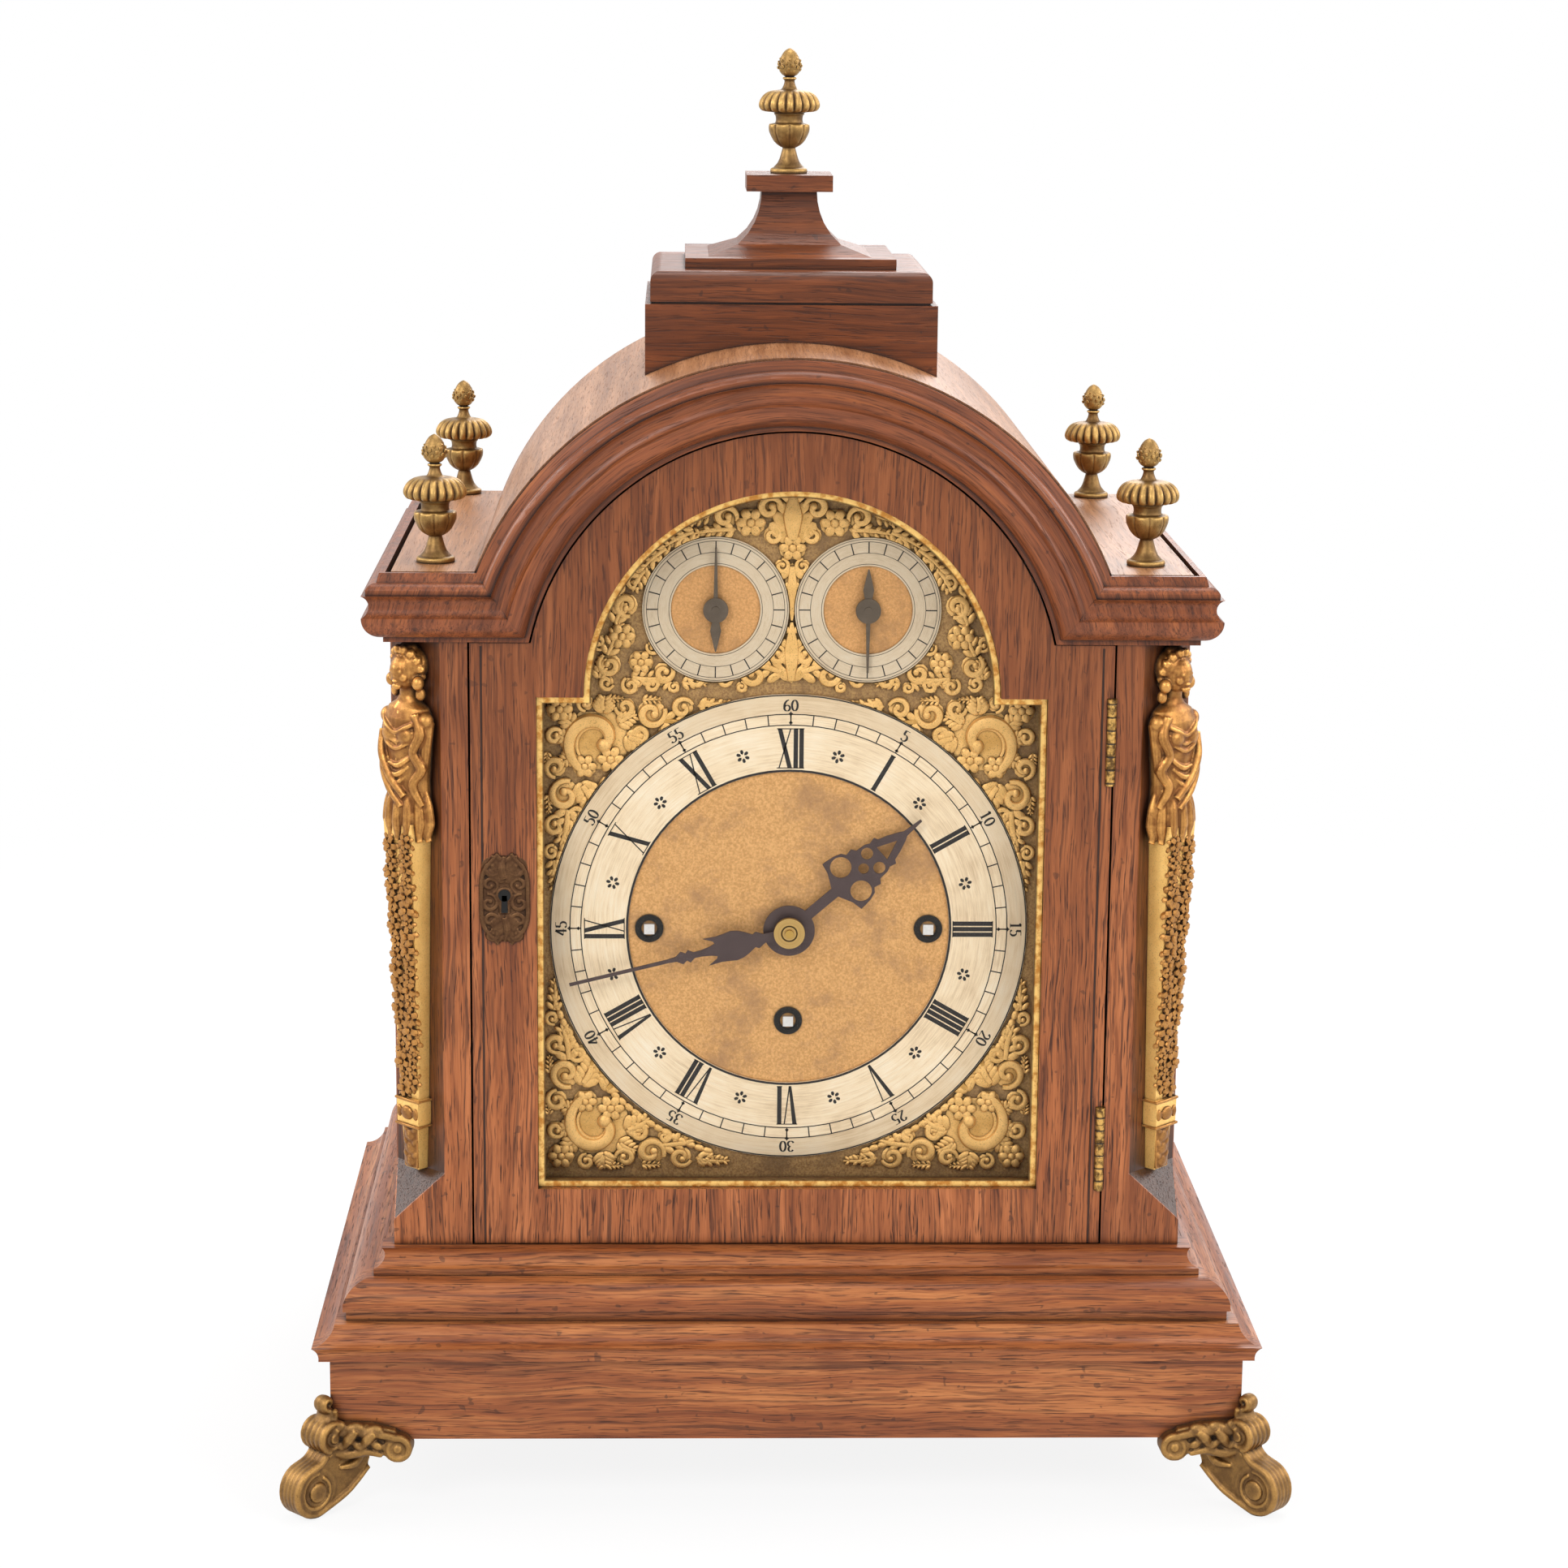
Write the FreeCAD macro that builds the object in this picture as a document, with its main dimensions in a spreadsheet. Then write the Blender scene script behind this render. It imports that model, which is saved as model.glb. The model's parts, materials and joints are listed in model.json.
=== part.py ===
import FreeCAD
import Part

import math
import os
import re

import Sketcher

# A bracket clock: a moulded oak case on four gilt scroll feet, with an arched glazed door,
# an arched dial, and a three-train movement on a seatboard. Millimetres, +Z up, the front
# faces -Y, and the origin is on the floor under the middle of the plinth.

SIZES = {
    # Clearances
    "fit": 0.2,
    "running": 0.05,
    # Case
    "foot_high": 35,
    "plinth_high": 41.5,
    "plinth_out": 29.5,
    "plinth_board": 18,
    "case_wide": 383,
    "case_deep": 286,
    "case_high": 298,
    "side_thick": 14,
    "rear_thick": 14,
    "bottom_thick": 12,
    # Base moulding, from the plinth upwards
    "base_nose_out": 37.5,
    "base_nose_back": 3,
    "base_nose_high": 7.5,
    "base_ovolo_in": 10.3,
    "base_ovolo_high": 8.7,
    "base_quirk_in": 5.2,
    "base_quirk_high": 4.9,
    "base_fillet_out": 1.5,
    "base_fillet_high": 3.4,
    "base_cavetto_in": 13.2,
    "base_cavetto_high": 10.2,
    "base_step_in": 0.8,
    "base_step_high": 3.3,
    "base_torus_in": 3.7,
    "base_torus_high": 9.5,
    # Front stiles and their canted corners
    "stile_wide": 38,
    "stile_deep": 30,
    "cant": 25.2,
    "cant_low": 36,
    "cant_tongue": 24,
    "cant_tip": 0.6,
    # Arch, cornice and roof
    "arch_drop": 27,
    "arch_inner": 127.4,
    "cornice_lip": 1.3,
    "cornice_lip_high": 2.3,
    "cornice_cove_out": 9.5,
    "cornice_cove_high": 10.2,
    "cornice_bead_out": 4.7,
    "cornice_bead_high": 10.5,
    "cornice_quirk_in": 6.7,
    "cornice_quirk_high": 2.5,
    "cornice_cavetto_in": 4.8,
    "cornice_cavetto_high": 3.1,
    "cornice_top_high": 4.4,
    "roof_lip": 1.1,
    "roof_thick": 8,
    "shoulder_thick": 10,
    "shoulder_inset": 2.5,
    # Crown
    "crown_wide": 141.4,
    "crown_top_high": 18,
    "ovolo_inset": 2.5,
    "ovolo_round": 5,
    "ovolo_high": 14.7,
    "crown_joint": 1,
    "bell_plate_wide": 102.8,
    "bell_plate_high": 5.1,
    "bell_foot_wide": 80,
    "bell_neck_wide": 27.3,
    "bell_high": 30.6,
    "cap_wide": 42.5,
    "cap_high": 8,
    # Finials
    "finial_foot": 9.6,
    "finial_foot_high": 6.5,
    "finial_stem": 2.85,
    "finial_urn": 10.5,
    "finial_urn_low": 13,
    "finial_urn_high": 12,
    "finial_collar": 7.75,
    "finial_collar_high": 5.5,
    "finial_bowl": 15.2,
    "finial_bowl_high": 10.5,
    "finial_neck_high": 5.5,
    "finial_pine": 5.75,
    "finial_pine_high": 15.2,
    "finial_side": 21.5,
    "finial_front": 33.3,
    "finial_back": 11.7,
    # Feet
    "volute": 13.7,
    "foot_flat": 0.6,
    "volute_out": 12.7,
    "volute_wide": 18,
    "volute_eye": 5.5,
    "eye_proud": 2,
    "leg_thick": 15,
    "leg_in": 12,
    "leg_low": 17,
    "ear": 9,
    "ear_out": 6,
    "ear_high": 41.5,
    "curl": 5.5,
    "curl_out": 4.5,
    "curl_high": 55,
    "arm_long": 38,
    "arm_proud": 7.5,
    "arm_deep": 19,
    "arm_top": 45,
    "arm_thick": 16,
    "arm_scroll": 8,
    "arm_scroll_high": 31.3,
    # Corner figures
    "figure_set": 5,
    "term_foot": 8,
    "term_top": 13.5,
    "term_high": 150,
    "drapery": 16,
    "drapery_high": 34,
    "waist": 10,
    "waist_high": 12,
    "bust": 13.5,
    "bust_high": 38,
    "figure_neck": 5,
    "head": 8.5,
    "hair": 6,
    # Front door
    "door_gap": 1,
    "door_low_gap": 0.5,
    "door_thick": 20,
    "sight_half": 121.4,
    "sight_low": 152,
    "sight_step": 0.5,
    "sight_arch": 99,
    "bezel_wide": 3.5,
    "bezel_thick": 3,
    "glass_thick": 2,
    "glass_back": 7,
    "glass_cover": 4,
    # Hinges
    "hinge_in": 1.8,
    "hinge_proud": 0.6,
    "knuckle": 2.25,
    "knuckle_play": 0.2,
    "hinge_pin": 0.9,
    "leaf_thick": 0.45,
    "leaf_deep": 14,
    "hinge_long": 42,
    "hinge_low_z": 151.8,
    "hinge_high_z": 353.8,
    # Lock
    "lock_x": 136.7,
    "lock_z": 297.5,
    "escutcheon_wide": 24,
    "escutcheon_high": 47.5,
    "escutcheon_thick": 2.4,
    "keyhole": 2.2,
    "lock_wide": 24,
    "lock_high": 34,
    "lock_deep": 9,
    "lock_wall": 1.5,
    "bolt_deep": 4,
    "bolt_high": 10,
    "bolt_long": 17,
    "bolt_throw": 5,
    # Rear door
    "rear_opening": 140,
    "rear_low": 150,
    "rear_high": 400,
    "rear_door_thick": 11,
    "rear_rail": 26,
    "rear_hinge_low_z": 175,
    "rear_hinge_high_z": 333,
    "turn_long": 26,
    "turn_wide": 8,
    "turn_thick": 3,
    "turn_screw": 2.5,
    # Dial
    "mask_thick": 3.8,
    "mask_gap": 0.6,
    "dial_thick": 2.5,
    "dial_z": 277,
    "dial_margin": 4,
    "ring_outer": 116,
    "ring_inner": 78,
    "ring_thick": 1.5,
    "winding_x": 67.8,
    "winding_drop": 46.4,
    "winding_hole": 6.5,
    "centre_hole": 6,
    "subdial_x": 36.4,
    "subdial_z": 434,
    "subdial_outer": 35,
    "subdial_inner": 21.4,
    "spandrel_thick": 3,
    "spandrel_margin": 3,
    "spandrel_start": 30,
    "dial_post": 3,
    "dial_post_x": 92,
    "dial_post_low": 205,
    "dial_post_high": 356,
    # Hands
    "hand_thick": 1,
    "hour_hand_long": 84,
    "minute_hand_long": 109.6,
    "selector_long": 30,
    "selector_tail": 20,
    "selector_boss": 6,
    "hour_boss": 12.5,
    "hour_plane": 4.6,
    "minute_plane": 7.8,
    "selector_plane": 3,
    "collet": 7.5,
    # Motion work
    "arbor": 2,
    "cannon": 3.2,
    "pipe": 4.5,
    "motion_away": 24,
    "motion_teeth": 36,
    "motion_pinion_teeth": 6,
    "hour_teeth": 72,
    # Movement
    "plate_half": 105,
    "plate_low": 180,
    "plate_top": 375,
    "plate_thick": 3,
    "front_plate_y": -75,
    "back_plate_y": -13,
    "seat_thick": 12,
    "pillar": 5,
    "pillar_in": 9,
    "pivot": 1.5,
    "winding_arbor": 4,
    "winding_square": 5,
    "wheel_thick": 2,
    "great_teeth": 96,
    "centre_pinion_teeth": 8,
    "centre_teeth": 84,
    "third_pinion_teeth": 7,
    "third_teeth": 78,
    "escape_pinion_teeth": 7,
    "escape_teeth": 30,
    "centre_away": 34.1,
    "third_away": 25.5,
    "escape_radius": 17,
    "anchor_away": 25,
    "fusee_wheel": 35,
    "fusee_large": 22,
    "fusee_small": 10,
    "fusee_long": 36,
    "barrel": 24,
    "barrel_long": 42,
    "barrel_wall": 2,
    "barrel_side_x": 78,
    "barrel_side_z": 338,
    "barrel_going_x": 52,
    "barrel_going_z": 215,
    "rod_wide": 3,
    "rod_thick": 1.5,
    "cock_half": 14,
    "cock_high": 9,
    "cock_out": 16,
    "bob": 26,
    "bob_thick": 9,
    "pendulum_long": 186,
    # Bells and hammers
    "bell_up": 42,
    "bell_rod": 2.5,
    "bell_first": 26,
    "bell_last": 16,
    "bell_wall": 1.5,
    "bell_pitch": 19,
    "hammer_y": -48,
    "hammer_up": 6,
    "hammer_rod": 1.5,
    "hammer_head": 3,
}

# Places worked out from the sizes above.
PLACES = {
    "case_half": "case_wide / 2",
    "back_y": "(case_deep + plinth_out) / 2",
    "front_y": "back_y - case_deep",
    "plinth_half": "case_half + plinth_out",
    "plinth_top": "foot_high + plinth_high",
    "base_high": "base_nose_high + base_ovolo_high + base_quirk_high + base_fillet_high"
                 " + base_cavetto_high + base_step_high + base_torus_high",
    "base_top": "plinth_top + base_high",
    "case_top": "base_top + case_high",
    "cornice_high": "cornice_lip_high + cornice_cove_high + cornice_bead_high"
                    " + cornice_quirk_high + cornice_cavetto_high + cornice_top_high",
    "cornice_top": "case_top + cornice_high",
    "shoulder_low": "cornice_top - shoulder_thick",
    "arch_z": "case_top - arch_drop",
    "roof_outer": "arch_inner + cornice_high + roof_lip",
    "roof_inner": "roof_outer - roof_thick",
    "opening_half": "case_half - stile_wide",
    "arch_foot_x": "sqrt(arch_inner ^ 2 - arch_drop ^ 2)",
    "mitre_x": "sqrt((arch_inner + cornice_high) ^ 2 - (arch_drop + cornice_high) ^ 2)",
    "shoulder_rise": "shoulder_low - arch_z",
    "roof_foot_out": "sqrt(roof_outer ^ 2 - shoulder_rise ^ 2)",
    "roof_foot_in": "sqrt(roof_inner ^ 2 - shoulder_rise ^ 2)",
    "crown_half": "crown_wide / 2",
    "volute_high": "volute - foot_flat",
    "bell_z": "plate_top + bell_up",
    "hammer_z": "plate_top + hammer_up",
    "crown_y": "(front_y + back_y) / 2",
    "crown_top": "arch_z + roof_outer + crown_top_high",
    "ovolo_half": "crown_half - ovolo_inset",
    "ovolo_top": "crown_top + crown_joint + ovolo_high",
    "bell_plate_top": "ovolo_top + bell_plate_high",
    "bell_top": "bell_plate_top + bell_high",
    "cap_top": "bell_top + cap_high",
    "door_half": "opening_half - door_gap",
    "door_low": "base_top + door_low_gap",
    "door_shoulder": "case_top - door_low_gap",
    "door_arch": "arch_inner - door_gap",
    "door_back": "front_y + door_thick",
    "sight_top": "arch_z + sight_step",
    "figure_low": "base_top + cant_low + fit",
    "figure_top": "case_top - fit",
    "glass_y": "front_y + glass_back",
    "hinge_x": "opening_half - hinge_in",
    "hinge_y": "front_y - hinge_proud",
    "rear_hinge_x": "rear_opening - hinge_in",
    "rear_hinge_y": "back_y + hinge_proud",
    "mask_y": "door_back + mask_gap",
    "dial_y": "mask_y + mask_thick + fit",
    "dial_half": "sight_half + dial_margin",
    "dial_low": "sight_low - dial_margin",
    "dial_high": "sight_top + dial_margin",
    "dial_arch": "sight_arch + dial_margin",
    "winding_z": "dial_z - winding_drop",
    "motion_x": "motion_away * sqrt(0.5)",
    "motion_z": "dial_z + motion_away * sqrt(0.5)",
    "motion_y": "front_plate_y - plate_thick - 4",
    "hour_wheel_y": "motion_y - 4",
    "third_z": "dial_z + centre_away",
    "escape_z": "third_z + third_away",
    "anchor_z": "escape_z + anchor_away",
    "great_y": "back_plate_y - 7",
    "centre_wheel_y": "front_plate_y + 7",
    "third_wheel_y": "(front_plate_y + back_plate_y) / 2",
    "escape_wheel_y": "back_plate_y - 7",
    "seat_top": "plate_low",
    "fusee_y": "great_y - wheel_thick - 2",
    "barrel_y": "front_plate_y + 5",
    "pendulum_y": "back_plate_y + plate_thick + 8",
    "bell_y": "back_plate_y + plate_thick / 2",
    "lock_y": "door_back - lock_deep - 0.8",
    "bolt_y": "lock_y + (lock_deep - bolt_deep) / 2",
}

doc = FreeCAD.newDocument("bracket_clock")
sheet = doc.addObject("Spreadsheet::Sheet", "dim")

BELL_COUNT = 8
HOUR_ANGLE = 49
MINUTE_ANGLE = 256
SELECTOR_LEFT_ANGLE = 0
SELECTOR_RIGHT_ANGLE = 180
MOTION_DIRECTION = 45
# The right sides and piercings of the two hands, in hundredths of their lengths
HOUR_SIDE = [
    (3, 0), (3, 34.7), (11.4, 38.9), (17.4, 40.1), (17.2, 43.1), (16.6, 47.9), (15.1, 52.2),
    (12.5, 54.1), (13.4, 58.2), (10.7, 60.1), (10.3, 65.9), (8.9, 68.7), (9.9, 72.6), (7.7, 73.8),
    (6, 79), (3.1, 85.6), (1.6, 88), (0.7, 100),
]
HOUR_CIRCLES = [
    (9.1, 46.9, 6.2), (-9.1, 46.9, 6.2), (0, 56.5, 3.1), (5.5, 63.7, 3.5), (-5.5, 63.7, 3.5),
]
HOUR_TRIANGLE = [
    (-4.8, 70.2), (4.8, 70.2), (0, 82),
]
MINUTE_SIDE = [
    (2, 0), (2, 11.3), (3.8, 14.4), (2.9, 16), (5, 19.4), (6.2, 22.1), (6.8, 25.2), (6.3, 28.4),
    (5.9, 32), (6.2, 37.8), (4.1, 33.8), (2.9, 33.2), (2, 36), (1.4, 40.1), (1.3, 43.2),
    (2.9, 45.5), (1.6, 46.8), (2.9, 48.8), (1.1, 51.4), (0.8, 55), (0.7, 100),
]
HOUR_PITCH = "motion_away * hour_teeth / (hour_teeth + motion_pinion_teeth)"
GREAT_PITCH = "winding_drop * great_teeth / (great_teeth + centre_pinion_teeth)"
CENTRE_PITCH = "centre_away * centre_teeth / (centre_teeth + third_pinion_teeth)"
THIRD_PITCH = "third_away * third_teeth / (third_teeth + escape_pinion_teeth)"

NODES = [
    "plinth", "base_moulding", "bottom_board", "side_left", "side_right", "stile_left",
    "stile_right", "front_arch", "rear_frame", "cornice", "roof_boards", "crown_block",
    "crown_neck", "finial_top", "finial_front_left", "finial_front_right", "finial_back_left",
    "finial_back_right", "foot_front_left", "foot_front_right", "foot_back_left",
    "foot_back_right", "figure_left", "figure_right", "dial_mask", "seatboard", "hinge_plates",
    "dial_plate", "dial_rings", "dial_mounts", "plate_front", "plate_back", "bells",
    "door_frame", "door_glass", "door_bezel", "door_hinge_leaves", "escutcheon", "lock_case",
    "lock_bolt", "rear_door_frame", "rear_door_glass", "rear_turn", "minute_hand", "hour_hand",
    "motion_wheel", "selector_left", "selector_right", "fusee_going", "fusee_strike",
    "fusee_chime", "barrel_going", "barrel_strike", "barrel_chime", "centre_wheel",
    "third_wheel", "escape_wheel", "pendulum", "chime_hammers",
]


def fill_sheet():
    for row, (name, value) in enumerate(SIZES.items(), start=1):
        sheet.set(f"A{row}", name)
        sheet.set(f"B{row}", str(value))
        sheet.setAlias(f"B{row}", name)
    doc.recompute()


def bound(text):
    """The expression with each named place written out and each size read from the sheet."""
    def point_at(word):
        name = word.group()
        if name in PLACES:
            return f"({bound(PLACES[name])})"
        return f"dim.{name}" if name in SIZES else name
    return re.sub(r"[a-z_]+", point_at, str(text))


def num(text):
    """The present value of an expression."""
    value = sheet.evalExpression(bound(text))
    return float(getattr(value, "Value", value))


# Helpers: each makes one object whose sizes stay bound to the sheet.


def bind(thing, **properties):
    """Binds properties to expressions; a double underscore stands for a dot."""
    for name, text in properties.items():
        thing.setExpression(name.replace("__", "."), bound(text))


def body(label):
    made = doc.addObject("PartDesign::Body", label)
    made.Label = label
    return made


def base_plane(owner, role):
    return next(plane for plane in owner.Origin.OriginFeatures if plane.Role == role)


def sketch_on(owner, role, start="0"):
    """An empty sketch on an origin plane, moved along the plane's normal by start."""
    made = owner.newObject("Sketcher::SketchObject", owner.Label + "_sketch")
    made.AttachmentSupport = [(base_plane(owner, role), "")]
    made.MapMode = "FlatFace"
    bind(made, AttachmentOffset__Base__z=start)
    return made


def arc_through(start, end, radius):
    """The arc between two points; a negative radius bends it clockwise."""
    half = (end - start) / 2
    side = FreeCAD.Vector(-half.y, half.x, 0).normalize()
    rise = math.sqrt(max(radius ** 2 - half.Length ** 2, 0))
    centre = start + half + side * math.copysign(rise, radius)
    first, last = (start, end) if radius > 0 else (end, start)
    angles = [math.atan2(point.y - centre.y, point.x - centre.x) for point in (first, last)]
    return Part.ArcOfCircle(Part.Circle(centre, FreeCAD.Vector(0, 0, 1), abs(radius)), *angles)


def draw(sketch, points, closed=True):
    """Draws lines and arcs through points: (x, y) or (x, y, radius of the arc to the next)."""
    first_edge = sketch.GeometryCount
    places = [FreeCAD.Vector(num(point[0]), num(point[1]), 0) for point in points]
    edges = len(points) if closed else len(points) - 1
    ends = []
    for index in range(edges):
        start = places[index]
        end = places[(index + 1) % len(points)]
        if len(points[index]) == 3:
            radius = num(points[index][2])
            sketch.addGeometry(arc_through(start, end, radius), False)
            ends.append((1, 2) if radius > 0 else (2, 1))
            hold = sketch.addConstraint(Sketcher.Constraint("Radius", first_edge + index, abs(radius)))
            sketch.setExpression(f"Constraints[{hold}]", f"abs({bound(points[index][2])})")
        else:
            sketch.addGeometry(Part.LineSegment(start, end), False)
            ends.append((1, 2))
    for index in range(edges):
        following = (index + 1) % len(points)
        if following < edges:
            sketch.addConstraint(Sketcher.Constraint("Coincident", first_edge + index, ends[index][1],
                                                     first_edge + following, ends[following][0]))
        place_point(sketch, first_edge + index, ends[index][0], points[index])
    if not closed:
        place_point(sketch, first_edge + edges - 1, ends[-1][1], points[-1])


def place_point(sketch, edge, end, point):
    for kind, text in zip(("DistanceX", "DistanceY"), point):
        hold = sketch.addConstraint(Sketcher.Constraint(kind, -1, 1, edge, end, num(text)))
        sketch.setExpression(f"Constraints[{hold}]", bound(text))


def draw_circles(sketch, circles):
    """Draws (x, y, radius) circles."""
    for x, y, radius in circles:
        centre = FreeCAD.Vector(num(x), num(y), 0)
        edge = sketch.addGeometry(Part.Circle(centre, FreeCAD.Vector(0, 0, 1), num(radius)), False)
        place_point(sketch, edge, 3, (x, y))
        hold = sketch.addConstraint(Sketcher.Constraint("Radius", edge, num(radius)))
        sketch.setExpression(f"Constraints[{hold}]", bound(radius))


def rectangle(x0, y0, x1, y1):
    return [(x0, y0), (x1, y0), (x1, y1), (x0, y1)]


# The front view is drawn on the XZ plane, whose normal points to -Y, so a sketch there
# starts at minus its Y and its pad grows towards the front.


def board(label, points, y_front, thick, holes=()):
    """A flat piece drawn in the front view, from y_front backwards, with drawn holes."""
    made = body(label)
    sketch = sketch_on(made, "XZ_Plane", f"-({y_front}) - ({thick})")
    draw(sketch, points)
    for hole in holes:
        draw(sketch, hole)
    pad(made, sketch, thick)
    return made


def slab(label, points, z_low, thick, holes=()):
    """A flat piece drawn in plan, from z_low upwards."""
    made = body(label)
    sketch = sketch_on(made, "XY_Plane", z_low)
    draw(sketch, points)
    for hole in holes:
        draw(sketch, hole)
    pad(made, sketch, thick)
    return made


def pad(owner, sketch, thick):
    made = owner.newObject("PartDesign::Pad", owner.Label + "_pad")
    made.Profile = sketch
    bind(made, Length=thick)
    return made


def pocket(owner, sketch, deep, backwards=False):
    """Cuts a sketch into its body; the volume must fall."""
    owner.recompute(True)
    before = owner.Shape.Volume
    made = owner.newObject("PartDesign::Pocket", owner.Label + "_pocket")
    made.Profile = sketch
    made.Reversed = backwards
    bind(made, Length=deep)
    owner.recompute(True)
    if owner.Shape.Volume >= before:
        raise ValueError(f"{owner.Label}: a pocket cuts nothing")
    return made


def bore(owner, circles, y_front, deep):
    """Round holes along Y, cut backwards from y_front."""
    sketch = sketch_on(owner, "XZ_Plane", f"-({y_front})")
    draw_circles(sketch, circles)
    return pocket(owner, sketch, deep)


def turned(label, points, x="0", y="0", z="0"):
    """A piece turned about a vertical axis; the points are (radius, height)."""
    made = body(label)
    sketch = sketch_on(made, "XZ_Plane")
    draw(sketch, points)
    spin = made.newObject("PartDesign::Revolution", label + "_turned")
    spin.Profile = sketch
    spin.ReferenceAxis = (sketch, ["V_Axis"])
    spin.Angle = 360
    bind(made, Placement__Base__x=x, Placement__Base__y=y, Placement__Base__z=z)
    return made


def block(label, x0, y0, z0, x1, y1, z1):
    """A box between two corners."""
    made = doc.addObject("Part::Box", label)
    made.Label = label
    bind(made, Length=f"({x1}) - ({x0})", Width=f"({y1}) - ({y0})", Height=f"({z1}) - ({z0})",
         Placement__Base__x=x0, Placement__Base__y=y0, Placement__Base__z=z0)
    return made


AXIS_TURNS = {
    "x": FreeCAD.Rotation(FreeCAD.Vector(0, 1, 0), 90),
    "y": FreeCAD.Rotation(FreeCAD.Vector(1, 0, 0), -90),
    "z": FreeCAD.Rotation(),
}


def rod(label, axis, radius, long, x="0", y="0", z="0"):
    """A cylinder from a point towards +X, +Y or +Z."""
    made = doc.addObject("Part::Cylinder", label)
    made.Label = label
    made.Placement.Rotation = AXIS_TURNS[axis]
    bind(made, Radius=radius, Height=long,
         Placement__Base__x=x, Placement__Base__y=y, Placement__Base__z=z)
    return made


def cone(label, axis, radius, end_radius, long, x="0", y="0", z="0"):
    made = doc.addObject("Part::Cone", label)
    made.Label = label
    made.Placement.Rotation = AXIS_TURNS[axis]
    bind(made, Radius1=radius, Radius2=end_radius, Height=long,
         Placement__Base__x=x, Placement__Base__y=y, Placement__Base__z=z)
    return made


def ball(label, radius, x="0", y="0", z="0"):
    made = doc.addObject("Part::Sphere", label)
    made.Label = label
    bind(made, Radius=radius, Placement__Base__x=x, Placement__Base__y=y, Placement__Base__z=z)
    return made


def fuse(label, pieces):
    made = doc.addObject("Part::MultiFuse", label)
    made.Label = label
    made.Shapes = pieces
    return made


def cut(label, whole, tool):
    made = doc.addObject("Part::Cut", label)
    made.Label = label
    made.Base = whole
    made.Tool = tool
    return made


def group(label, pieces):
    """Separate solids that share a node."""
    made = doc.addObject("Part::Compound", label)
    made.Label = label
    made.Links = pieces
    return made


def mirror_x(points):
    """The same outline on the other side of the middle, drawn the same way round."""
    mirrored = []
    count = len(points)
    for index in range(count):
        point = points[-1 - index]
        before = points[(-2 - index) % count]
        turn = (before[2],) if len(before) == 3 else ()
        mirrored.append((f"-({point[0]})", point[1]) + turn)
    return mirrored


# Mouldings: (out, up) points from the face that the moulding is planted on.


def step_profile(steps):
    """Adds up named steps (out, up, arc radius or None) into expressions."""
    out, up = "0", "0"
    points = []
    for step_out, step_up, radius in steps:
        out = f"{out} + {step_out}"
        up = f"{up} + {step_up}"
        points.append((out, up) if radius is None else (out, up, radius))
    return points


BASE_PROFILE = step_profile([
    ("base_nose_out - base_nose_back", "0", "base_nose_high * 1.1"),
    ("base_nose_back", "base_nose_high", "base_ovolo_in"),
    ("-base_ovolo_in", "base_ovolo_high", None),
    ("-base_quirk_in", "0", None),
    ("0", "base_quirk_high", None),
    ("base_fillet_out", "0", None),
    ("0", "base_fillet_high", "-base_cavetto_in"),
    ("-base_cavetto_in", "base_cavetto_high", None),
    ("-base_step_in", "0", None),
    ("0", "base_step_high", "base_torus_high * 0.6"),
    ("-base_torus_in", "base_torus_high", None),
])

CORNICE_PROFILE = step_profile([
    ("cornice_lip", "0", None),
    ("0", "cornice_lip_high", "-cornice_cove_high"),
    ("cornice_cove_out", "cornice_cove_high", "cornice_bead_high * 0.55"),
    ("0", "cornice_bead_high", None),
    ("-cornice_quirk_in + cornice_bead_out", "0", None),
    ("0", "cornice_quirk_high", "-cornice_cavetto_in"),
    ("-cornice_cavetto_in", "cornice_cavetto_high", None),
    ("-cornice_lip", "cornice_top_high", None),
])


def moulding_run(label, profile, inner, z_low):
    """A moulding along the left side, the front and the right side, mitred at the corners."""
    made = body(label)
    route = sketch_on(made, "XY_Plane", z_low)
    draw(route, [("-case_half", "back_y"), ("-case_half", "front_y"),
                 ("case_half", "front_y"), ("case_half", "back_y")], closed=False)
    section = sketch_on(made, "XZ_Plane", "-back_y")
    outline = [(f"-case_half - ({point[0]})", f"{z_low} + {point[1]}", *point[2:])
               for point in profile]
    inside = [(f"-case_half + {inner}", outline[-1][1]), (f"-case_half + {inner}", z_low)]
    draw(section, flip(outline + inside))
    pipe = made.newObject("PartDesign::AdditivePipe", label + "_pipe")
    pipe.Profile = section
    pipe.Spine = (route, ["Edge1", "Edge2", "Edge3"])
    pipe.Transition = "Right corner"
    return made


def flip(points):
    """The same outline drawn the other way round, with its arcs bent to match."""
    count = len(points)
    flipped = []
    for index in range(count):
        point = points[-1 - index]
        before = points[(-2 - index) % count]
        turn = (f"-({before[2]})",) if len(before) == 3 else ()
        flipped.append((point[0], point[1]) + turn)
    return flipped


# The case


def plinth():
    inner = rectangle("-plinth_half + plinth_board", "-back_y + plinth_board",
                      "plinth_half - plinth_board", "back_y - plinth_board")
    return slab("plinth", rectangle("-plinth_half", "-back_y", "plinth_half", "back_y"),
                "foot_high", "plinth_high", [inner])


def base_moulding():
    run = moulding_run("base_run", BASE_PROFILE, "side_thick", "plinth_top")
    rail = block("base_rail", "-case_half + side_thick", "back_y - rear_thick", "plinth_top",
                 "case_half - side_thick", "back_y", "base_top")
    return fuse("base_moulding", [run, rail])


def bottom_board():
    return block("bottom_board", "-case_half + side_thick + fit", "front_y + side_thick + fit",
                 "base_top - bottom_thick", "case_half - side_thick - fit",
                 "back_y - rear_thick - fit", "base_top")


def side(label, x_low):
    return block(label, x_low, "front_y + stile_deep", "base_top", f"{x_low} + side_thick",
                 "back_y - rear_thick", "shoulder_low")


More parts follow.
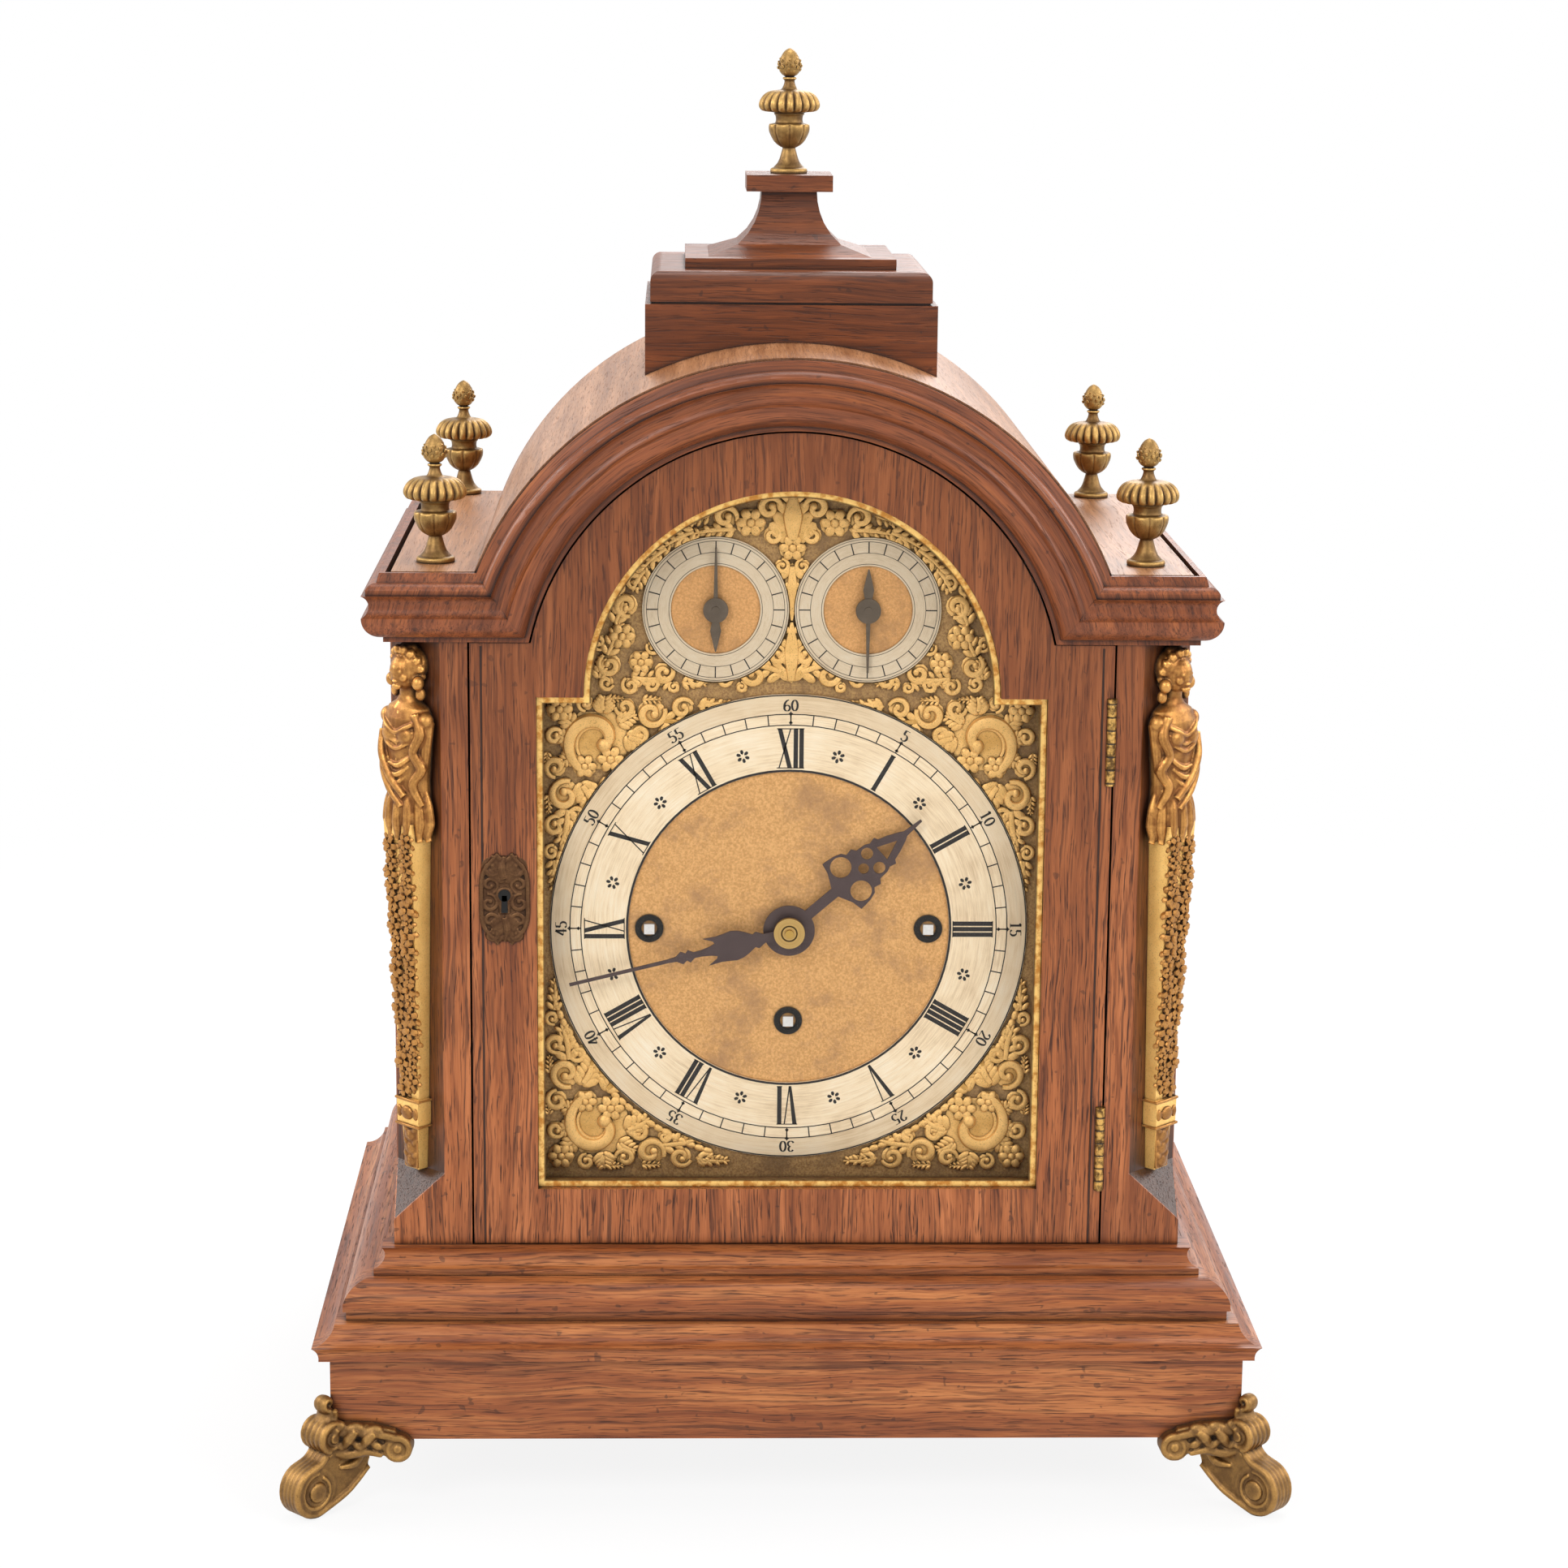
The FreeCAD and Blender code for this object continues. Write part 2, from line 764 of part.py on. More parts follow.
def hinge_groove(name, x, y, z_low):
    """The round seat of a hinge's knuckles, cut into both pieces beside the gap."""
    return rod(name, "z", "knuckle + knuckle_play", "hinge_long + 2 * fit", x, y, f"{z_low} - fit")


def door_grooves(name):
    return fuse(name, [hinge_groove(name + "_low", "hinge_x", "hinge_y", "hinge_low_z"),
                       hinge_groove(name + "_high", "hinge_x", "hinge_y", "hinge_high_z")])


def stile_blank(label, points):
    return slab(label, points, "base_top", "case_high")


def cant_tool(name, side_sign):
    """The 45 degree cut along the front corner, which dies out below in a long slope."""
    made = body(name)
    low = "base_top + cant_low"
    outer = f"{side_sign} * (case_half + cant)"
    corner = f"{side_sign} * (case_half - cant)"
    edge = f"{side_sign} * case_half"
    full = [(corner, "front_y"), (edge, "front_y + cant"), (outer, "front_y + cant"),
            (outer, "front_y - cant"), (corner, "front_y - cant")]
    tip = [(edge, "front_y - cant_tip"), (edge, "front_y"), (outer, "front_y"),
           (outer, "front_y - 2 * cant"), (edge, "front_y - 2 * cant")]
    prism = sketch_on(made, "XY_Plane", low)
    draw(prism, full)
    pad(made, prism, "case_high")
    slope_top = sketch_on(made, "XY_Plane", low)
    draw(slope_top, full)
    slope_foot = sketch_on(made, "XY_Plane", "base_top + cant_low - cant_tongue")
    draw(slope_foot, tip)
    slope = made.newObject("PartDesign::AdditiveLoft", name + "_slope")
    slope.Profile = slope_top
    slope.Sections = [slope_foot]
    slope.Ruled = True
    return made


def stiles():
    """The two front posts; the right one is also grooved for the hinges."""
    left = stile_blank("stile_left_blank", rectangle("-case_half", "front_y", "-opening_half",
                                                     "front_y + stile_deep"))
    keep = block("bolt_keep", "-opening_half - bolt_throw - 1", "bolt_y - fit",
                 "lock_z - bolt_high / 2 - fit", "-opening_half + 1", "bolt_y + bolt_deep + fit",
                 "lock_z + bolt_high / 2 + fit")
    cut("stile_left", left, fuse("stile_left_cuts", [cant_tool("cant_left", -1), keep]))
    right = stile_blank("stile_right_blank", rectangle("opening_half", "front_y", "case_half",
                                                       "front_y + stile_deep"))
    cut("stile_right", right, fuse("stile_right_cuts",
                                   [cant_tool("cant_right", 1), door_grooves("stile_grooves")]))


def front_arch():
    """The board above the door: its lower edge is the door's arch, its upper edge the roof's."""
    crown_z = "arch_z + arch_inner"
    points = [
        ("-case_half", "case_top"),
        ("-arch_foot_x", "case_top", "-arch_inner"),
        ("0", crown_z, "-arch_inner"),
        ("arch_foot_x", "case_top"),
        ("case_half", "case_top"),
        ("case_half", "shoulder_low"),
        ("roof_foot_in", "shoulder_low", "roof_inner"),
        ("0", "arch_z + roof_inner", "roof_inner"),
        ("-roof_foot_in", "shoulder_low"),
        ("-case_half", "shoulder_low"),
    ]
    return board("front_arch", points, "front_y", "stile_deep")


def rear_frame():
    """The back, with the opening of the rear door."""
    points = [
        ("-case_half", "base_top"),
        ("case_half", "base_top"),
        ("case_half", "shoulder_low"),
        ("roof_foot_in", "shoulder_low", "roof_inner"),
        ("0", "arch_z + roof_inner", "roof_inner"),
        ("-roof_foot_in", "shoulder_low"),
        ("-case_half", "shoulder_low"),
    ]
    opening = rectangle("-rear_opening", "rear_low", "rear_opening", "rear_high")
    frame = board("rear_frame_blank", points, "back_y - rear_thick", "rear_thick", [opening])
    low = hinge_groove("rear_groove_low", "rear_hinge_x", "rear_hinge_y", "rear_hinge_low_z")
    high = hinge_groove("rear_groove_high", "rear_hinge_x", "rear_hinge_y", "rear_hinge_high_z")
    screw = rod("rear_screw_hole", "y", "turn_screw + running", "rear_thick * 2",
                "-rear_opening - turn_wide", "back_y - rear_thick / 2",
                "(rear_low + rear_high) / 2")
    return cut("rear_frame", frame, fuse("rear_cuts", [low, high, screw]))


def cornice():
    """The straight cornice and the arch moulding, which share a section and meet in mitres."""
    run = moulding_run("cornice_run", CORNICE_PROFILE, "0", "case_top")
    arch_gap = [("-arch_foot_x", "case_top"), ("arch_foot_x", "case_top"),
                ("mitre_x", "cornice_top"), ("mitre_x", "cornice_top + fit"),
                ("-mitre_x", "cornice_top + fit"), ("-mitre_x", "cornice_top")]
    gap = sketch_on(run, "XZ_Plane", "-front_y + 2 * cornice_bead_high")
    draw(gap, arch_gap)
    pocket(run, gap, "2 * cornice_bead_high")
    arch = body("cornice_arch")
    section = sketch_on(arch, "YZ_Plane")
    outline = CORNICE_PROFILE + [("0", "cornice_high"), ("0", "0")]
    draw(section, flip([(f"front_y - ({point[0]})", f"arch_z + arch_inner + {point[1]}",
                         *point[2:]) for point in outline]))
    centre = sketch_on(arch, "YZ_Plane")
    centre.addGeometry(Part.LineSegment(FreeCAD.Vector(0, num("arch_z"), 0),
                                        FreeCAD.Vector(-1, num("arch_z"), 0)), False)
    place_point(centre, 0, 1, ("0", "arch_z"))
    place_point(centre, 0, 2, ("-1", "arch_z"))
    turn = arch.newObject("PartDesign::Revolution", "cornice_arch_turn")
    turn.Profile = section
    turn.ReferenceAxis = (centre, ["Edge1"])
    turn.Midplane = True
    turn.Angle = 170
    for name, sign in (("left", "-1"), ("right", "1")):
        under = [(f"{sign} * arch_foot_x", "case_top"), (f"{sign} * mitre_x", "cornice_top"),
                 (f"{sign} * case_half", "cornice_top"), (f"{sign} * case_half", "arch_z - 1"),
                 (f"{sign} * arch_foot_x", "arch_z - 1")]
        trim = sketch_on(arch, "XZ_Plane", "-front_y + 2 * cornice_bead_high")
        draw(trim, under)
        pocket(arch, trim, "3 * cornice_bead_high")
    return fuse("cornice", [run, arch])


def roof():
    """The barrel over the arch and the two flat boards beside it."""
    barrel_points = [
        ("roof_foot_in", "shoulder_low"),
        ("roof_foot_out", "shoulder_low", "roof_outer"),
        ("0", "arch_z + roof_outer", "roof_outer"),
        ("-roof_foot_out", "shoulder_low"),
        ("-roof_foot_in", "shoulder_low", "-roof_inner"),
        ("0", "arch_z + roof_inner", "-roof_inner"),
    ]
    barrel = board("roof_barrel", barrel_points, "front_y", "back_y - front_y")
    boards = [barrel]
    for name, sign in (("left", -1), ("right", 1)):
        ends = sorted([f"{sign} * (case_half - shoulder_inset)", f"{sign} * roof_foot_in"], key=num)
        plank = block(f"shoulder_{name}_blank", ends[0], "front_y + shoulder_inset",
                      "shoulder_low", ends[1], "back_y - shoulder_inset / 2", "cornice_top")
        barrel_space = rod(f"shoulder_{name}_space", "y", "roof_outer", "case_deep + 2", "0",
                           "front_y - 1", "arch_z")
        boards.append(cut(f"shoulder_{name}", plank, barrel_space))
    return group("roof_boards", boards)


def crown():
    """The square block that saddles the barrel, its rounded top, and the concave neck."""
    blank = block("crown_blank", "-crown_half", "crown_y - crown_half", "arch_z + roof_foot_in",
                  "crown_half", "crown_y + crown_half", "crown_top")
    saddle = cut("crown_saddle", blank, rod("crown_space", "y", "roof_outer", "case_deep", "0",
                                            "front_y", "arch_z"))
    joint = block("crown_joint", "-ovolo_half + 1", "crown_y - ovolo_half + 1", "crown_top",
                  "ovolo_half - 1", "crown_y + ovolo_half - 1", "crown_top + crown_joint")
    ovolo = block("crown_ovolo", "-ovolo_half", "crown_y - ovolo_half", "crown_top + crown_joint",
                  "ovolo_half", "crown_y + ovolo_half", "ovolo_top")
    ovolo.recompute()
    rounded = doc.addObject("Part::Fillet", "crown_rounded")
    rounded.Base = ovolo
    top = num("ovolo_top")
    rounded.Edges = [(index, num("ovolo_round"), num("ovolo_round"))
                     for index, edge in enumerate(ovolo.Shape.Edges, start=1)
                     if abs(edge.CenterOfMass.z - top) < 0.1]
    return fuse("crown_block", [saddle, joint, rounded])


def square_loft(label, half_low, half_high, z_low, z_high, steps):
    """A square pyramid frustum whose sides are hollowed by a quarter of an ellipse."""
    made = body(label)
    sections = []
    for index in range(steps + 1):
        part = f"{index} / {steps}"
        hollow = f"(({half_low}) - ({half_high})) * (1 - sqrt(1 - (1 - {part}) ^ 2))"
        half = f"{half_high} + {hollow}"
        layer = sketch_on(made, "XY_Plane", f"{z_low} + (({z_high}) - ({z_low})) * {part}")
        draw(layer, rectangle(f"-({half})", f"crown_y - ({half})", half, f"crown_y + ({half})"))
        sections.append(layer)
    loft = made.newObject("PartDesign::AdditiveLoft", label + "_loft")
    loft.Profile = sections[0]
    loft.Sections = sections[1:]
    loft.Ruled = True
    return made


def crown_neck():
    plate = block("neck_plate", "-bell_plate_wide / 2", "crown_y - bell_plate_wide / 2",
                  "ovolo_top", "bell_plate_wide / 2", "crown_y + bell_plate_wide / 2",
                  "bell_plate_top")
    neck = square_loft("neck_hollow", "bell_foot_wide / 2", "bell_neck_wide / 2",
                       "bell_plate_top", "bell_top", steps=6)
    cap = block("neck_cap", "-cap_wide / 2", "crown_y - cap_wide / 2", "bell_top", "cap_wide / 2",
                "crown_y + cap_wide / 2", "cap_top")
    return fuse("crown_neck", [plate, neck, cap])


def finial(label, x, y, z):
    """A turned finial: foot, stem, urn, collar, hanging bowl, neck and pine top."""
    stem_top = "finial_urn_low"
    urn_top = f"{stem_top} + finial_urn_high"
    collar_top = f"{urn_top} + finial_collar_high"
    bowl_top = f"{collar_top} + finial_bowl_high"
    neck_top = f"{bowl_top} + finial_neck_high"
    pine_top = f"{neck_top} + finial_pine_high"
    points = [
        ("0", "0"),
        ("finial_foot", "0"),
        ("finial_foot", "1.5", "-finial_foot_high * 1.2"),
        ("finial_stem", "finial_foot_high + 1.5"),
        ("finial_stem", stem_top, "finial_urn"),
        ("finial_urn", f"{urn_top} - 2"),
        ("finial_urn", urn_top),
        ("finial_collar", urn_top),
        ("finial_collar * 0.8", collar_top),
        ("finial_bowl", f"{collar_top} + 3", "finial_bowl"),
        ("finial_stem", bowl_top),
        ("finial_stem", neck_top, "finial_pine * 1.3"),
        ("finial_pine", f"{neck_top} + 6", "finial_pine_high"),
        ("1", pine_top),
        ("0", pine_top),
    ]
    return turned(label, points, x, y, z)


def finials():
    finial("finial_top", "0", "crown_y", "cap_top")
    for name, y in (("front", "front_y + finial_front"), ("back", "back_y - finial_back")):
        finial(f"finial_{name}_left", "-case_half + finial_side", y, "cornice_top")
        finial(f"finial_{name}_right", "case_half - finial_side", y, "cornice_top")


# Feet. Each is modelled at a plinth corner with +X and -Y pointing outwards, and turned about
# the vertical to its own corner; the plinth's own volume is cut out of it.


def scroll_roll(name, radius, wide, out, high):
    """A roll that crosses the corner's diagonal, out from the corner and up from the floor."""
    made = doc.addObject("Part::Cylinder", name)
    made.Placement.Rotation = FreeCAD.Rotation(FreeCAD.Vector(-1, 1, 0), 90)
    bind(made, Radius=radius, Height=wide,
         Placement__Base__x=f"(({out}) - ({wide}) / 2) * sqrt(0.5)",
         Placement__Base__y=f"(-({out}) - ({wide}) / 2) * sqrt(0.5)",
         Placement__Base__z=high)
    return made


def foot_arm(name):
    """The arm along the front of the plinth, with a volute at its end."""
    arm = body(name)
    points = [
        ("arm_scroll / 2", "arm_top", "arm_long * 1.5"),
        ("-arm_long", "arm_scroll_high + arm_scroll", "arm_scroll"),
        ("-arm_long", "arm_scroll_high - arm_scroll", "-arm_long * 0.6"),
        ("arm_scroll / 2", "arm_top - arm_thick - arm_proud"),
    ]
    sketch = sketch_on(arm, "XZ_Plane", "arm_proud - arm_deep")
    draw(sketch, points)
    pad(arm, sketch, "arm_deep")
    return arm


def foot_leg(name):
    """The leg between the plinth's underside and the big volute, on the diagonal."""
    leg = body(name)
    points = [
        ("-leg_in", "ear_high"),
        ("-leg_in", "leg_low"),
        ("volute_out", "-foot_flat", "volute"),
        ("volute_out + volute", "volute_high"),
        ("ear_out + ear * 0.7", "ear_high"),
    ]
    sketch = sketch_on(leg, "XZ_Plane", "-leg_thick / 2")
    draw(sketch, points)
    pad(leg, sketch, "leg_thick")
    leg.Placement.Rotation = FreeCAD.Rotation(FreeCAD.Vector(0, 0, 1), -45)
    return leg


def foot(label, quarter, x, y):
    """One scroll foot, turned by quarters of a turn from the front right corner."""
    side_arm = doc.addObject("Part::Mirroring", label + "_arm_side")
    side_arm.Source = foot_arm(label + "_arm_side_source")
    side_arm.Normal = FreeCAD.Vector(1, 1, 0)
    rolls = [
        scroll_roll(label + "_volute", "volute", "volute_wide", "volute_out", "volute_high"),
        scroll_roll(label + "_eye", "volute_eye", "volute_wide + eye_proud * 2", "volute_out",
                    "volute_high"),
        scroll_roll(label + "_ear", "ear", "volute_wide", "ear_out", "ear_high"),
        scroll_roll(label + "_curl", "curl", "leg_thick", "curl_out", "curl_high"),
    ]
    solid = fuse(label + "_solid", [foot_arm(label + "_arm_front"), side_arm,
                                    foot_leg(label + "_leg")] + rolls)
    corner = block(label + "_corner", "-plinth_half", "0", "foot_high", "0", "plinth_half",
                   "plinth_top")
    floor = block(label + "_floor", "-plinth_half", "-foot_high * 2", "-foot_high",
                  "foot_high * 2", "plinth_half", "0")
    seated = cut(label, solid, fuse(label + "_limits", [corner, floor]))
    seated.Placement.Rotation = FreeCAD.Rotation(FreeCAD.Vector(0, 0, 1), 90 * quarter)
    bind(seated, Placement__Base__x=x, Placement__Base__y=y)
    return seated


def feet():
    foot("foot_front_right", 0, "plinth_half", "-back_y")
    foot("foot_back_right", 1, "plinth_half", "back_y")
    foot("foot_back_left", 2, "-plinth_half", "back_y")
    foot("foot_front_left", 3, "-plinth_half", "-back_y")


# Corner figures: a draped figure that grows out of a tapering pillar, on the canted corner.


def figure(label, sign):
    term_top_z = "figure_low + term_high"
    drape_top = f"{term_top_z} + drapery_high"
    waist_top = f"{drape_top} + waist_high"
    bust_top = f"{waist_top} + bust_high"
    chin = "figure_top - hair - 2 * head + 1"
    points = [
        ("0", "figure_low"),
        ("term_foot * 0.6", "figure_low", "term_foot"),
        ("term_foot", "figure_low + term_foot"),
        ("term_top", term_top_z, "drapery * 1.5"),
        ("waist", drape_top, "-waist_high * 2"),
        ("waist", waist_top, "bust * 1.7"),
        ("figure_neck", bust_top),
        ("figure_neck", chin),
        ("0", chin),
    ]
    x = f"{sign} * (case_half - cant / 2 + figure_set * sqrt(0.5))"
    y = "front_y + cant / 2 - figure_set * sqrt(0.5)"
    trunk = turned(label + "_trunk", points, x, y)
    head = ball(label + "_head", "head", x, y, "figure_top - hair - head")
    bun = ball(label + "_bun", "hair", x, y, "figure_top - hair")
    behind = doc.addObject("Part::Box", label + "_behind")
    behind.Placement.Rotation = FreeCAD.Rotation(FreeCAD.Vector(0, 0, 1), 45 * sign)
    reach = "case_half * sqrt(0.125)"
    bind(behind, Length="case_half", Width="case_half", Height="case_top",
         Placement__Base__x=f"{sign} * (case_half - cant / 2) - {reach}",
         Placement__Base__y=f"front_y + cant / 2 - {sign} * {reach}",
         Placement__Base__z="base_top")
    return cut(label, fuse(label + "_round", [trunk, head, bun]), behind)


# Front door


def arched(half, low, shoulder, arch_radius, arch_half=None):
    """An outline with a square lower part and a half-round arch about the case's arch centre."""
    foot_x = arch_half or f"sqrt(({arch_radius}) ^ 2 - (({shoulder}) - arch_z) ^ 2)"
    return [
        (f"-({half})", low),
        (half, low),
        (half, shoulder),
        (foot_x, shoulder, arch_radius),
        ("0", f"arch_z + {arch_radius}", arch_radius),
        (f"-({foot_x})", shoulder),
        (f"-({half})", shoulder),
    ]


def sight(grow="0"):
    """The door's glazed opening, grown all round."""
    return arched(f"sight_half + {grow}", f"sight_low - ({grow})", f"sight_top + {grow}",
                  f"(sight_arch + {grow})")


def door_frame():
    """The arched frame, rebated for the glass and mortised for the lock."""
    outline = arched("door_half", "door_low", "door_shoulder", "door_arch")
    frame = board("door_frame_blank", outline, "front_y", "door_thick", [sight()])
    rebate = sketch_on(frame, "XZ_Plane", "-glass_y")
    draw(rebate, sight("glass_cover"))
    pocket(frame, rebate, "door_thick")
    mortise = block("lock_mortise", "-lock_x - lock_wide / 2 - fit", "lock_y - fit",
                    "lock_z - lock_high / 2 - fit", "-lock_x + lock_wide / 2 + fit",
                    "door_back + 1", "lock_z + lock_high / 2 + fit")
    slot = block("bolt_slot", "-door_half - 1", "bolt_y - fit", "lock_z - bolt_high / 2 - fit",
                 "-lock_x", "bolt_y + bolt_deep + fit", "lock_z + bolt_high / 2 + fit")
    hole = rod("key_hole", "y", "keyhole", "door_thick", "-lock_x", "front_y - 1", "lock_z")
    return cut("door_frame", frame, fuse("door_cuts", [mortise, slot, hole,
                                                       door_grooves("door_grooves")]))


def door_glass():
    return board("door_glass", sight("glass_cover - fit"), "glass_y", "glass_thick")


def door_bezel():
    """The gilt bead round the sight opening, in front of the glass."""
    return board("door_bezel", sight("-fit"), "glass_y - bezel_thick", "bezel_thick - 0.02",
                 [sight("-bezel_wide")])


def escutcheon():
    """The key plate: an upright shield with round shoulders and a waisted foot."""
    half = "escutcheon_wide / 2"
    middle = "lock_z"
    points = [
        ("-lock_x", f"{middle} - escutcheon_high / 2"),
        (f"-lock_x + {half} * 0.7", f"{middle} - escutcheon_high * 0.3", f"{half} * 2"),
        (f"-lock_x + {half}", middle, f"{half} * 2"),
        (f"-lock_x + {half} * 0.7", f"{middle} + escutcheon_high * 0.3"),
        ("-lock_x", f"{middle} + escutcheon_high / 2"),
        (f"-lock_x - {half} * 0.7", f"{middle} + escutcheon_high * 0.3", f"{half} * 2"),
        (f"-lock_x - {half}", middle, f"{half} * 2"),
        (f"-lock_x - {half} * 0.7", f"{middle} - escutcheon_high * 0.3"),
    ]
    plate = board("escutcheon", points, "front_y - escutcheon_thick", "escutcheon_thick")
    bore(plate, [("-lock_x", middle, "keyhole")], "front_y - escutcheon_thick",
         "escutcheon_thick")
    return plate


def lock():
    """The lock's case, open towards the door's edge, and the bolt that slides out of it."""
    case = block("lock_body", "-lock_x - lock_wide / 2", "lock_y", "lock_z - lock_high / 2",
                 "-lock_x + lock_wide / 2", "lock_y + lock_deep", "lock_z + lock_high / 2")
    way = block("lock_way", "-lock_x - lock_wide / 2 - 1", "bolt_y - fit / 2",
                "lock_z - bolt_high / 2 - fit / 2", "-lock_x + lock_wide / 2 - lock_wall",
                "bolt_y + bolt_deep + fit / 2", "lock_z + bolt_high / 2 + fit / 2")
    hole = rod("lock_key_hole", "y", "keyhole", "lock_deep / 2 + 1", "-lock_x", "lock_y - 1",
               "lock_z - bolt_high / 2 - 2 * keyhole")
    cut("lock_case", case, fuse("lock_cuts", [way, hole]))
    block("lock_bolt", "-door_half + fit", "bolt_y", "lock_z - bolt_high / 2",
          "-door_half + fit + bolt_long", "bolt_y + bolt_deep", "lock_z + bolt_high / 2")


# Hinges: five knuckles each, three on the fixed leaf and two on the door's leaf.


def hinge_leaf(name, x, y, z_low, inward, leaf_x, mine, pin):
    """One leaf: its plate, its own knuckles, and the pin if it carries it.

    inward is 1 where the leaf lies behind its knuckles and -1 where it lies in front.
    """
    pieces = []
    step = "hinge_long / 5"
    near = f"{y} + {inward} * (knuckle + knuckle_play + 0.3)"
    far = f"{y} + {inward} * leaf_deep"
    plate_ys = sorted([near, far], key=num)
    pieces.append(block(name + "_plate", leaf_x, plate_ys[0], z_low, f"{leaf_x} + leaf_thick",
                        plate_ys[1], f"{z_low} + hinge_long"))
    root_ys = sorted([y, near], key=num)
    for number in mine:
        low = f"{z_low} + {number} * {step} + fit / 2"
        tube = rod(f"{name}_knuckle_{number}", "z", "knuckle", f"{step} - fit", x, y, low)
        if not pin:
            hole = rod(f"{name}_bore_{number}", "z", "hinge_pin + running", step, x, y,
                       f"{low} - fit / 2")
            tube = cut(f"{name}_tube_{number}", tube, hole)
        pieces.append(tube)
        root = block(f"{name}_root_{number}", leaf_x, root_ys[0], low, f"{leaf_x} + leaf_thick",
                     root_ys[1], f"{low} + {step} - fit")
        if not pin:
            clear = rod(f"{name}_clear_{number}", "z", "hinge_pin + running", step, x, y,
                        f"{low} - fit / 2")
            root = cut(f"{name}_root_cut_{number}", root, clear)
        pieces.append(root)
    if pin:
        pieces.append(rod(name + "_pin", "z", "hinge_pin", "hinge_long", x, y, z_low))
    return fuse(name, pieces)


def hinges():
    fixed = []
    hung = []
    for name, low in (("low", "hinge_low_z"), ("high", "hinge_high_z")):
        fixed.append(hinge_leaf(f"front_fixed_{name}", "hinge_x", "hinge_y", low, 1,
                                "opening_half - leaf_thick", (0, 2, 4), True))
        hung.append(hinge_leaf(f"front_hung_{name}", "hinge_x", "hinge_y", low, 1,
                               "door_half", (1, 3), False))
    group("door_hinge_leaves", hung)
    rear_hung = []
    for name, low in (("low", "rear_hinge_low_z"), ("high", "rear_hinge_high_z")):
        fixed.append(hinge_leaf(f"rear_fixed_{name}", "rear_hinge_x", "rear_hinge_y", low, -1,
                                "rear_opening - leaf_thick", (0, 2, 4), True))
        rear_hung.append(hinge_leaf(f"rear_hung_{name}", "rear_hinge_x", "rear_hinge_y", low, -1,
                                    "rear_opening - door_gap", (1, 3), False))
    group("hinge_plates", fixed)
    return rear_hung


# Rear door


def rear_door(hung_leaves):
    """The glazed rear door with its hinge leaves, and the turn button that keeps it shut."""
    outer = rectangle("-rear_opening + door_gap", "rear_low + door_gap",
                      "rear_opening - door_gap", "rear_high - door_gap")
    inner = rectangle("-rear_opening + rear_rail", "rear_low + rear_rail",
                      "rear_opening - rear_rail", "rear_high - rear_rail")
    frame = board("rear_door_blank", outer, "back_y - rear_door_thick", "rear_door_thick", [inner])
    rebate = sketch_on(frame, "XZ_Plane", "-back_y + glass_back")
    draw(rebate, rectangle("-rear_opening + rear_rail - glass_cover",
                           "rear_low + rear_rail - glass_cover",
                           "rear_opening - rear_rail + glass_cover",
                           "rear_high - rear_rail + glass_cover"))
    pocket(frame, rebate, "rear_door_thick", backwards=True)
    grooves = [hinge_groove("rear_door_groove_low", "rear_hinge_x", "rear_hinge_y",
                            "rear_hinge_low_z"),
               hinge_groove("rear_door_groove_high", "rear_hinge_x", "rear_hinge_y",
                            "rear_hinge_high_z")]
    cut_frame = cut("rear_door_cut", frame, fuse("rear_door_cuts", grooves))
    group("rear_door_frame", [cut_frame] + hung_leaves)
    board("rear_door_glass",
          rectangle("-rear_opening + rear_rail - glass_cover + fit",
                    "rear_low + rear_rail - glass_cover + fit",
                    "rear_opening - rear_rail + glass_cover - fit",
                    "rear_high - rear_rail + glass_cover - fit"),
          "back_y - glass_back - glass_thick", "glass_thick")
    middle = "(rear_low + rear_high) / 2"
    turn_x = "-rear_opening - turn_wide"
    bar = block("turn_bar", f"{turn_x} - turn_wide / 2", "back_y + fit",
                f"{middle} - turn_long / 2", f"{turn_x} + turn_wide / 2",
                "back_y + fit + turn_thick", f"{middle} + turn_long / 2")
    screw = rod("turn_shank", "y", "turn_screw", "rear_thick / 2 + fit + turn_thick", turn_x,
                "back_y - rear_thick / 2", middle)
    fuse("rear_turn", [bar, screw])


# Dial


def ring(label, x, z, outer, inner, y_front, thick):
    """A flat ring in the front view."""
    made = body(label)
    sketch = sketch_on(made, "XZ_Plane", f"-({y_front}) - ({thick})")
    draw_circles(sketch, [(x, z, outer), (x, z, inner)])
    pad(made, sketch, thick)
    return made


def dial_mask():
    """The board behind the door that closes the case round the dial."""
    outline = arched("opening_half - fit", "base_top + fit", "case_top - fit", "(arch_inner - fit)")
    return board("dial_mask", outline, "mask_y", "mask_thick", [sight("bezel_wide / 2")])


def dial_plate():
    """The arched dial plate, with its holes and the posts that hold it to the movement."""
    outline = arched("dial_half", "dial_low", "dial_high", "dial_arch")
    plate = board("dial_sheet", outline, "dial_y", "dial_thick")
    bore(plate, [("0", "dial_z", "centre_hole"), ("0", "winding_z", "winding_hole"),
                 ("-winding_x", "dial_z", "winding_hole"), ("winding_x", "dial_z", "winding_hole"),
                 ("-subdial_x", "subdial_z", "arbor + running"),
                 ("subdial_x", "subdial_z", "arbor + running")], "dial_y", "dial_thick")
    posts = []
    for side_name, sign in (("left", "-"), ("right", "")):
        for level in ("low", "high"):
            posts.append(rod(f"dial_post_{level}_{side_name}", "y", "dial_post",
                             "front_plate_y - plate_thick - dial_y - dial_thick",
                             f"{sign}dial_post_x", "dial_y + dial_thick", f"dial_post_{level}"))
    return fuse("dial_plate", [plate] + posts)


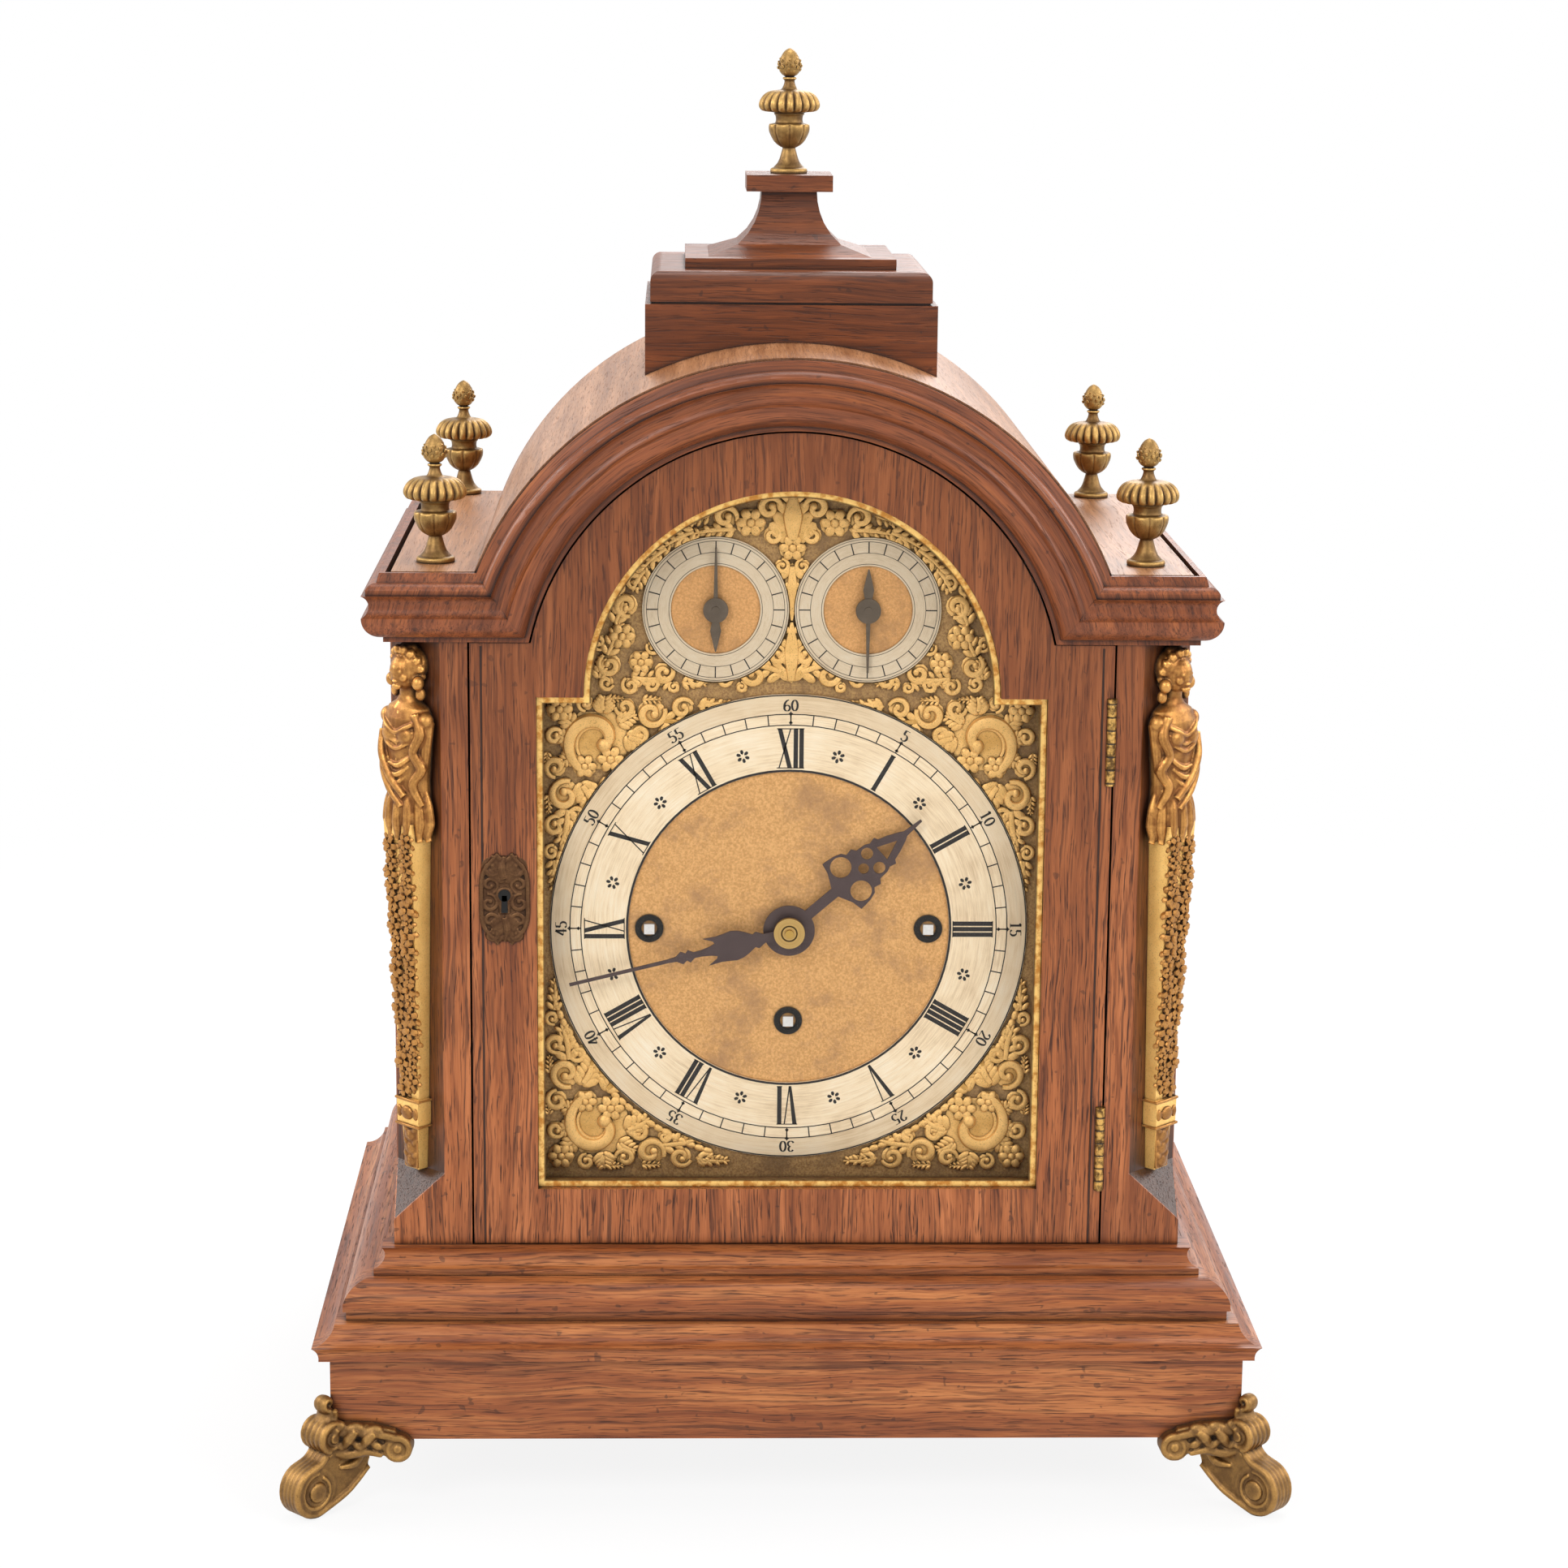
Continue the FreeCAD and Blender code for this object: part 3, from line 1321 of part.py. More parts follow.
def dial_rings():
    rings = [ring("chapter_ring", "0", "dial_z", "ring_outer", "ring_inner",
                  "dial_y - ring_thick", "ring_thick")]
    for name, sign in (("left", "-"), ("right", "")):
        rings.append(ring(f"subdial_ring_{name}", f"{sign}subdial_x", "subdial_z",
                          "subdial_outer", "subdial_inner", "dial_y - ring_thick", "ring_thick"))
    return group("dial_rings", rings)


def dial_mounts():
    """The corner mounts round the chapter ring and the mount between the two small dials."""
    curve = "(ring_outer + spandrel_margin)"
    reach = f"sqrt({curve} ^ 2 - spandrel_start ^ 2)"
    edge_x = "sight_half - spandrel_margin"
    edge_rise = f"sqrt({curve} ^ 2 - ({edge_x}) ^ 2)"
    upper = [
        ("spandrel_start", f"dial_z + {reach}", f"-{curve}"),
        (edge_x, f"dial_z + {edge_rise}"),
        (edge_x, "sight_top - spandrel_margin"),
        ("spandrel_start", "sight_top - spandrel_margin"),
    ]
    lower = [
        ("spandrel_start", "sight_low + spandrel_margin"),
        (edge_x, "sight_low + spandrel_margin"),
        (edge_x, f"dial_z - {edge_rise}", f"-{curve}"),
        ("spandrel_start", f"dial_z - {reach}"),
    ]
    y_front = "dial_y - spandrel_thick"
    mounts = []
    for name, points in (("upper", upper), ("lower", lower)):
        mounts.append(board(f"spandrel_{name}_right", points, y_front, "spandrel_thick"))
        mounts.append(board(f"spandrel_{name}_left", mirror_x(points), y_front, "spandrel_thick"))
    small_curve = "(subdial_outer + spandrel_margin / 2)"
    arch_curve = "(sight_arch - spandrel_margin)"
    top_x = "subdial_x * 1.25"
    top_z = f"arch_z + sqrt({arch_curve} ^ 2 - ({top_x}) ^ 2)"
    cusp = f"subdial_z + sqrt({small_curve} ^ 2 - subdial_x ^ 2)"
    between = [
        ("0", cusp, f"-{small_curve}"),
        ("subdial_x", f"subdial_z + {small_curve}"),
        (top_x, top_z, arch_curve),
        (f"-({top_x})", top_z),
        ("-subdial_x", f"subdial_z + {small_curve}", f"-{small_curve}"),
    ]
    mounts.append(board("arch_mount", between, y_front, "spandrel_thick"))
    return group("dial_mounts", mounts)


# Toothed wheels. A tooth stands on the direction given by turn, in degrees from +X towards +Z.


def toothed(label, teeth, pitch_radius, y, thick, x, z, turn, slim=0.2):
    """A toothed disc in the front view, with straight-sided teeth thin enough to run freely."""
    count = int(num(teeth))
    pitch = num(pitch_radius)
    module = 2 * pitch / count
    tooth = 2 * math.pi / count
    root, tip = pitch - 1.25 * module, pitch + 0.85 * module
    corners = []
    for index in range(count):
        middle = math.radians(turn) + index * tooth
        for radius, share in ((root, -slim * 1.4), (tip, -slim * 0.45), (tip, slim * 0.45),
                              (root, slim * 1.4)):
            angle = middle + share * tooth
            corners.append(FreeCAD.Vector(radius * math.cos(angle), 0, radius * math.sin(angle)))
    face = Part.Face(Part.makePolygon(corners + corners[:1]))
    made = doc.addObject("Part::Feature", label)
    made.Label = label
    made.Shape = face.extrude(FreeCAD.Vector(0, num(thick), 0))
    made.Placement.Base = FreeCAD.Vector(num(x), num(y), num(z))
    return made


def meshing_turn(teeth, direction):
    """The turn of a pinion whose gap faces the wheel tooth that points along direction."""
    return direction + 180 + 180 / num(teeth)


# Hands. Each is drawn pointing up about its own axis, then set to its hour.


def pointer(label, right_side, y_front, x, z, clockwise, circles=(), holes=()):
    """A symmetrical hand from the points of its right side, bottom to top, and its piercings."""
    made = body(label)
    left_side = []
    for index in range(len(right_side) - 1, -1, -1):
        point = right_side[index]
        turn = right_side[index - 1][2:] if index else ()
        if point[0] != "0":
            left_side.append((f"-({point[0]})", point[1]) + turn)
    sketch = sketch_on(made, "XZ_Plane", f"-({y_front}) - hand_thick")
    draw(sketch, right_side + left_side)
    for hole in holes:
        draw(sketch, hole)
    draw_circles(sketch, circles)
    pad(made, sketch, "hand_thick")
    made.Placement.Rotation = FreeCAD.Rotation(FreeCAD.Vector(0, 1, 0), clockwise)
    bind(made, Placement__Base__x=x, Placement__Base__z=z)
    return made


def shares(long, points):
    """Points given in hundredths of a hand's length, as expressions on its size."""
    return [tuple(f"{long} * {share / 100}" for share in point) for point in points]


def hour_hand():
    """The pierced hour hand on its pipe, with the hour wheel behind the dial."""
    hand_y = "dial_y - hour_plane - hand_thick"
    triangle = shares("hour_hand_long", HOUR_TRIANGLE)
    blade = pointer("hour_blade", shares("hour_hand_long", HOUR_SIDE), hand_y, "0", "dial_z",
                    HOUR_ANGLE, shares("hour_hand_long", HOUR_CIRCLES), [triangle])
    boss = rod("hour_boss_disc", "y", "hour_boss", "hand_thick", "0", hand_y, "dial_z")
    pipe = rod("hour_pipe", "y", "pipe", f"hour_wheel_y - ({hand_y})", "0", hand_y, "dial_z")
    wheel = toothed("hour_wheel", "hour_teeth", HOUR_PITCH, "hour_wheel_y", "wheel_thick", "0",
                    "dial_z", MOTION_DIRECTION)
    solid = fuse("hour_hand_solid", [blade, boss, pipe, wheel])
    hole_y = f"{hand_y} - hand_thick"
    hole = rod("hour_hand_hole", "y", "cannon + running", f"front_plate_y - ({hole_y})", "0",
               hole_y, "dial_z")
    return cut("hour_hand", solid, hole)


def minute_hand():
    """The long hand on the cannon, its collet in front, and the cannon wheel behind the dial."""
    hand_y = "dial_y - minute_plane - hand_thick"
    blade = pointer("minute_blade", shares("minute_hand_long", MINUTE_SIDE), hand_y, "0",
                    "dial_z", MINUTE_ANGLE)
    collet = rod("minute_collet", "y", "collet", "hand_thick * 3.5", "0",
                 f"{hand_y} - hand_thick * 2.5", "dial_z")
    tube = rod("cannon_tube", "y", "cannon", f"motion_y - ({hand_y})", "0", hand_y, "dial_z")
    wheel = toothed("cannon_wheel", "motion_teeth", "motion_away / 2", "motion_y", "wheel_thick",
                    "0", "dial_z", MOTION_DIRECTION)
    solid = fuse("minute_hand_solid", [blade, collet, tube, wheel])
    hole_y = f"{hand_y} - hand_thick * 4"
    hole = rod("minute_hand_hole", "y", "arbor + running", f"front_plate_y - ({hole_y})", "0",
               hole_y, "dial_z")
    return cut("minute_hand", solid, hole)


def motion_wheel():
    """The wheel and pinion that take the minute hand's turn to the hour hand at one twelfth."""
    wheel = toothed("minute_wheel", "motion_teeth", "motion_away / 2", "motion_y", "wheel_thick",
                    "motion_x", "motion_z", meshing_turn("motion_teeth", MOTION_DIRECTION))
    pinion = toothed("minute_pinion", "motion_pinion_teeth",
                     "motion_away - (" + HOUR_PITCH + ")", "hour_wheel_y - wheel_thick / 2",
                     "wheel_thick * 2 + 2", "motion_x", "motion_z",
                     meshing_turn("motion_pinion_teeth", MOTION_DIRECTION))
    hole = rod("motion_hole", "y", "pivot / 2 + running", "3 * hour_plane", "motion_x",
               "hour_wheel_y - 3", "motion_z")
    return cut("motion_wheel", fuse("motion_solid", [wheel, pinion]), hole)


def selector_hands():
    """The two small hands in the arch, each on its own short arbor through the dial."""
    hand_y = "dial_y - selector_plane - hand_thick"
    for name, sign, angle in (("left", "-", SELECTOR_LEFT_ANGLE), ("right", "", SELECTOR_RIGHT_ANGLE)):
        blade = pointer(f"selector_{name}_blade", [
            ("0.3", "-selector_tail"),
            ("2.6", "-selector_tail * 0.5"),
            ("1.8", "-selector_tail * 0.3"),
            ("1", "selector_boss"),
            ("0.5", "selector_long"),
        ], hand_y, f"{sign}subdial_x", "subdial_z", angle)
        boss = rod(f"selector_{name}_boss", "y", "selector_boss", "hand_thick * 1.5",
                   f"{sign}subdial_x", f"{hand_y} - hand_thick / 2", "subdial_z")
        arbor = rod(f"selector_{name}_arbor", "y", "arbor", "selector_plane + hand_thick * 2 + 8",
                    f"{sign}subdial_x", f"{hand_y} - hand_thick", "subdial_z")
        fuse(f"selector_{name}", [blade, boss, arbor])


# Movement


def seatboard():
    return block("seatboard", "-case_half + side_thick + fit", "front_plate_y - plate_thick - 10",
                 "seat_top - seat_thick", "case_half - side_thick - fit",
                 "back_plate_y + plate_thick + 1", "seat_top")


BARRELS = {
    "going": ("-barrel_going_x", "barrel_going_z"),
    "strike": ("-barrel_side_x", "barrel_side_z"),
    "chime": ("barrel_side_x", "barrel_side_z"),
}
FUSEES = {
    "going": ("0", "winding_z"),
    "strike": ("-winding_x", "dial_z"),
    "chime": ("winding_x", "dial_z"),
}


def plate_holes(front):
    """The arbors' holes in one plate: winding arbors pass the front plate, pivots the back."""
    big = "winding_arbor + running"
    small = "pivot + running"
    holes = [(x, z, big if front else small) for x, z in FUSEES.values()]
    holes += [("0", "dial_z", "arbor + running" if front else small),
              ("0", "third_z", small), ("0", "escape_z", small),
              ("0", "anchor_z", small if front else "winding_arbor")]
    return holes


def plate_front():
    """The front plate, with the stud that the motion wheel turns on."""
    plate = board("plate_front_sheet", rectangle("-plate_half", "plate_low", "plate_half",
                                                 "plate_top"), "front_plate_y - plate_thick",
                  "plate_thick")
    bore(plate, plate_holes(True), "front_plate_y - plate_thick", "plate_thick")
    stud = rod("motion_stud", "y", "pivot / 2", "front_plate_y - plate_thick / 2 - hour_wheel_y + 2",
               "motion_x", "hour_wheel_y - 2", "motion_z")
    return fuse("plate_front", [plate, stud])


def plate_back():
    """The back plate with its pillars, barrel arbors, pendulum cock and the bells' posts."""
    plate = board("plate_back_sheet", rectangle("-plate_half", "plate_low", "plate_half",
                                                "plate_top"), "back_plate_y", "plate_thick")
    bore(plate, plate_holes(False), "back_plate_y", "plate_thick")
    between = "back_plate_y - front_plate_y"
    pieces = [plate]
    for level, z in (("low", "plate_low + pillar_in"), ("high", "plate_top - pillar_in")):
        for name, sign in (("left", "-"), ("right", "")):
            pieces.append(rod(f"pillar_{level}_{name}", "y", "pillar", between,
                              f"{sign}(plate_half - pillar_in)", "front_plate_y", z))
    for name, (x, z) in BARRELS.items():
        pieces.append(rod(f"barrel_arbor_{name}", "y", "winding_arbor", between, x,
                          "front_plate_y", z))
    pieces += pendulum_cock()
    for name, sign in (("left", "-"), ("right", "")):
        middle = f"{sign}(plate_half - pillar_in - pillar)"
        pieces.append(block(f"bell_post_{name}", f"{middle} - 2", "bell_y - 2 * bell_rod",
                            "plate_top - 1", f"{middle} + 2", "bell_y + 2 * bell_rod",
                            "bell_z + 2 * bell_rod"))
        bar = block(f"hammer_bar_{name}", f"{middle} - 2", "front_plate_y",
                    "plate_top - plate_thick", f"{middle} + 2", "back_plate_y + 1", "plate_top")
        ear = block(f"hammer_ear_{name}", f"{middle} - 2", "hammer_y - 4", "plate_top - 1",
                    f"{middle} + 2", "hammer_y + 4", "hammer_z + 4")
        pieces += [bar, ear]
    hammer_hole = rod("hammer_hole", "x", "hammer_rod + running", "2 * plate_half", "-plate_half",
                      "hammer_y", "hammer_z")
    bell_hole = rod("bell_rod_hole", "x", "bell_rod", "2 * plate_half", "-plate_half",
                    "bell_y", "bell_z")
    return cut("plate_back", fuse("plate_back_solid", pieces),
               fuse("plate_back_holes", [hammer_hole, bell_hole]))


def pendulum_cock():
    """The bridge behind the back plate that holds the pendulum arbor's rear pivot."""
    back = "back_plate_y + plate_thick"
    bridge = block("cock_bridge", "-cock_half", f"{back} + cock_out - plate_thick",
                   "anchor_z - cock_high / 2", "cock_half", f"{back} + cock_out",
                   "anchor_z + cock_high / 2")
    drilled = cut("cock_drilled", bridge, rod("cock_hole", "y", "pivot + running", "cock_out + 2",
                                              "0", back, "anchor_z"))
    legs = [block(f"cock_leg_{name}", f"{low}", f"{back} - 1", "anchor_z - cock_high / 2", f"{high}",
                  f"{back} + cock_out", "anchor_z + cock_high / 2")
            for name, low, high in (("left", "-cock_half", "-cock_half + plate_thick"),
                                    ("right", "cock_half - plate_thick", "cock_half"))]
    return [drilled] + legs


def fusee(name, wheel_radius, teeth, turn):
    """A winding arbor with its square, its tapering fusee and its great wheel."""
    x, z = FUSEES[name]
    label = f"fusee_{name}"
    square = block(label + "_square", f"{x} - winding_square / 2", "dial_y - ring_thick * 2",
                   f"{z} - winding_square / 2", f"{x} + winding_square / 2",
                   "front_plate_y - plate_thick - 2", f"{z} + winding_square / 2")
    arbor = rod(label + "_arbor", "y", "winding_arbor",
                "great_y - front_plate_y + plate_thick + 2", x,
                "front_plate_y - plate_thick - 2", z)
    taper = cone(label + "_cone", "y", "fusee_small", "fusee_large", "fusee_long", x,
                 "fusee_y - fusee_long", z)
    rear = rod(label + "_rear", "y", "winding_arbor", "back_plate_y - fusee_y - 1", x,
               "fusee_y", z)
    pivot = rod(label + "_pivot", "y", "pivot", "back_plate_y - great_y + plate_thick", x,
                "great_y", z)
    wheel = toothed(label + "_wheel", teeth, wheel_radius, "great_y", "wheel_thick", x, z, turn)
    return fuse(label, [square, arbor, taper, rear, pivot, wheel])


def barrel(name):
    """A spring barrel, hollow, that turns on its fixed arbor."""
    x, z = BARRELS[name]
    label = f"barrel_{name}"
    drum = rod(label + "_drum", "y", "barrel", "barrel_long", x, "barrel_y", z)
    hollow = rod(label + "_hollow", "y", "barrel - barrel_wall", "barrel_long - 2 * barrel_wall",
                 x, "barrel_y + barrel_wall", z)
    hole = rod(label + "_hole", "y", "winding_arbor + running", "barrel_long + 2", x,
               "barrel_y - 1", z)
    return cut(label, drum, fuse(label + "_inside", [hollow, hole]))


def arbor_between(label, x, z, radius):
    """An arbor between the plates, with a pivot in each."""
    middle = rod(label + "_body", "y", radius, "back_plate_y - front_plate_y - 2", x,
                 "front_plate_y + 1", z)
    pivots = rod(label + "_pivots", "y", "pivot", "back_plate_y - front_plate_y + 2 * plate_thick",
                 x, "front_plate_y - plate_thick", z)
    return [middle, pivots]


def going_train():
    """The centre, third and escape wheels, each with the pinion that drives it."""
    up = 90
    centre = [
        rod("centre_front", "y", "arbor", "back_plate_y - 1 - dial_y + minute_plane + 5", "0",
            "dial_y - minute_plane - 5", "dial_z"),
        rod("centre_pivot", "y", "pivot", "plate_thick + 1", "0", "back_plate_y - 1", "dial_z"),
        toothed("centre_pinion", "centre_pinion_teeth", "winding_drop - (" + GREAT_PITCH + ")",
                "great_y - wheel_thick", "3 * wheel_thick", "0", "dial_z",
                meshing_turn("centre_pinion_teeth", up)),
        toothed("centre_wheel_disc", "centre_teeth", CENTRE_PITCH, "centre_wheel_y",
                "wheel_thick", "0", "dial_z", up),
    ]
    fuse("centre_wheel", centre)
    third = arbor_between("third_arbor", "0", "third_z", "arbor") + [
        toothed("third_pinion", "third_pinion_teeth", "centre_away - (" + CENTRE_PITCH + ")",
                "centre_wheel_y - wheel_thick", "3 * wheel_thick", "0", "third_z",
                meshing_turn("third_pinion_teeth", up)),
        toothed("third_wheel_disc", "third_teeth", THIRD_PITCH, "third_wheel_y", "wheel_thick",
                "0", "third_z", up),
    ]
    fuse("third_wheel", third)
    escape = arbor_between("escape_arbor", "0", "escape_z", "pivot") + [
        toothed("escape_pinion", "escape_pinion_teeth", "third_away - (" + THIRD_PITCH + ")",
                "third_wheel_y - wheel_thick", "3 * wheel_thick", "0", "escape_z",
                meshing_turn("escape_pinion_teeth", up)),
        toothed("escape_wheel_disc", "escape_teeth", "escape_radius", "escape_wheel_y",
                "wheel_thick", "0", "escape_z", up, slim=0.1),
    ]
    fuse("escape_wheel", escape)


def pendulum():
    """The anchor, its arbor, the pendulum rod and the bob, which swing together."""
    anchor = body("anchor")
    sketch = sketch_on(anchor, "XZ_Plane", "-escape_wheel_y - wheel_thick")
    drop = "anchor_away"
    points = [
        ("0", f"anchor_z - {drop} * 0.12"),
        (f"{drop} * 0.44", f"anchor_z - {drop} * 0.2"),
        (f"{drop} * 0.48", f"anchor_z - {drop} * 0.4"),
        (f"{drop} * 0.56", f"anchor_z - {drop} * 0.4"),
        (f"{drop} * 0.6", f"anchor_z - {drop} * 0.15"),
        ("arbor * 2", "anchor_z + arbor * 2"),
    ]
    draw(sketch, points + mirror_x(points)[:-1])
    pad(anchor, sketch, "wheel_thick")
    low = "anchor_z - pendulum_long"
    pieces = [
        anchor,
        rod("pallet_arbor", "y", "pivot", "back_plate_y + 2 * plate_thick - front_plate_y"
            " + cock_out - 1", "0", "front_plate_y - plate_thick", "anchor_z"),
        block("pendulum_rod", "-rod_wide / 2", "pendulum_y - rod_thick / 2", low, "rod_wide / 2",
              "pendulum_y + rod_thick / 2", "anchor_z + 4"),
        rod("pendulum_bob", "y", "bob", "bob_thick", "0", "pendulum_y - bob_thick / 2", low),
        rod("rating_nut", "z", "rod_wide", "6", "0", "pendulum_y", f"{low} - bob - 7"),
        rod("rating_screw", "z", "rod_wide / 3", "12", "0", "pendulum_y", f"{low} - bob - 8"),
    ]
    return fuse("pendulum", pieces)


def bells():
    """Eight nested bells on one rod."""
    pieces = [rod("bells_rod", "x", "bell_rod", "2 * (plate_half - pillar_in - pillar) + 4",
                  "-(plate_half - pillar_in - pillar) - 2", "bell_y", "bell_z")]
    for number in range(BELL_COUNT):
        radius = bell_radius(number)
        x = bell_x(number)
        outer = ball(f"bell_{number}_outer", radius, x, "bell_y", "bell_z")
        outer.Angle2 = 0
        outer.Placement.Rotation = AXIS_TURNS["x"]
        inner = ball(f"bell_{number}_inner", f"{radius} - bell_wall", x, "bell_y", "bell_z")
        hole = rod(f"bell_{number}_hole", "x", "bell_rod + running", f"2 * ({radius})",
                   f"{x} - ({radius}) * 1.5", "bell_y", "bell_z")
        pieces.append(cut(f"bell_{number}", outer, fuse(f"bell_{number}_inside", [inner, hole])))
    return group("bells", pieces)


def bell_radius(number):
    return f"(bell_first - (bell_first - bell_last) * {number} / {BELL_COUNT - 1})"


def bell_x(number):
    return f"(-bell_pitch * {(BELL_COUNT - 1) / 2} + bell_first / 3 + bell_pitch * {number})"


def chime_hammers():
    """Eight hammers on one arbor in front of the bells."""
    half = "plate_half - pillar_in - pillar + 2"
    pieces = [rod("hammer_arbor", "x", "hammer_rod", f"2 * ({half})", f"-({half})", "hammer_y",
                  "hammer_z")]
    for number in range(BELL_COUNT):
        x = f"{bell_x(number)} - hammer_head"
        pieces.append(rod(f"hammer_stem_{number}", "z", "hammer_rod / 1.5", "bell_z - hammer_z",
                          x, "hammer_y", "hammer_z"))
        near = f"bell_y - {bell_radius(number)} - 2"
        pieces.append(rod(f"hammer_head_{number}", "y", "hammer_head",
                          f"({near}) - hammer_y + hammer_head", x, "hammer_y - hammer_head",
                          "bell_z"))
    return fuse("chime_hammers", pieces)


def build():
    fill_sheet()
    plinth()
    base_moulding()
    bottom_board()
    side("side_left", "-case_half")
    side("side_right", "case_half - side_thick")
    stiles()
    front_arch()
    rear_frame()
    cornice()
    roof()
    crown()
    crown_neck()
    finials()
    feet()
    figure("figure_left", -1)
    figure("figure_right", 1)
    dial_mask()
    dial_plate()
    dial_rings()
    dial_mounts()
    door_frame()
    door_glass()
    door_bezel()
    escutcheon()
    lock()
    rear_door(hinges())
    hour_hand()
    minute_hand()
    motion_wheel()
    selector_hands()
    seatboard()
    plate_front()
    plate_back()
    fusee("going", GREAT_PITCH, "great_teeth", 90)
    fusee("strike", "fusee_wheel", "centre_teeth", 90)
    fusee("chime", "fusee_wheel", "centre_teeth", 90)
    for name in BARRELS:
        barrel(name)
    going_train()
    pendulum()
    bells()
    chime_hammers()
    doc.recompute()


def export():
    """Checks every object and every node's shape, then writes one file for each node."""
    for thing in doc.Objects:
        if {"Invalid", "Error"} & set(thing.State):
            raise ValueError(f"{thing.Label} failed to build")
    shapes = {}
    for label in NODES:
        shape = doc.getObjectsByLabel(label)[0].Shape
        if shape.isNull() or not shape.isValid():
            raise ValueError(f"{label} has no valid shape")
        shapes[label] = shape
    os.makedirs("parts", exist_ok=True)
    for label, shape in shapes.items():
        shape.exportStep(f"parts/{label}.step")
        print(f"{label}: {len(shape.Solids)} solids, {shape.Volume / 1000:.1f} cm3")


build()
export()
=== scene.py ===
import json
import math

import bmesh
import bpy
from mathutils import Matrix, Vector

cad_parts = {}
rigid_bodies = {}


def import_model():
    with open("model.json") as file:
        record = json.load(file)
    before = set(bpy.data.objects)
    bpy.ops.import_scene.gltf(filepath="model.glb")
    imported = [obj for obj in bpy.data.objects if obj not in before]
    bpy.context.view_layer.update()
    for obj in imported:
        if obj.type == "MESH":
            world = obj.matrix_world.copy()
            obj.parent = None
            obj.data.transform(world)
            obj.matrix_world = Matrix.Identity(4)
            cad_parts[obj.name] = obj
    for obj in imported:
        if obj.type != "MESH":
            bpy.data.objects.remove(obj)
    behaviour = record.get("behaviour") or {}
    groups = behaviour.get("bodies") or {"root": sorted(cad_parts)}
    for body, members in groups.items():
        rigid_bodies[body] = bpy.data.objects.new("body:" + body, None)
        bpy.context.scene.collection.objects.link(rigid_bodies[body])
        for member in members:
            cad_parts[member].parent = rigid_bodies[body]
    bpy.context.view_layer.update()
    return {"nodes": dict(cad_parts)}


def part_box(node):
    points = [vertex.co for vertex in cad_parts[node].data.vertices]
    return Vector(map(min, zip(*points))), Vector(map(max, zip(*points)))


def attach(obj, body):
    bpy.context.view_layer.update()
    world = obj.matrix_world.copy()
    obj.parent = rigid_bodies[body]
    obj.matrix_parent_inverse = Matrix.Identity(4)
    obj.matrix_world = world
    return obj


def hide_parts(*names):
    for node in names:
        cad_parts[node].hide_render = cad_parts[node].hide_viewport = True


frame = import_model()

# The looks of the bracket clock: oak case, gilt mounts, silvered and matted dial, dark hands.
# Lengths in this file are in millimetres, and a mesh is turned into metres where it is finished.

MM = 0.001
SHARP = math.radians(38)
GOLDEN_ANGLE = math.radians(137.508)


def span(node):
    """The lowest and highest corners of a CAD node, in millimetres."""
    low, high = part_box(node)
    return low / MM, high / MM


# Places taken from the frame
CASE_HALF = span("stile_right")[1].x
FRONT_Y = span("stile_right")[0].y
PLINTH_HIGH = span("plinth")[1]
PLINTH_HALF = PLINTH_HIGH.x
BACK_Y = span("side_right")[1].y
RINGS_Y = span("dial_rings")[0].y
DIAL_Y = span("dial_plate")[0].y
ESCUTCHEON_LOW, ESCUTCHEON_HIGH = span("escutcheon")

# Sizes of the clock that no node's box gives
DIAL_Z = 277
ARCH_Z = 395
SIGHT_HALF = 121.4
SIGHT_LOW = 152
SIGHT_ARCH = 99
BEZEL_WIDE = 3.5
RING_OUTER = 116
RING_INNER = 78
SUBDIAL_X = 36.4
SUBDIAL_Z = 434
SUBDIAL_OUTER = 35
SUBDIAL_INNER = 21.4
WINDING_X = 67.8
WINDING_DROP = 46.4
WINDING_HOLE = 6.5
CANT = 25.2
STOP_HIGH = 160
DOOR_BEAD = 147.2
BEAD_HIGH = 420
FIGURE_SET = 5
WAIST_SHARE = 0.665
GARLAND_STATIONS = 38
FINIAL_HIGH = 61.9
MOUNT_PROUD = 1.4
MOUNT_CLEAR = 1.2
KNUCKLE_LONG = 6.4
COLLET_RADIUS = 7.6
COLLET_DEEP = 15.7
WINDING_DEEP = 45

# Circles of the chapter ring and of the small dials, and the figures that stand on them
NUMERAL_LOW, NUMERAL_HIGH = 79.7, 99.4
TRACK_INNER, TRACK_OUTER = 101.0, 106.3
ARROW_CIRCLE = 104.2
STAR_CIRCLE = 88.5
MINUTE_LOW, MINUTE_HIGH = 107.8, 5.6
SMALL_TRACK_INNER, SMALL_TRACK_OUTER = 27.6, 33.0
MARK_THICK = 0.08
LETTER_WIDE = {"I": 2.75, "V": 7.6, "X": 7.8}
DIGIT_WIDE = 0.66
THICK, THIN, SERIF = 2.15, 0.6, 0.45
PEN_THIN, PEN_THICK = 0.3, 1.05

# The studio
CAMERA_PLACE = (-54.6, -1833.5, 725.1)
CAMERA_LENS = 84.29
CAMERA_PITCH, CAMERA_YAW, CAMERA_ROLL = 12.27, 1.71, 0.55
AIM = (0, 0, 330)
FLOOR_HALF = 6000
WORLD_STRENGTH = 0.38
RAYS = ("Is Camera Ray", "Is Glossy Ray", "Is Transmission Ray")


# Node maths


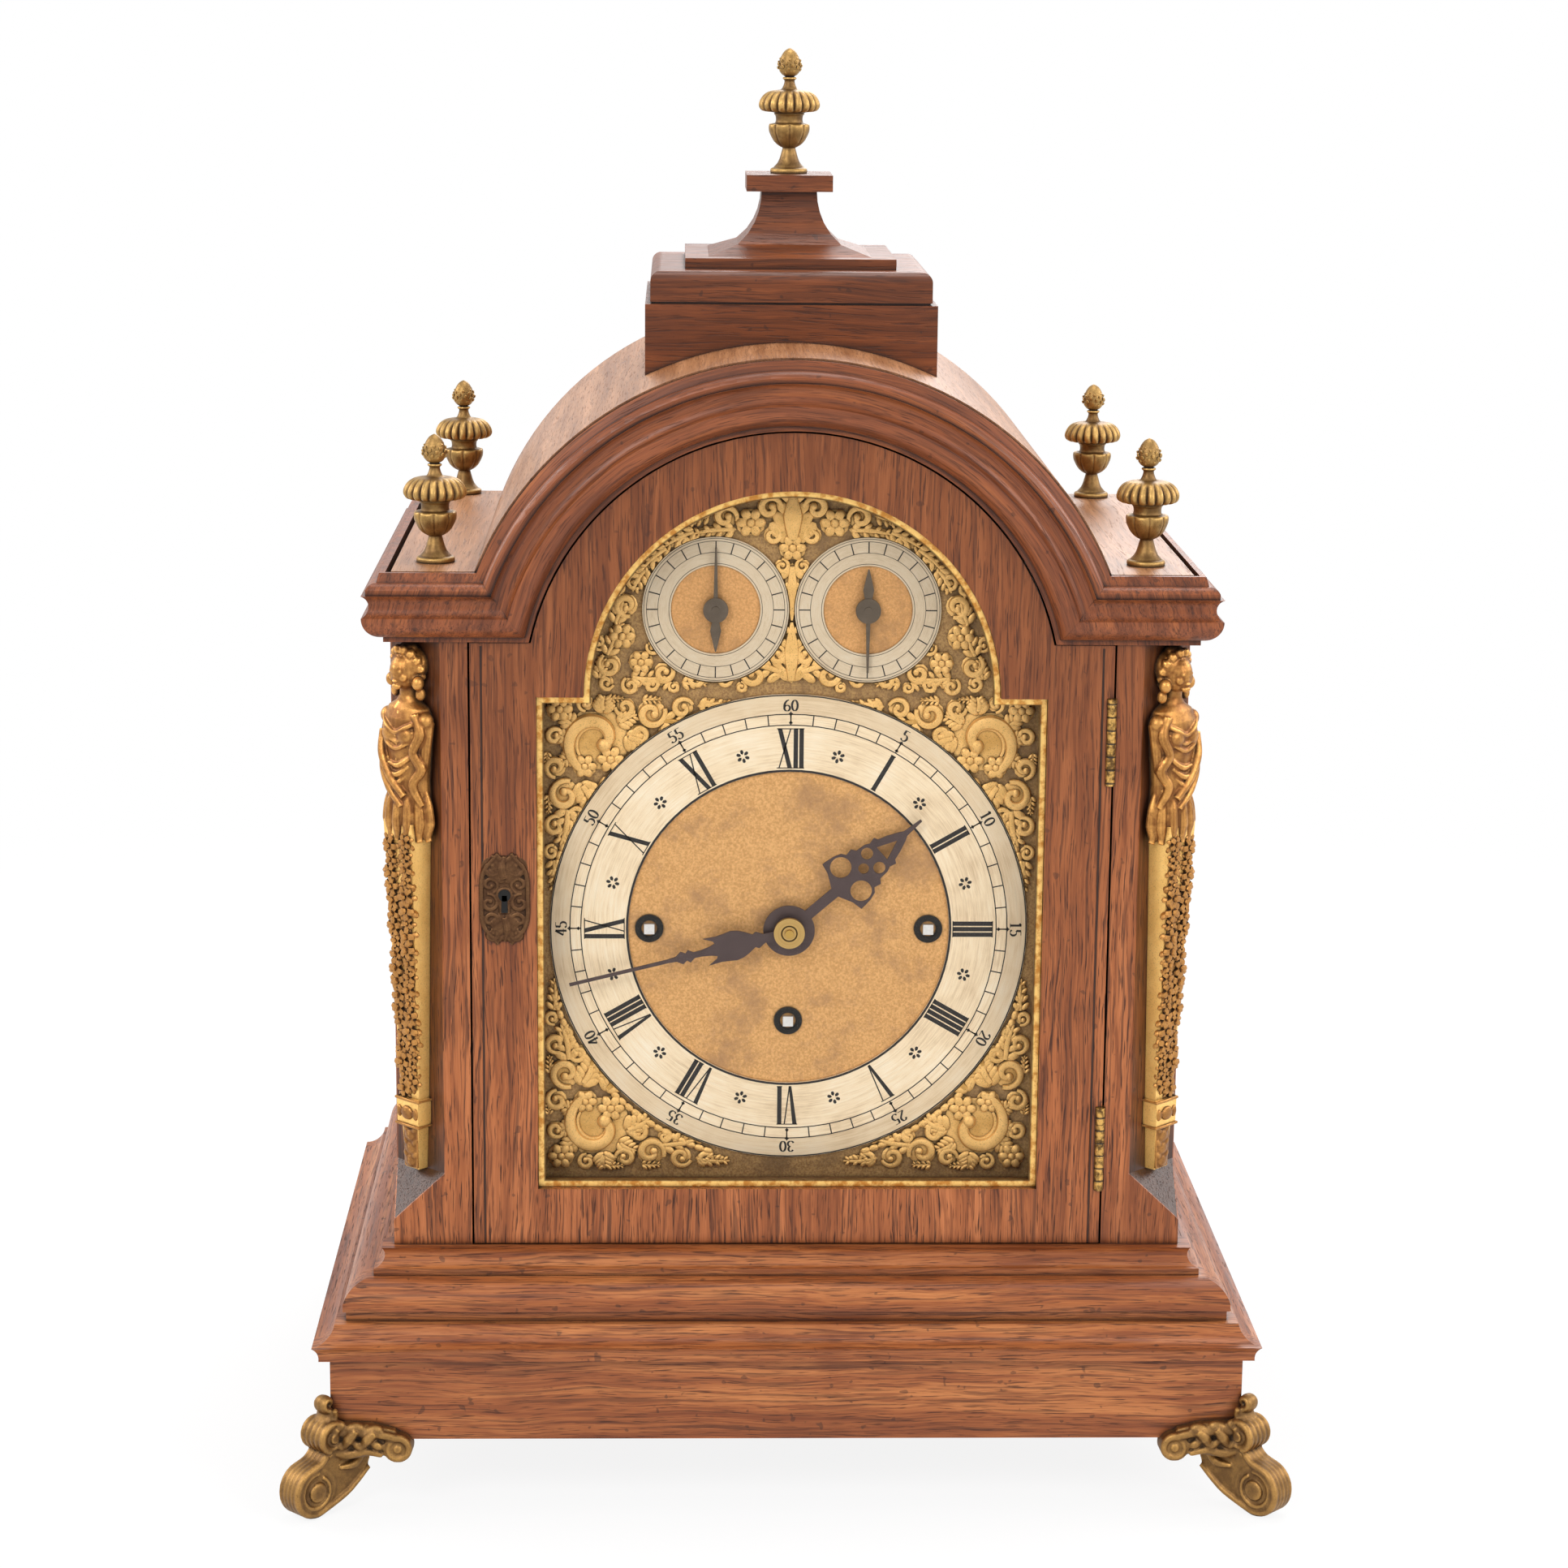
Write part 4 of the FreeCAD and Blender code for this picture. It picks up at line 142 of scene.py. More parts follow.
class Value:
    """One output socket of a node tree; Python's operators on it add Math nodes."""

    def __init__(self, nodes, socket):
        self.nodes = nodes
        self.socket = socket

    def maths(self, operation, *others):
        inputs = dict(enumerate((self,) + others))
        return self.nodes.node("ShaderNodeMath", {"operation": operation}, inputs)

    def back(self, operation, other):
        return self.nodes.node("ShaderNodeMath", {"operation": operation}, {0: other, 1: self})

    def __add__(self, other):
        return self.maths("ADD", other)

    def __radd__(self, other):
        return self.back("ADD", other)

    def __sub__(self, other):
        return self.maths("SUBTRACT", other)

    def __rsub__(self, other):
        return self.back("SUBTRACT", other)

    def __mul__(self, other):
        return self.maths("MULTIPLY", other)

    def __rmul__(self, other):
        return self.back("MULTIPLY", other)

    def __gt__(self, other):
        return self.maths("GREATER_THAN", other)

    def __lt__(self, other):
        return self.maths("LESS_THAN", other)

    def __abs__(self):
        return self.maths("ABSOLUTE")

    def step(self, low, high):
        """Nought below low, one above high, and smooth between."""
        return self.nodes.node("ShaderNodeMapRange", {"interpolation_type": "SMOOTHSTEP"},
                               {0: self, 1: low, 2: high, 3: 0.0, 4: 1.0})


class Nodes:
    """The node tree of a finish, of the world or of a pattern that repeats."""

    def __init__(self, tree):
        self.tree = tree
        tree.nodes.clear()

    def node(self, kind, settings, inputs, output=0):
        """Adds a node: its settings first, then the values or links of its sockets."""
        made = self.tree.nodes.new(kind)
        for name, setting in settings.items():
            if name == "stops":
                for index, (position, colour) in enumerate(setting):
                    stops = made.color_ramp.elements
                    stop = stops[index] if index < 2 else stops.new(position)
                    stop.position = position
                    stop.color = colour
            else:
                setattr(made, name, setting)
        for name, value in inputs.items():
            for one in value if isinstance(value, list) else [value]:
                if isinstance(one, Value):
                    self.tree.links.new(one.socket, made.inputs[name])
                else:
                    made.inputs[name].default_value = one
        return Value(self, made.outputs[output]) if made.outputs else None

    def outputs(self, kind, inputs, names):
        """Several outputs of one node."""
        made = self.node(kind, {}, inputs).socket.node
        return [Value(self, made.outputs[name]) for name in names]


def tone(code):
    """A colour written as six hex digits, as the shader's linear numbers."""
    parts = [int(code[index:index + 2], 16) / 255 for index in (0, 2, 4)]
    return tuple(c / 12.92 if c < 0.04045 else ((c + 0.055) / 1.055) ** 2.4 for c in parts) + (1,)


class Finish(Nodes):
    """One finish of the clock: a material, and its place in the clock's millimetres."""

    def __init__(self, name):
        self.material = bpy.data.materials.new(name)
        self.material.use_nodes = True
        super().__init__(self.material.node_tree)
        point = self.node("ShaderNodeTexCoord", {}, {}, "Object")
        split = self.outputs("ShaderNodeSeparateXYZ", {0: point}, range(3))
        self.place = [axis * (1 / MM) for axis in split]
        self.here = self.point(*self.place)

    def point(self, x, y, z):
        return self.node("ShaderNodeCombineXYZ", {}, {0: x, 1: y, 2: z})

    def noise(self, point, scale, detail, rough=0.5):
        return self.node("ShaderNodeTexNoise", {}, {"Vector": point, "Scale": scale,
                                                    "Detail": detail, "Roughness": rough})

    def cloud(self, scale, detail, rough=0.5):
        """Noise that is alike in all directions."""
        return self.noise(self.here, scale, detail, rough)

    def fibres(self, along, across, deep, detail, rough=0.5):
        """Noise whose point is given already scaled, as along a grain or round a centre."""
        return self.noise(self.point(along, across, deep), 1.0, detail, rough)

    def mix(self, factor, first, second):
        """The first colour at nought and the second at one; each a link or six hex digits."""
        first, second = (tone(one) if isinstance(one, str) else one for one in (first, second))
        return self.node("ShaderNodeMix", {"data_type": "RGBA"},
                         {0: factor, 6: first, 7: second}, 2)

    def ramp(self, factor, *stops):
        """Colours in six hex digits, each at its place from nought to one."""
        stops = [(position, tone(code)) for position, code in stops]
        return self.node("ShaderNodeValToRGB", {"stops": stops}, {0: factor})

    def hollows(self, reach):
        """One in corners and hollows narrower than the reach, nought on open faces."""
        return 1 - self.node("ShaderNodeAmbientOcclusion", {"samples": 6},
                             {"Distance": reach * MM}, "AO")

    def bump(self, height, deep):
        return self.node("ShaderNodeBump", {}, {"Distance": deep * MM, "Height": height})

    def done(self, **sockets):
        """The Principled shader, its sockets named with underscores for spaces."""
        inputs = {name.replace("_", " "): value for name, value in sockets.items()}
        shader = self.node("ShaderNodeBsdfPrincipled", {}, inputs)
        self.node("ShaderNodeOutputMaterial", {}, {"Surface": shader})
        return self.material


# Finishes


def oak(name, grain, light="BD7242", middle="A05A2E", dark="763C1A", pore="32160A", pores=0.9,
        bead=None):
    """Polished oak: long dark pores and soft growth bands along the grain, painted shade in the
    quirks.
    """
    finish = Finish(name)
    x, y, z = finish.place
    if grain == "mitred":
        side = (abs(x) - PLINTH_HALF) > (abs(y) - BACK_Y)
        along, across, deep = x + side * (y - x), z, y + side * (x - y)
    elif grain == "arch":
        rise = z - ARCH_Z
        radius = (x * x + rise * rise).maths("SQRT")
        along, across, deep = x.maths("ARCTAN2", rise) * 150, radius, y
    else:
        along, across, deep = {"x": (x, z, y), "y": (y, x, z), "z": (z, x, y)}[grain]
    wander = finish.fibres(along * 0.012, across * 0.03, deep * 0.03, 2.0) * 8
    across = across + wander
    streak = finish.fibres(along * 0.022, across * 0.42, deep * 0.42, 3.0, 0.6)
    fine = finish.fibres(along * 0.06, across * 1.3, deep * 1.3, 2.0, 0.6)
    fibre = finish.fibres(along * 0.05, across * 3, deep * 3, 2.0, 0.6)
    band = finish.fibres(along * 0.005, across * 0.11, deep * 0.11, 3.0, 0.6)
    patch = finish.cloud(0.02, 3.0, 0.55)
    colour = finish.ramp(band * 0.7 + fibre * 0.3, (0.34, dark), (0.5, middle), (0.66, light))
    growth = streak.step(0.5, 0.62) * 0.8 * pores
    colour = finish.mix(growth, colour, dark)
    line = finish.fibres(along * 0.018, across * 0.75, deep * 0.75, 1.0, 0.5)
    colour = finish.mix(line.step(0.56, 0.64) * 0.6 * pores, colour, pore)
    open_pores = fine.step(0.56, 0.66) * pores
    colour = finish.mix(open_pores, colour, pore)
    colour = finish.mix(patch.step(0.5, 0.7) * 0.35, colour, dark)
    speck = finish.cloud(0.2, 1.0, 0.5).step(0.72, 0.76)
    colour = finish.mix(speck * 0.5, colour, "2E1A12")
    # painted shade: the oak darkens in its quirks and hollows, where shade falls, by ambient
    # occlusion
    near, far = (0.14, 0.45) if grain == "arch" else (0.25, 0.62)
    grime_and_painted_shade = finish.hollows(12).step(near, far) * 0.5 + finish.hollows(3).step(near, 0.5) * 0.6
    colour = finish.mix(grime_and_painted_shade, colour, "1A0B06")
    if grain == "z":
        # painted shade: the upright oak darkens upwards, as in the shade under the cornice's
        # overhang
        colour = finish.mix(z.step(170, 470) * 0.5, colour, "542A12")
        # painted shadow on the canted corners behind the figures, darkest below the chamfer stop
        cant_shadow = (y > FRONT_Y + 0.5) * (abs(x) < CASE_HALF - 0.5) * (y < FRONT_Y + CANT)
        cant_shadow = cant_shadow * (abs(x) > CASE_HALF - CANT)
        colour = finish.mix(cant_shadow * (0.9 - z.step(STOP_HIGH, STOP_HIGH + 25) * 0.35), colour,
                            "2E190D")
    height = fibre * 0.25 - open_pores - growth * 0.4
    if bead:
        # the groove beside the door's bead: a bump, with painted shade darkening it
        shaded_quirk = 1 - abs(abs(x) - bead).step(0.25, 0.75)
        shaded_quirk = shaded_quirk * (z < BEAD_HIGH)
        colour = finish.mix(shaded_quirk * 0.92, colour, "1A0B06")
        height = height - shaded_quirk * 6
    return finish.done(Base_Color=colour, Roughness=0.34 + open_pores * 0.3 + fibre * 0.12,
                       Specular_IOR_Level=0.35, Coat_Weight=0.06, Coat_Roughness=0.2,
                       Normal=finish.bump(height, 0.07))


def cast_metal(name, bright, dull, deep_colour, rough=0.33, reach=2.5, shine=0.9):
    """Chased and gilt brass: bright on the raised edges, rubbed by the cloth and partly a painted
    highlight; brown where cloth never reaches, patina with painted shade.
    """
    finish = Finish(name)
    patch = finish.cloud(0.1, 4.0, 0.65)
    grain = finish.cloud(1.6, 3.0, 0.6)
    edge = finish.node("ShaderNodeNewGeometry", {}, {}, "Pointiness")
    # raised edges lighter: rubbed gilt, and a painted highlight
    worn = edge.step(0.49, 0.55)
    share = worn * 0.7 + patch.step(0.42, 0.62) * 0.3
    colour = finish.mix(share, dull, bright)
    colour = finish.mix(grain.step(0.52, 0.7) * 0.45, colour, deep_colour)
    # darker in the hollows: patina, and painted shade
    grime_and_painted_shade = finish.hollows(reach).step(0.22, 0.55)
    colour = finish.mix(grime_and_painted_shade * 0.95, colour, deep_colour)
    return finish.done(Base_Color=colour, Metallic=shine - grime_and_painted_shade * 0.6,
                       Roughness=rough + grain * 0.15 + grime_and_painted_shade * 0.3,
                       Normal=finish.bump(grain + patch, 0.08))


def brushed_metal(name, light, dark, centre, rough):
    """Turned or grained metal, with fine streaks round a centre in the front view."""
    finish = Finish(name)
    x, y, z = finish.place
    across, rise = x - centre[0], z - centre[1]
    radius = (across * across + rise * rise).maths("SQRT")
    turn = across.maths("ARCTAN2", rise)
    streak = finish.fibres(radius * 2.2, turn * 3, y * 0.4, 3.0, 0.65)
    patch = finish.cloud(0.05, 3.0, 0.6)
    colour = finish.mix(streak * 0.6 + patch * 0.4, dark, light)
    # painted shade: darker in the hollows, by ambient occlusion
    grime_and_painted_shade = finish.hollows(3).step(0.3, 0.8)
    colour = finish.mix(grime_and_painted_shade * 0.7, colour, "3A2C1C")
    return finish.done(Base_Color=colour, Metallic=0.9, Roughness=rough + streak * 0.15,
                       Normal=finish.bump(streak, 0.02))


def silvering():
    """Silvered brass with fine streaks round each ring's own centre, cream where it is worn."""
    finish = Finish("silvering")
    x, z = finish.place[::2]
    above = z > (DIAL_Z + RING_OUTER + 3)
    across = x - above * x.maths("SIGN") * SUBDIAL_X
    rise = z - (above * (SUBDIAL_Z - DIAL_Z) + DIAL_Z)
    radius = (across * across + rise * rise).maths("SQRT")
    turn = across.maths("ARCTAN2", rise)
    streak = finish.fibres(radius * 1.1, turn * 5, 0.0, 4.0, 0.7)
    scratch = finish.fibres(radius * 4.5, turn * 2.5, 7.0, 1.0, 0.5)
    patch = finish.cloud(0.04, 3.0, 0.6)
    colour = finish.ramp(streak * 0.55 + patch * 0.45, (0.34, "DABD96"), (0.5, "F8E0BA"),
                         (0.66, "FFF0D4"))
    colour = finish.mix((radius > TRACK_OUTER) * (1 - above) * 0.3, colour, "C0A27A")
    colour = finish.mix(above * 0.55, colour, "BEAC92")
    colour = finish.mix(scratch.step(0.66, 0.74) * 0.3, colour, "9A8A6E")
    # painted shade: darker in the hollows, by ambient occlusion
    grime_and_painted_shade = finish.hollows(2.5).step(0.3, 0.9)
    colour = finish.mix(grime_and_painted_shade * 0.5, colour, "6E5F47")
    return finish.done(Base_Color=colour, Metallic=0.12, Roughness=0.5 + streak * 0.1,
                       Normal=finish.bump(streak + scratch * 0.5, 0.02))


def matted(name, light, dark, shadow):
    """Matted gilt: an even grain of small punch marks with cloudy darker patches."""
    finish = Finish(name)
    grain = finish.cloud(0.9, 2.0, 0.7)
    cloud = finish.cloud(0.03, 5.0, 0.7)
    colour = finish.mix(grain.step(0.3, 0.7), dark, light)
    colour = finish.mix(cloud.step(0.46, 0.68) * 0.75, colour, shadow)
    # painted shade: much darker in the hollows round the mounts and rings that stand on the ground
    grime_and_painted_shade = finish.hollows(4).step(0.25, 0.7)
    colour = finish.mix(grime_and_painted_shade * 0.85, colour, "4A3720")
    return finish.done(Base_Color=colour, Metallic=0.5, Roughness=0.5 + grain * 0.2,
                       Normal=finish.bump(grain, 0.1))


def plain(name, light, dark, metallic, rough):
    """A dark or small finish that still has its cloudiness and fine grain."""
    finish = Finish(name)
    cloud = finish.cloud(0.15, 3.0, 0.6)
    grain = finish.cloud(3.0, 1.0, 0.5)
    colour = finish.mix(cloud * 0.7 + grain * 0.3, dark, light)
    return finish.done(Base_Color=colour, Metallic=metallic, Roughness=rough + cloud * 0.15,
                       Normal=finish.bump(grain, 0.015))


def bezel_metal():
    """Burnished gilt moulding, with a painted shadow towards the glass and in its rebate, and
    painted shade in its hollows.
    """
    finish = Finish("gilt_bezel")
    x, y, z = finish.place
    rise = z - ARCH_Z
    straight = (abs(x) - SIGHT_HALF).maths("MAXIMUM", SIGHT_LOW - z).maths("MAXIMUM", rise)
    edge = straight.maths("MINIMUM", (x * x + rise * rise).maths("SQRT") - SIGHT_ARCH)
    streak = finish.noise(finish.point(x, y * 4, z), 0.25, 3.0, 0.65)
    grain = finish.cloud(2.0, 1.0, 0.5)
    colour = finish.mix(streak.step(0.35, 0.62), "CC8A3A", "FFD27C")
    # painted shadow of the rebate along the edge towards the glass
    rebate_shadow = 1 - edge.step(0.3 - BEZEL_WIDE, 1.1 - BEZEL_WIDE)
    colour = finish.mix(rebate_shadow * 0.85, colour, "3E2710")
    # painted shade in the hollows, by ambient occlusion
    colour = finish.mix(finish.hollows(2.5).step(0.35, 0.7) * 0.5, colour, "53300F")
    return finish.done(Base_Color=colour, Metallic=0.6, Roughness=0.34 + grain * 0.15,
                       Normal=finish.bump(streak, 0.05))


def knuckled_metal():
    """Tarnished hinge brass, with dark lines where one knuckle meets the next."""
    finish = Finish("hinge_brass")
    z = finish.place[2]
    cloud = finish.cloud(0.3, 3.0, 0.65)
    grain = finish.cloud(2.0, 2.0, 0.5)
    joint = abs((z * (1 / KNUCKLE_LONG)).maths("FRACT") - 0.5)
    colour = finish.mix(cloud.step(0.38, 0.62), "5E4424", "D6A85C")
    gap = 1 - joint.step(0.03, 0.1)
    colour = finish.mix(gap * 0.9, colour, "1C120A")
    return finish.done(Base_Color=colour, Metallic=0.75 - gap * 0.5,
                       Roughness=0.32 + grain * 0.2, Normal=finish.bump(grain * 0.2 - gap, 0.2))


def winding_metal():
    """Polished steel on the winding square in front of the dial, lacquered brass behind it."""
    finish = Finish("winding_arbor_and_fusee")
    x, y, z = finish.place
    streak = finish.fibres(x * 0.8, y * 3, z * 0.8, 3.0, 0.6)
    brass = finish.mix(streak, "8E6B2F", "C9A255")
    steel = finish.mix(streak, "C9C6C0", "F2EFEA")
    behind = y > (FRONT_Y + WINDING_DEEP)
    return finish.done(Base_Color=finish.mix(behind, steel, brass), Metallic=0.85,
                       Roughness=0.28 + streak * 0.12, Normal=finish.bump(streak, 0.01))


def hand_metal():
    """Dark steel hands, with the brass collet that stands in front of them."""
    finish = Finish("dark_hands_and_collet")
    x, y, z = finish.place
    rise = z - DIAL_Z
    radius = (x * x + rise * rise).maths("SQRT")
    cloud = finish.cloud(0.15, 3.0, 0.6)
    grain = finish.cloud(2.0, 2.0, 0.6)
    steel = finish.mix(cloud * 0.6 + grain * 0.4, "453836", "60504E")
    turned = finish.fibres(radius * 2.5, 0.0, y, 2.0, 0.6)
    brass = finish.mix(turned, "8E6A35", "E6C27C")
    rim = radius.step(3.2, 3.5) - radius.step(3.9, 4.2)
    brass = finish.mix(rim, brass, "3A2A18")
    brassy = (radius < COLLET_RADIUS) * (y < FRONT_Y + COLLET_DEEP)
    return finish.done(Base_Color=finish.mix(brassy, steel, brass), Metallic=0.5 + brassy * 0.35,
                       Roughness=0.4 + grain * 0.12, Normal=finish.bump(grain, 0.03))


def clear_glass(name):
    """Old window glass: all but clear, with a faint wave and a reflection that grows aslant."""
    finish = Finish(name)
    wave = finish.cloud(0.02, 1.0, 0.4)
    aslant = finish.node("ShaderNodeLayerWeight", {}, {"Blend": 0.25}, "Fresnel")
    return finish.done(Base_Color=tone("161B19"), Roughness=0.02 + wave * 0.02,
                       Alpha=0.015 + aslant * 0.25, Normal=finish.bump(wave, 0.2))


OAK_FRONT = oak("oak_upright", "z")
OAK_DOOR = oak("oak_door", "z", bead=DOOR_BEAD)
OAK_LEVEL = oak("oak_level", "x", light="8E4F2A", middle="733C1D", dark="522811", pores=0.7)
OAK_MITRED = oak("oak_mitred", "mitred", light="C07A45", middle="A05C30", dark="74391A",
                 pores=0.75)
OAK_SIDES = oak("oak_sides", "z", pores=0.6)
# painted light: the roof boards' oak is paler than the case's, for the light that falls on the roof
OAK_ROOF_PAINTED_LIGHT = oak("oak_front_to_back", "y", light="C08A62", middle="A4714A", dark="84532F",
               pore="55301A", pores=0.5)
OAK_ARCH = oak("oak_arch", "arch", light="A25C30", middle="854726", dark="5C2D14", pores=0.6)
OAK_INSIDE = oak("oak_inside", "z", light="A87A52", middle="8C603E", dark="6D472B", pores=0.5)
FIGURE_GILT = cast_metal("gilt_figures", "EEB060", "7E4E24", "1C0D05", reach=5.0, shine=0.8)
GARLAND_GILT = cast_metal("gilt_garlands", "BE8746", "7A4E24", "201006", reach=3.6, shine=0.7)
STRIP_GILT = cast_metal("gilt_pillar", "FFD07C", "E2A64E", "9A6A2C", reach=1.6, shine=0.65)
FOOT_BRASS = cast_metal("gilt_feet", "BC9052", "725433", "2A1B0E", rough=0.4, reach=3.0)
FINIAL_BRASS = cast_metal("gilt_finials", "C39C5C", "6C4F2C", "24150A", rough=0.38, shine=0.8)
SPANDREL_GILT = cast_metal("gilt_spandrels", "F6C67C", "C8984F", "54401F", rough=0.45,
                           reach=2.4, shine=0.65)
ESCUTCHEON_BRASS = cast_metal("dull_escutcheon", "7C5A3C", "503624", "170D07", rough=0.45)
BEZEL_GILT = bezel_metal()
DIAL_GROUND = matted("dial_ground", "C09A62", "947048", "7C6042")
CENTRE_GILT = matted("matted_centre", "E8B578", "CA985C", "A8805A")
SMALL_GILT = matted("matted_small_centre", "E2AC70", "C8945A", "AA8054")
SILVER = silvering()
WAX = plain("black_wax", "302A26", "161210", 0.0, 0.55)
BOSS_STEEL = plain("small_dial_boss", "7A6C5C", "463C32", 0.6, 0.4)
# painted shade of the open keyhole
KEYHOLE_PAINTED_SHADE = plain("keyhole_dark", "0B0806", "050302", 0.0, 0.8)
COLLET_BLACK_AND_HOLE_SHADE = plain("blackened_steel", "2B2723", "151310", 0.4, 0.35)
STEEL = brushed_metal("steel", "C8C8C8", "8C8C8C", (0, DIAL_Z), 0.3)
BRASS = brushed_metal("lacquered_brass", "D3AE62", "A8823F", (0, DIAL_Z), 0.3)
BELL_METAL = brushed_metal("bell_metal", "D9C9A0", "A8966B", (0, 417), 0.25)
HINGE_BRASS = knuckled_metal()
HAND_STEEL = hand_metal()
WINDING = winding_metal()
DOOR_GLASS = clear_glass("door_glass")
REAR_GLASS = clear_glass("rear_glass")


def carry_over(finish, *nodes):
    """Gives CAD nodes that keep their shape their finish."""
    for name in nodes:
        materials = frame["nodes"][name].data.materials
        materials.clear()
        materials.append(finish)


carry_over(OAK_FRONT, "stile_left", "stile_right")
carry_over(OAK_DOOR, "door_frame")
carry_over(OAK_SIDES, "side_left", "side_right", "rear_door_frame")
carry_over(OAK_LEVEL, "crown_block", "crown_neck")
carry_over(OAK_MITRED, "plinth", "base_moulding", "rear_frame")
carry_over(OAK_ROOF_PAINTED_LIGHT, "roof_boards")
carry_over(OAK_ARCH, "front_arch", "cornice")
carry_over(OAK_INSIDE, "bottom_board", "seatboard", "dial_mask")
carry_over(DIAL_GROUND, "dial_plate")
carry_over(SILVER, "dial_rings")
carry_over(BEZEL_GILT, "door_bezel")
carry_over(HINGE_BRASS, "hinge_plates", "door_hinge_leaves")
carry_over(DOOR_GLASS, "door_glass")
carry_over(REAR_GLASS, "rear_door_glass")
carry_over(HAND_STEEL, "minute_hand", "hour_hand")
carry_over(BOSS_STEEL, "selector_left", "selector_right")
carry_over(STEEL, "lock_case", "lock_bolt", "escape_wheel", "chime_hammers")
carry_over(BRASS, "rear_turn", "plate_front", "plate_back", "motion_wheel", "barrel_going",
           "barrel_strike", "barrel_chime", "centre_wheel", "third_wheel", "pendulum")
carry_over(BELL_METAL, "bells")
carry_over(WINDING, "fusee_going", "fusee_strike", "fusee_chime")


# Meshes


def mesh_of(name, points, faces):
    """A mesh from points in millimetres, with its doubles merged and its faces outwards."""
    mesh = bpy.data.meshes.new(name)
    mesh.from_pydata([Vector(point) * MM for point in points], [], faces)
    shape = bmesh.new()
    shape.from_mesh(mesh)
    bmesh.ops.remove_doubles(shape, verts=shape.verts, dist=0.002 * MM)
    bmesh.ops.recalc_face_normals(shape, faces=shape.faces)
    shape.to_mesh(mesh)
    shape.free()
    return mesh


def piece(name, mesh, finish, body, slot, *replaced):
    """A finished piece: its mesh is already in the clock's frame, in metres."""
    mesh.materials.clear()
    mesh.materials.append(finish)
    mesh.shade_smooth()
    mesh.set_sharp_from_angle(angle=SHARP)
    made = bpy.data.objects.new(name, mesh)
    bpy.context.scene.collection.objects.link(made)
    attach(made, body)
    if replaced:
        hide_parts(*replaced)
    return made


def smooth_path(points, steps):
    """Points on a smooth curve through the given ones, steps to each stretch."""
    points = [Vector(point) for point in points]
    ends = [2 * points[0] - points[1]] + points + [2 * points[-1] - points[-2]]
    path = []
    for a, b, c, d in zip(ends, ends[1:], ends[2:], ends[3:]):
        for index in range(steps):
            t = index / steps
            path.append(0.5 * (2 * b + (c - a) * t + (2 * a - 5 * b + 4 * c - d) * t * t
                               + (3 * b - a - 3 * c + d) * t ** 3))
    return path + [points[-1]]


class Casting:
    """Points and faces of a cast or carved piece, built up from overlapping forms."""

    def __init__(self):
        self.points = []
        self.faces = []

    def add(self, points, faces):
        start = len(self.points)
        self.points += [Vector(point) for point in points]
        self.faces += [tuple(start + corner for corner in face) for face in faces]

    def grid(self, rows):
        """Faces between rows of points; the first and last rows are closed by flat caps."""
        wide = len(rows[0])
        points = [point for row in rows for point in row]
        faces = []
        for row in range(len(rows) - 1):
            for index in range(wide):
                after = (index + 1) % wide
                faces.append((row * wide + index, row * wide + after,
                              (row + 1) * wide + after, (row + 1) * wide + index))
        faces.append(tuple(range(wide))[::-1])
        faces.append(tuple(range((len(rows) - 1) * wide, len(rows) * wide)))
        self.add(points, faces)

    def ball(self, centre, size, degrees=0, rings=10):
        """An ellipsoid with three half sizes, turned about the Y axis."""
        turn = about("Y", degrees).to_3x3()
        rows = []
        for ring in range(1, rings):
            tilt = math.pi * ring / rings
            rows.append([Vector(centre) + turn @ Vector((
                size[0] * math.sin(tilt) * math.cos(turn_by),
                size[1] * math.sin(tilt) * math.sin(turn_by),
                -size[2] * math.cos(tilt)))
                for turn_by in (math.tau * index / (2 * rings) for index in range(2 * rings))])
        self.grid(rows)

    def tube(self, path, radii, sides=10, flat=1.0, normal=(0, 1, 0)):
        """A round or flattened bar along a path; flat is its height along the normal."""
        normal = Vector(normal)
        count = len(path)
        rows = []
        for index, point in enumerate(path):
            forward = (path[min(index + 1, count - 1)] - path[max(index - 1, 0)]).normalized()
            side = forward.cross(normal)
            side = side.normalized() if side.length > 1e-6 else Vector((1, 0, 0))
            lift = side.cross(forward).normalized()
            share = index / (count - 1) * (len(radii) - 1)
            low = min(int(share), len(radii) - 2)
            radius = radii[low] + (radii[low + 1] - radii[low]) * (share - low)
            rows.append([point + side * (radius * math.cos(a)) + lift * (radius * flat * math.sin(a))
                         for a in (math.tau * step / sides for step in range(sides))])
        self.grid(rows)

    def lathe(self, profile, segments, wave):
        """A turned form on the Z axis; wave changes a point's radius and height by its angle."""
        rows = []
        for radius, height in profile:
            row = []
            for index in range(segments):
                angle = math.tau * index / segments
                r, z = wave(angle, radius, height)
                row.append(Vector((r * math.cos(angle), r * math.sin(angle), z)))
            rows.append(row)
        self.grid(rows)

    def merge(self, other, matrix=None):
        matrix = matrix or Matrix.Identity(4)
        self.add([matrix @ point for point in other.points], other.faces)

    def mesh(self, name):
        return mesh_of(name, self.points, self.faces)

    def fused(self, name, grain, soften):
        """All the overlapping forms as one skin, its grain the size of the new faces."""
        rough = bpy.data.objects.new(name + "_rough", self.mesh(name))
        bpy.context.scene.collection.objects.link(rough)
        skin = rough.modifiers.new("skin", "REMESH")
        skin.mode = "VOXEL"
        skin.voxel_size = grain * MM
        ease = rough.modifiers.new("ease", "SMOOTH")
        ease.factor = 0.5
        ease.iterations = soften
        made = bpy.data.meshes.new_from_object(rough.evaluated_get(
            bpy.context.evaluated_depsgraph_get()))
        bpy.data.objects.remove(rough)
        return made


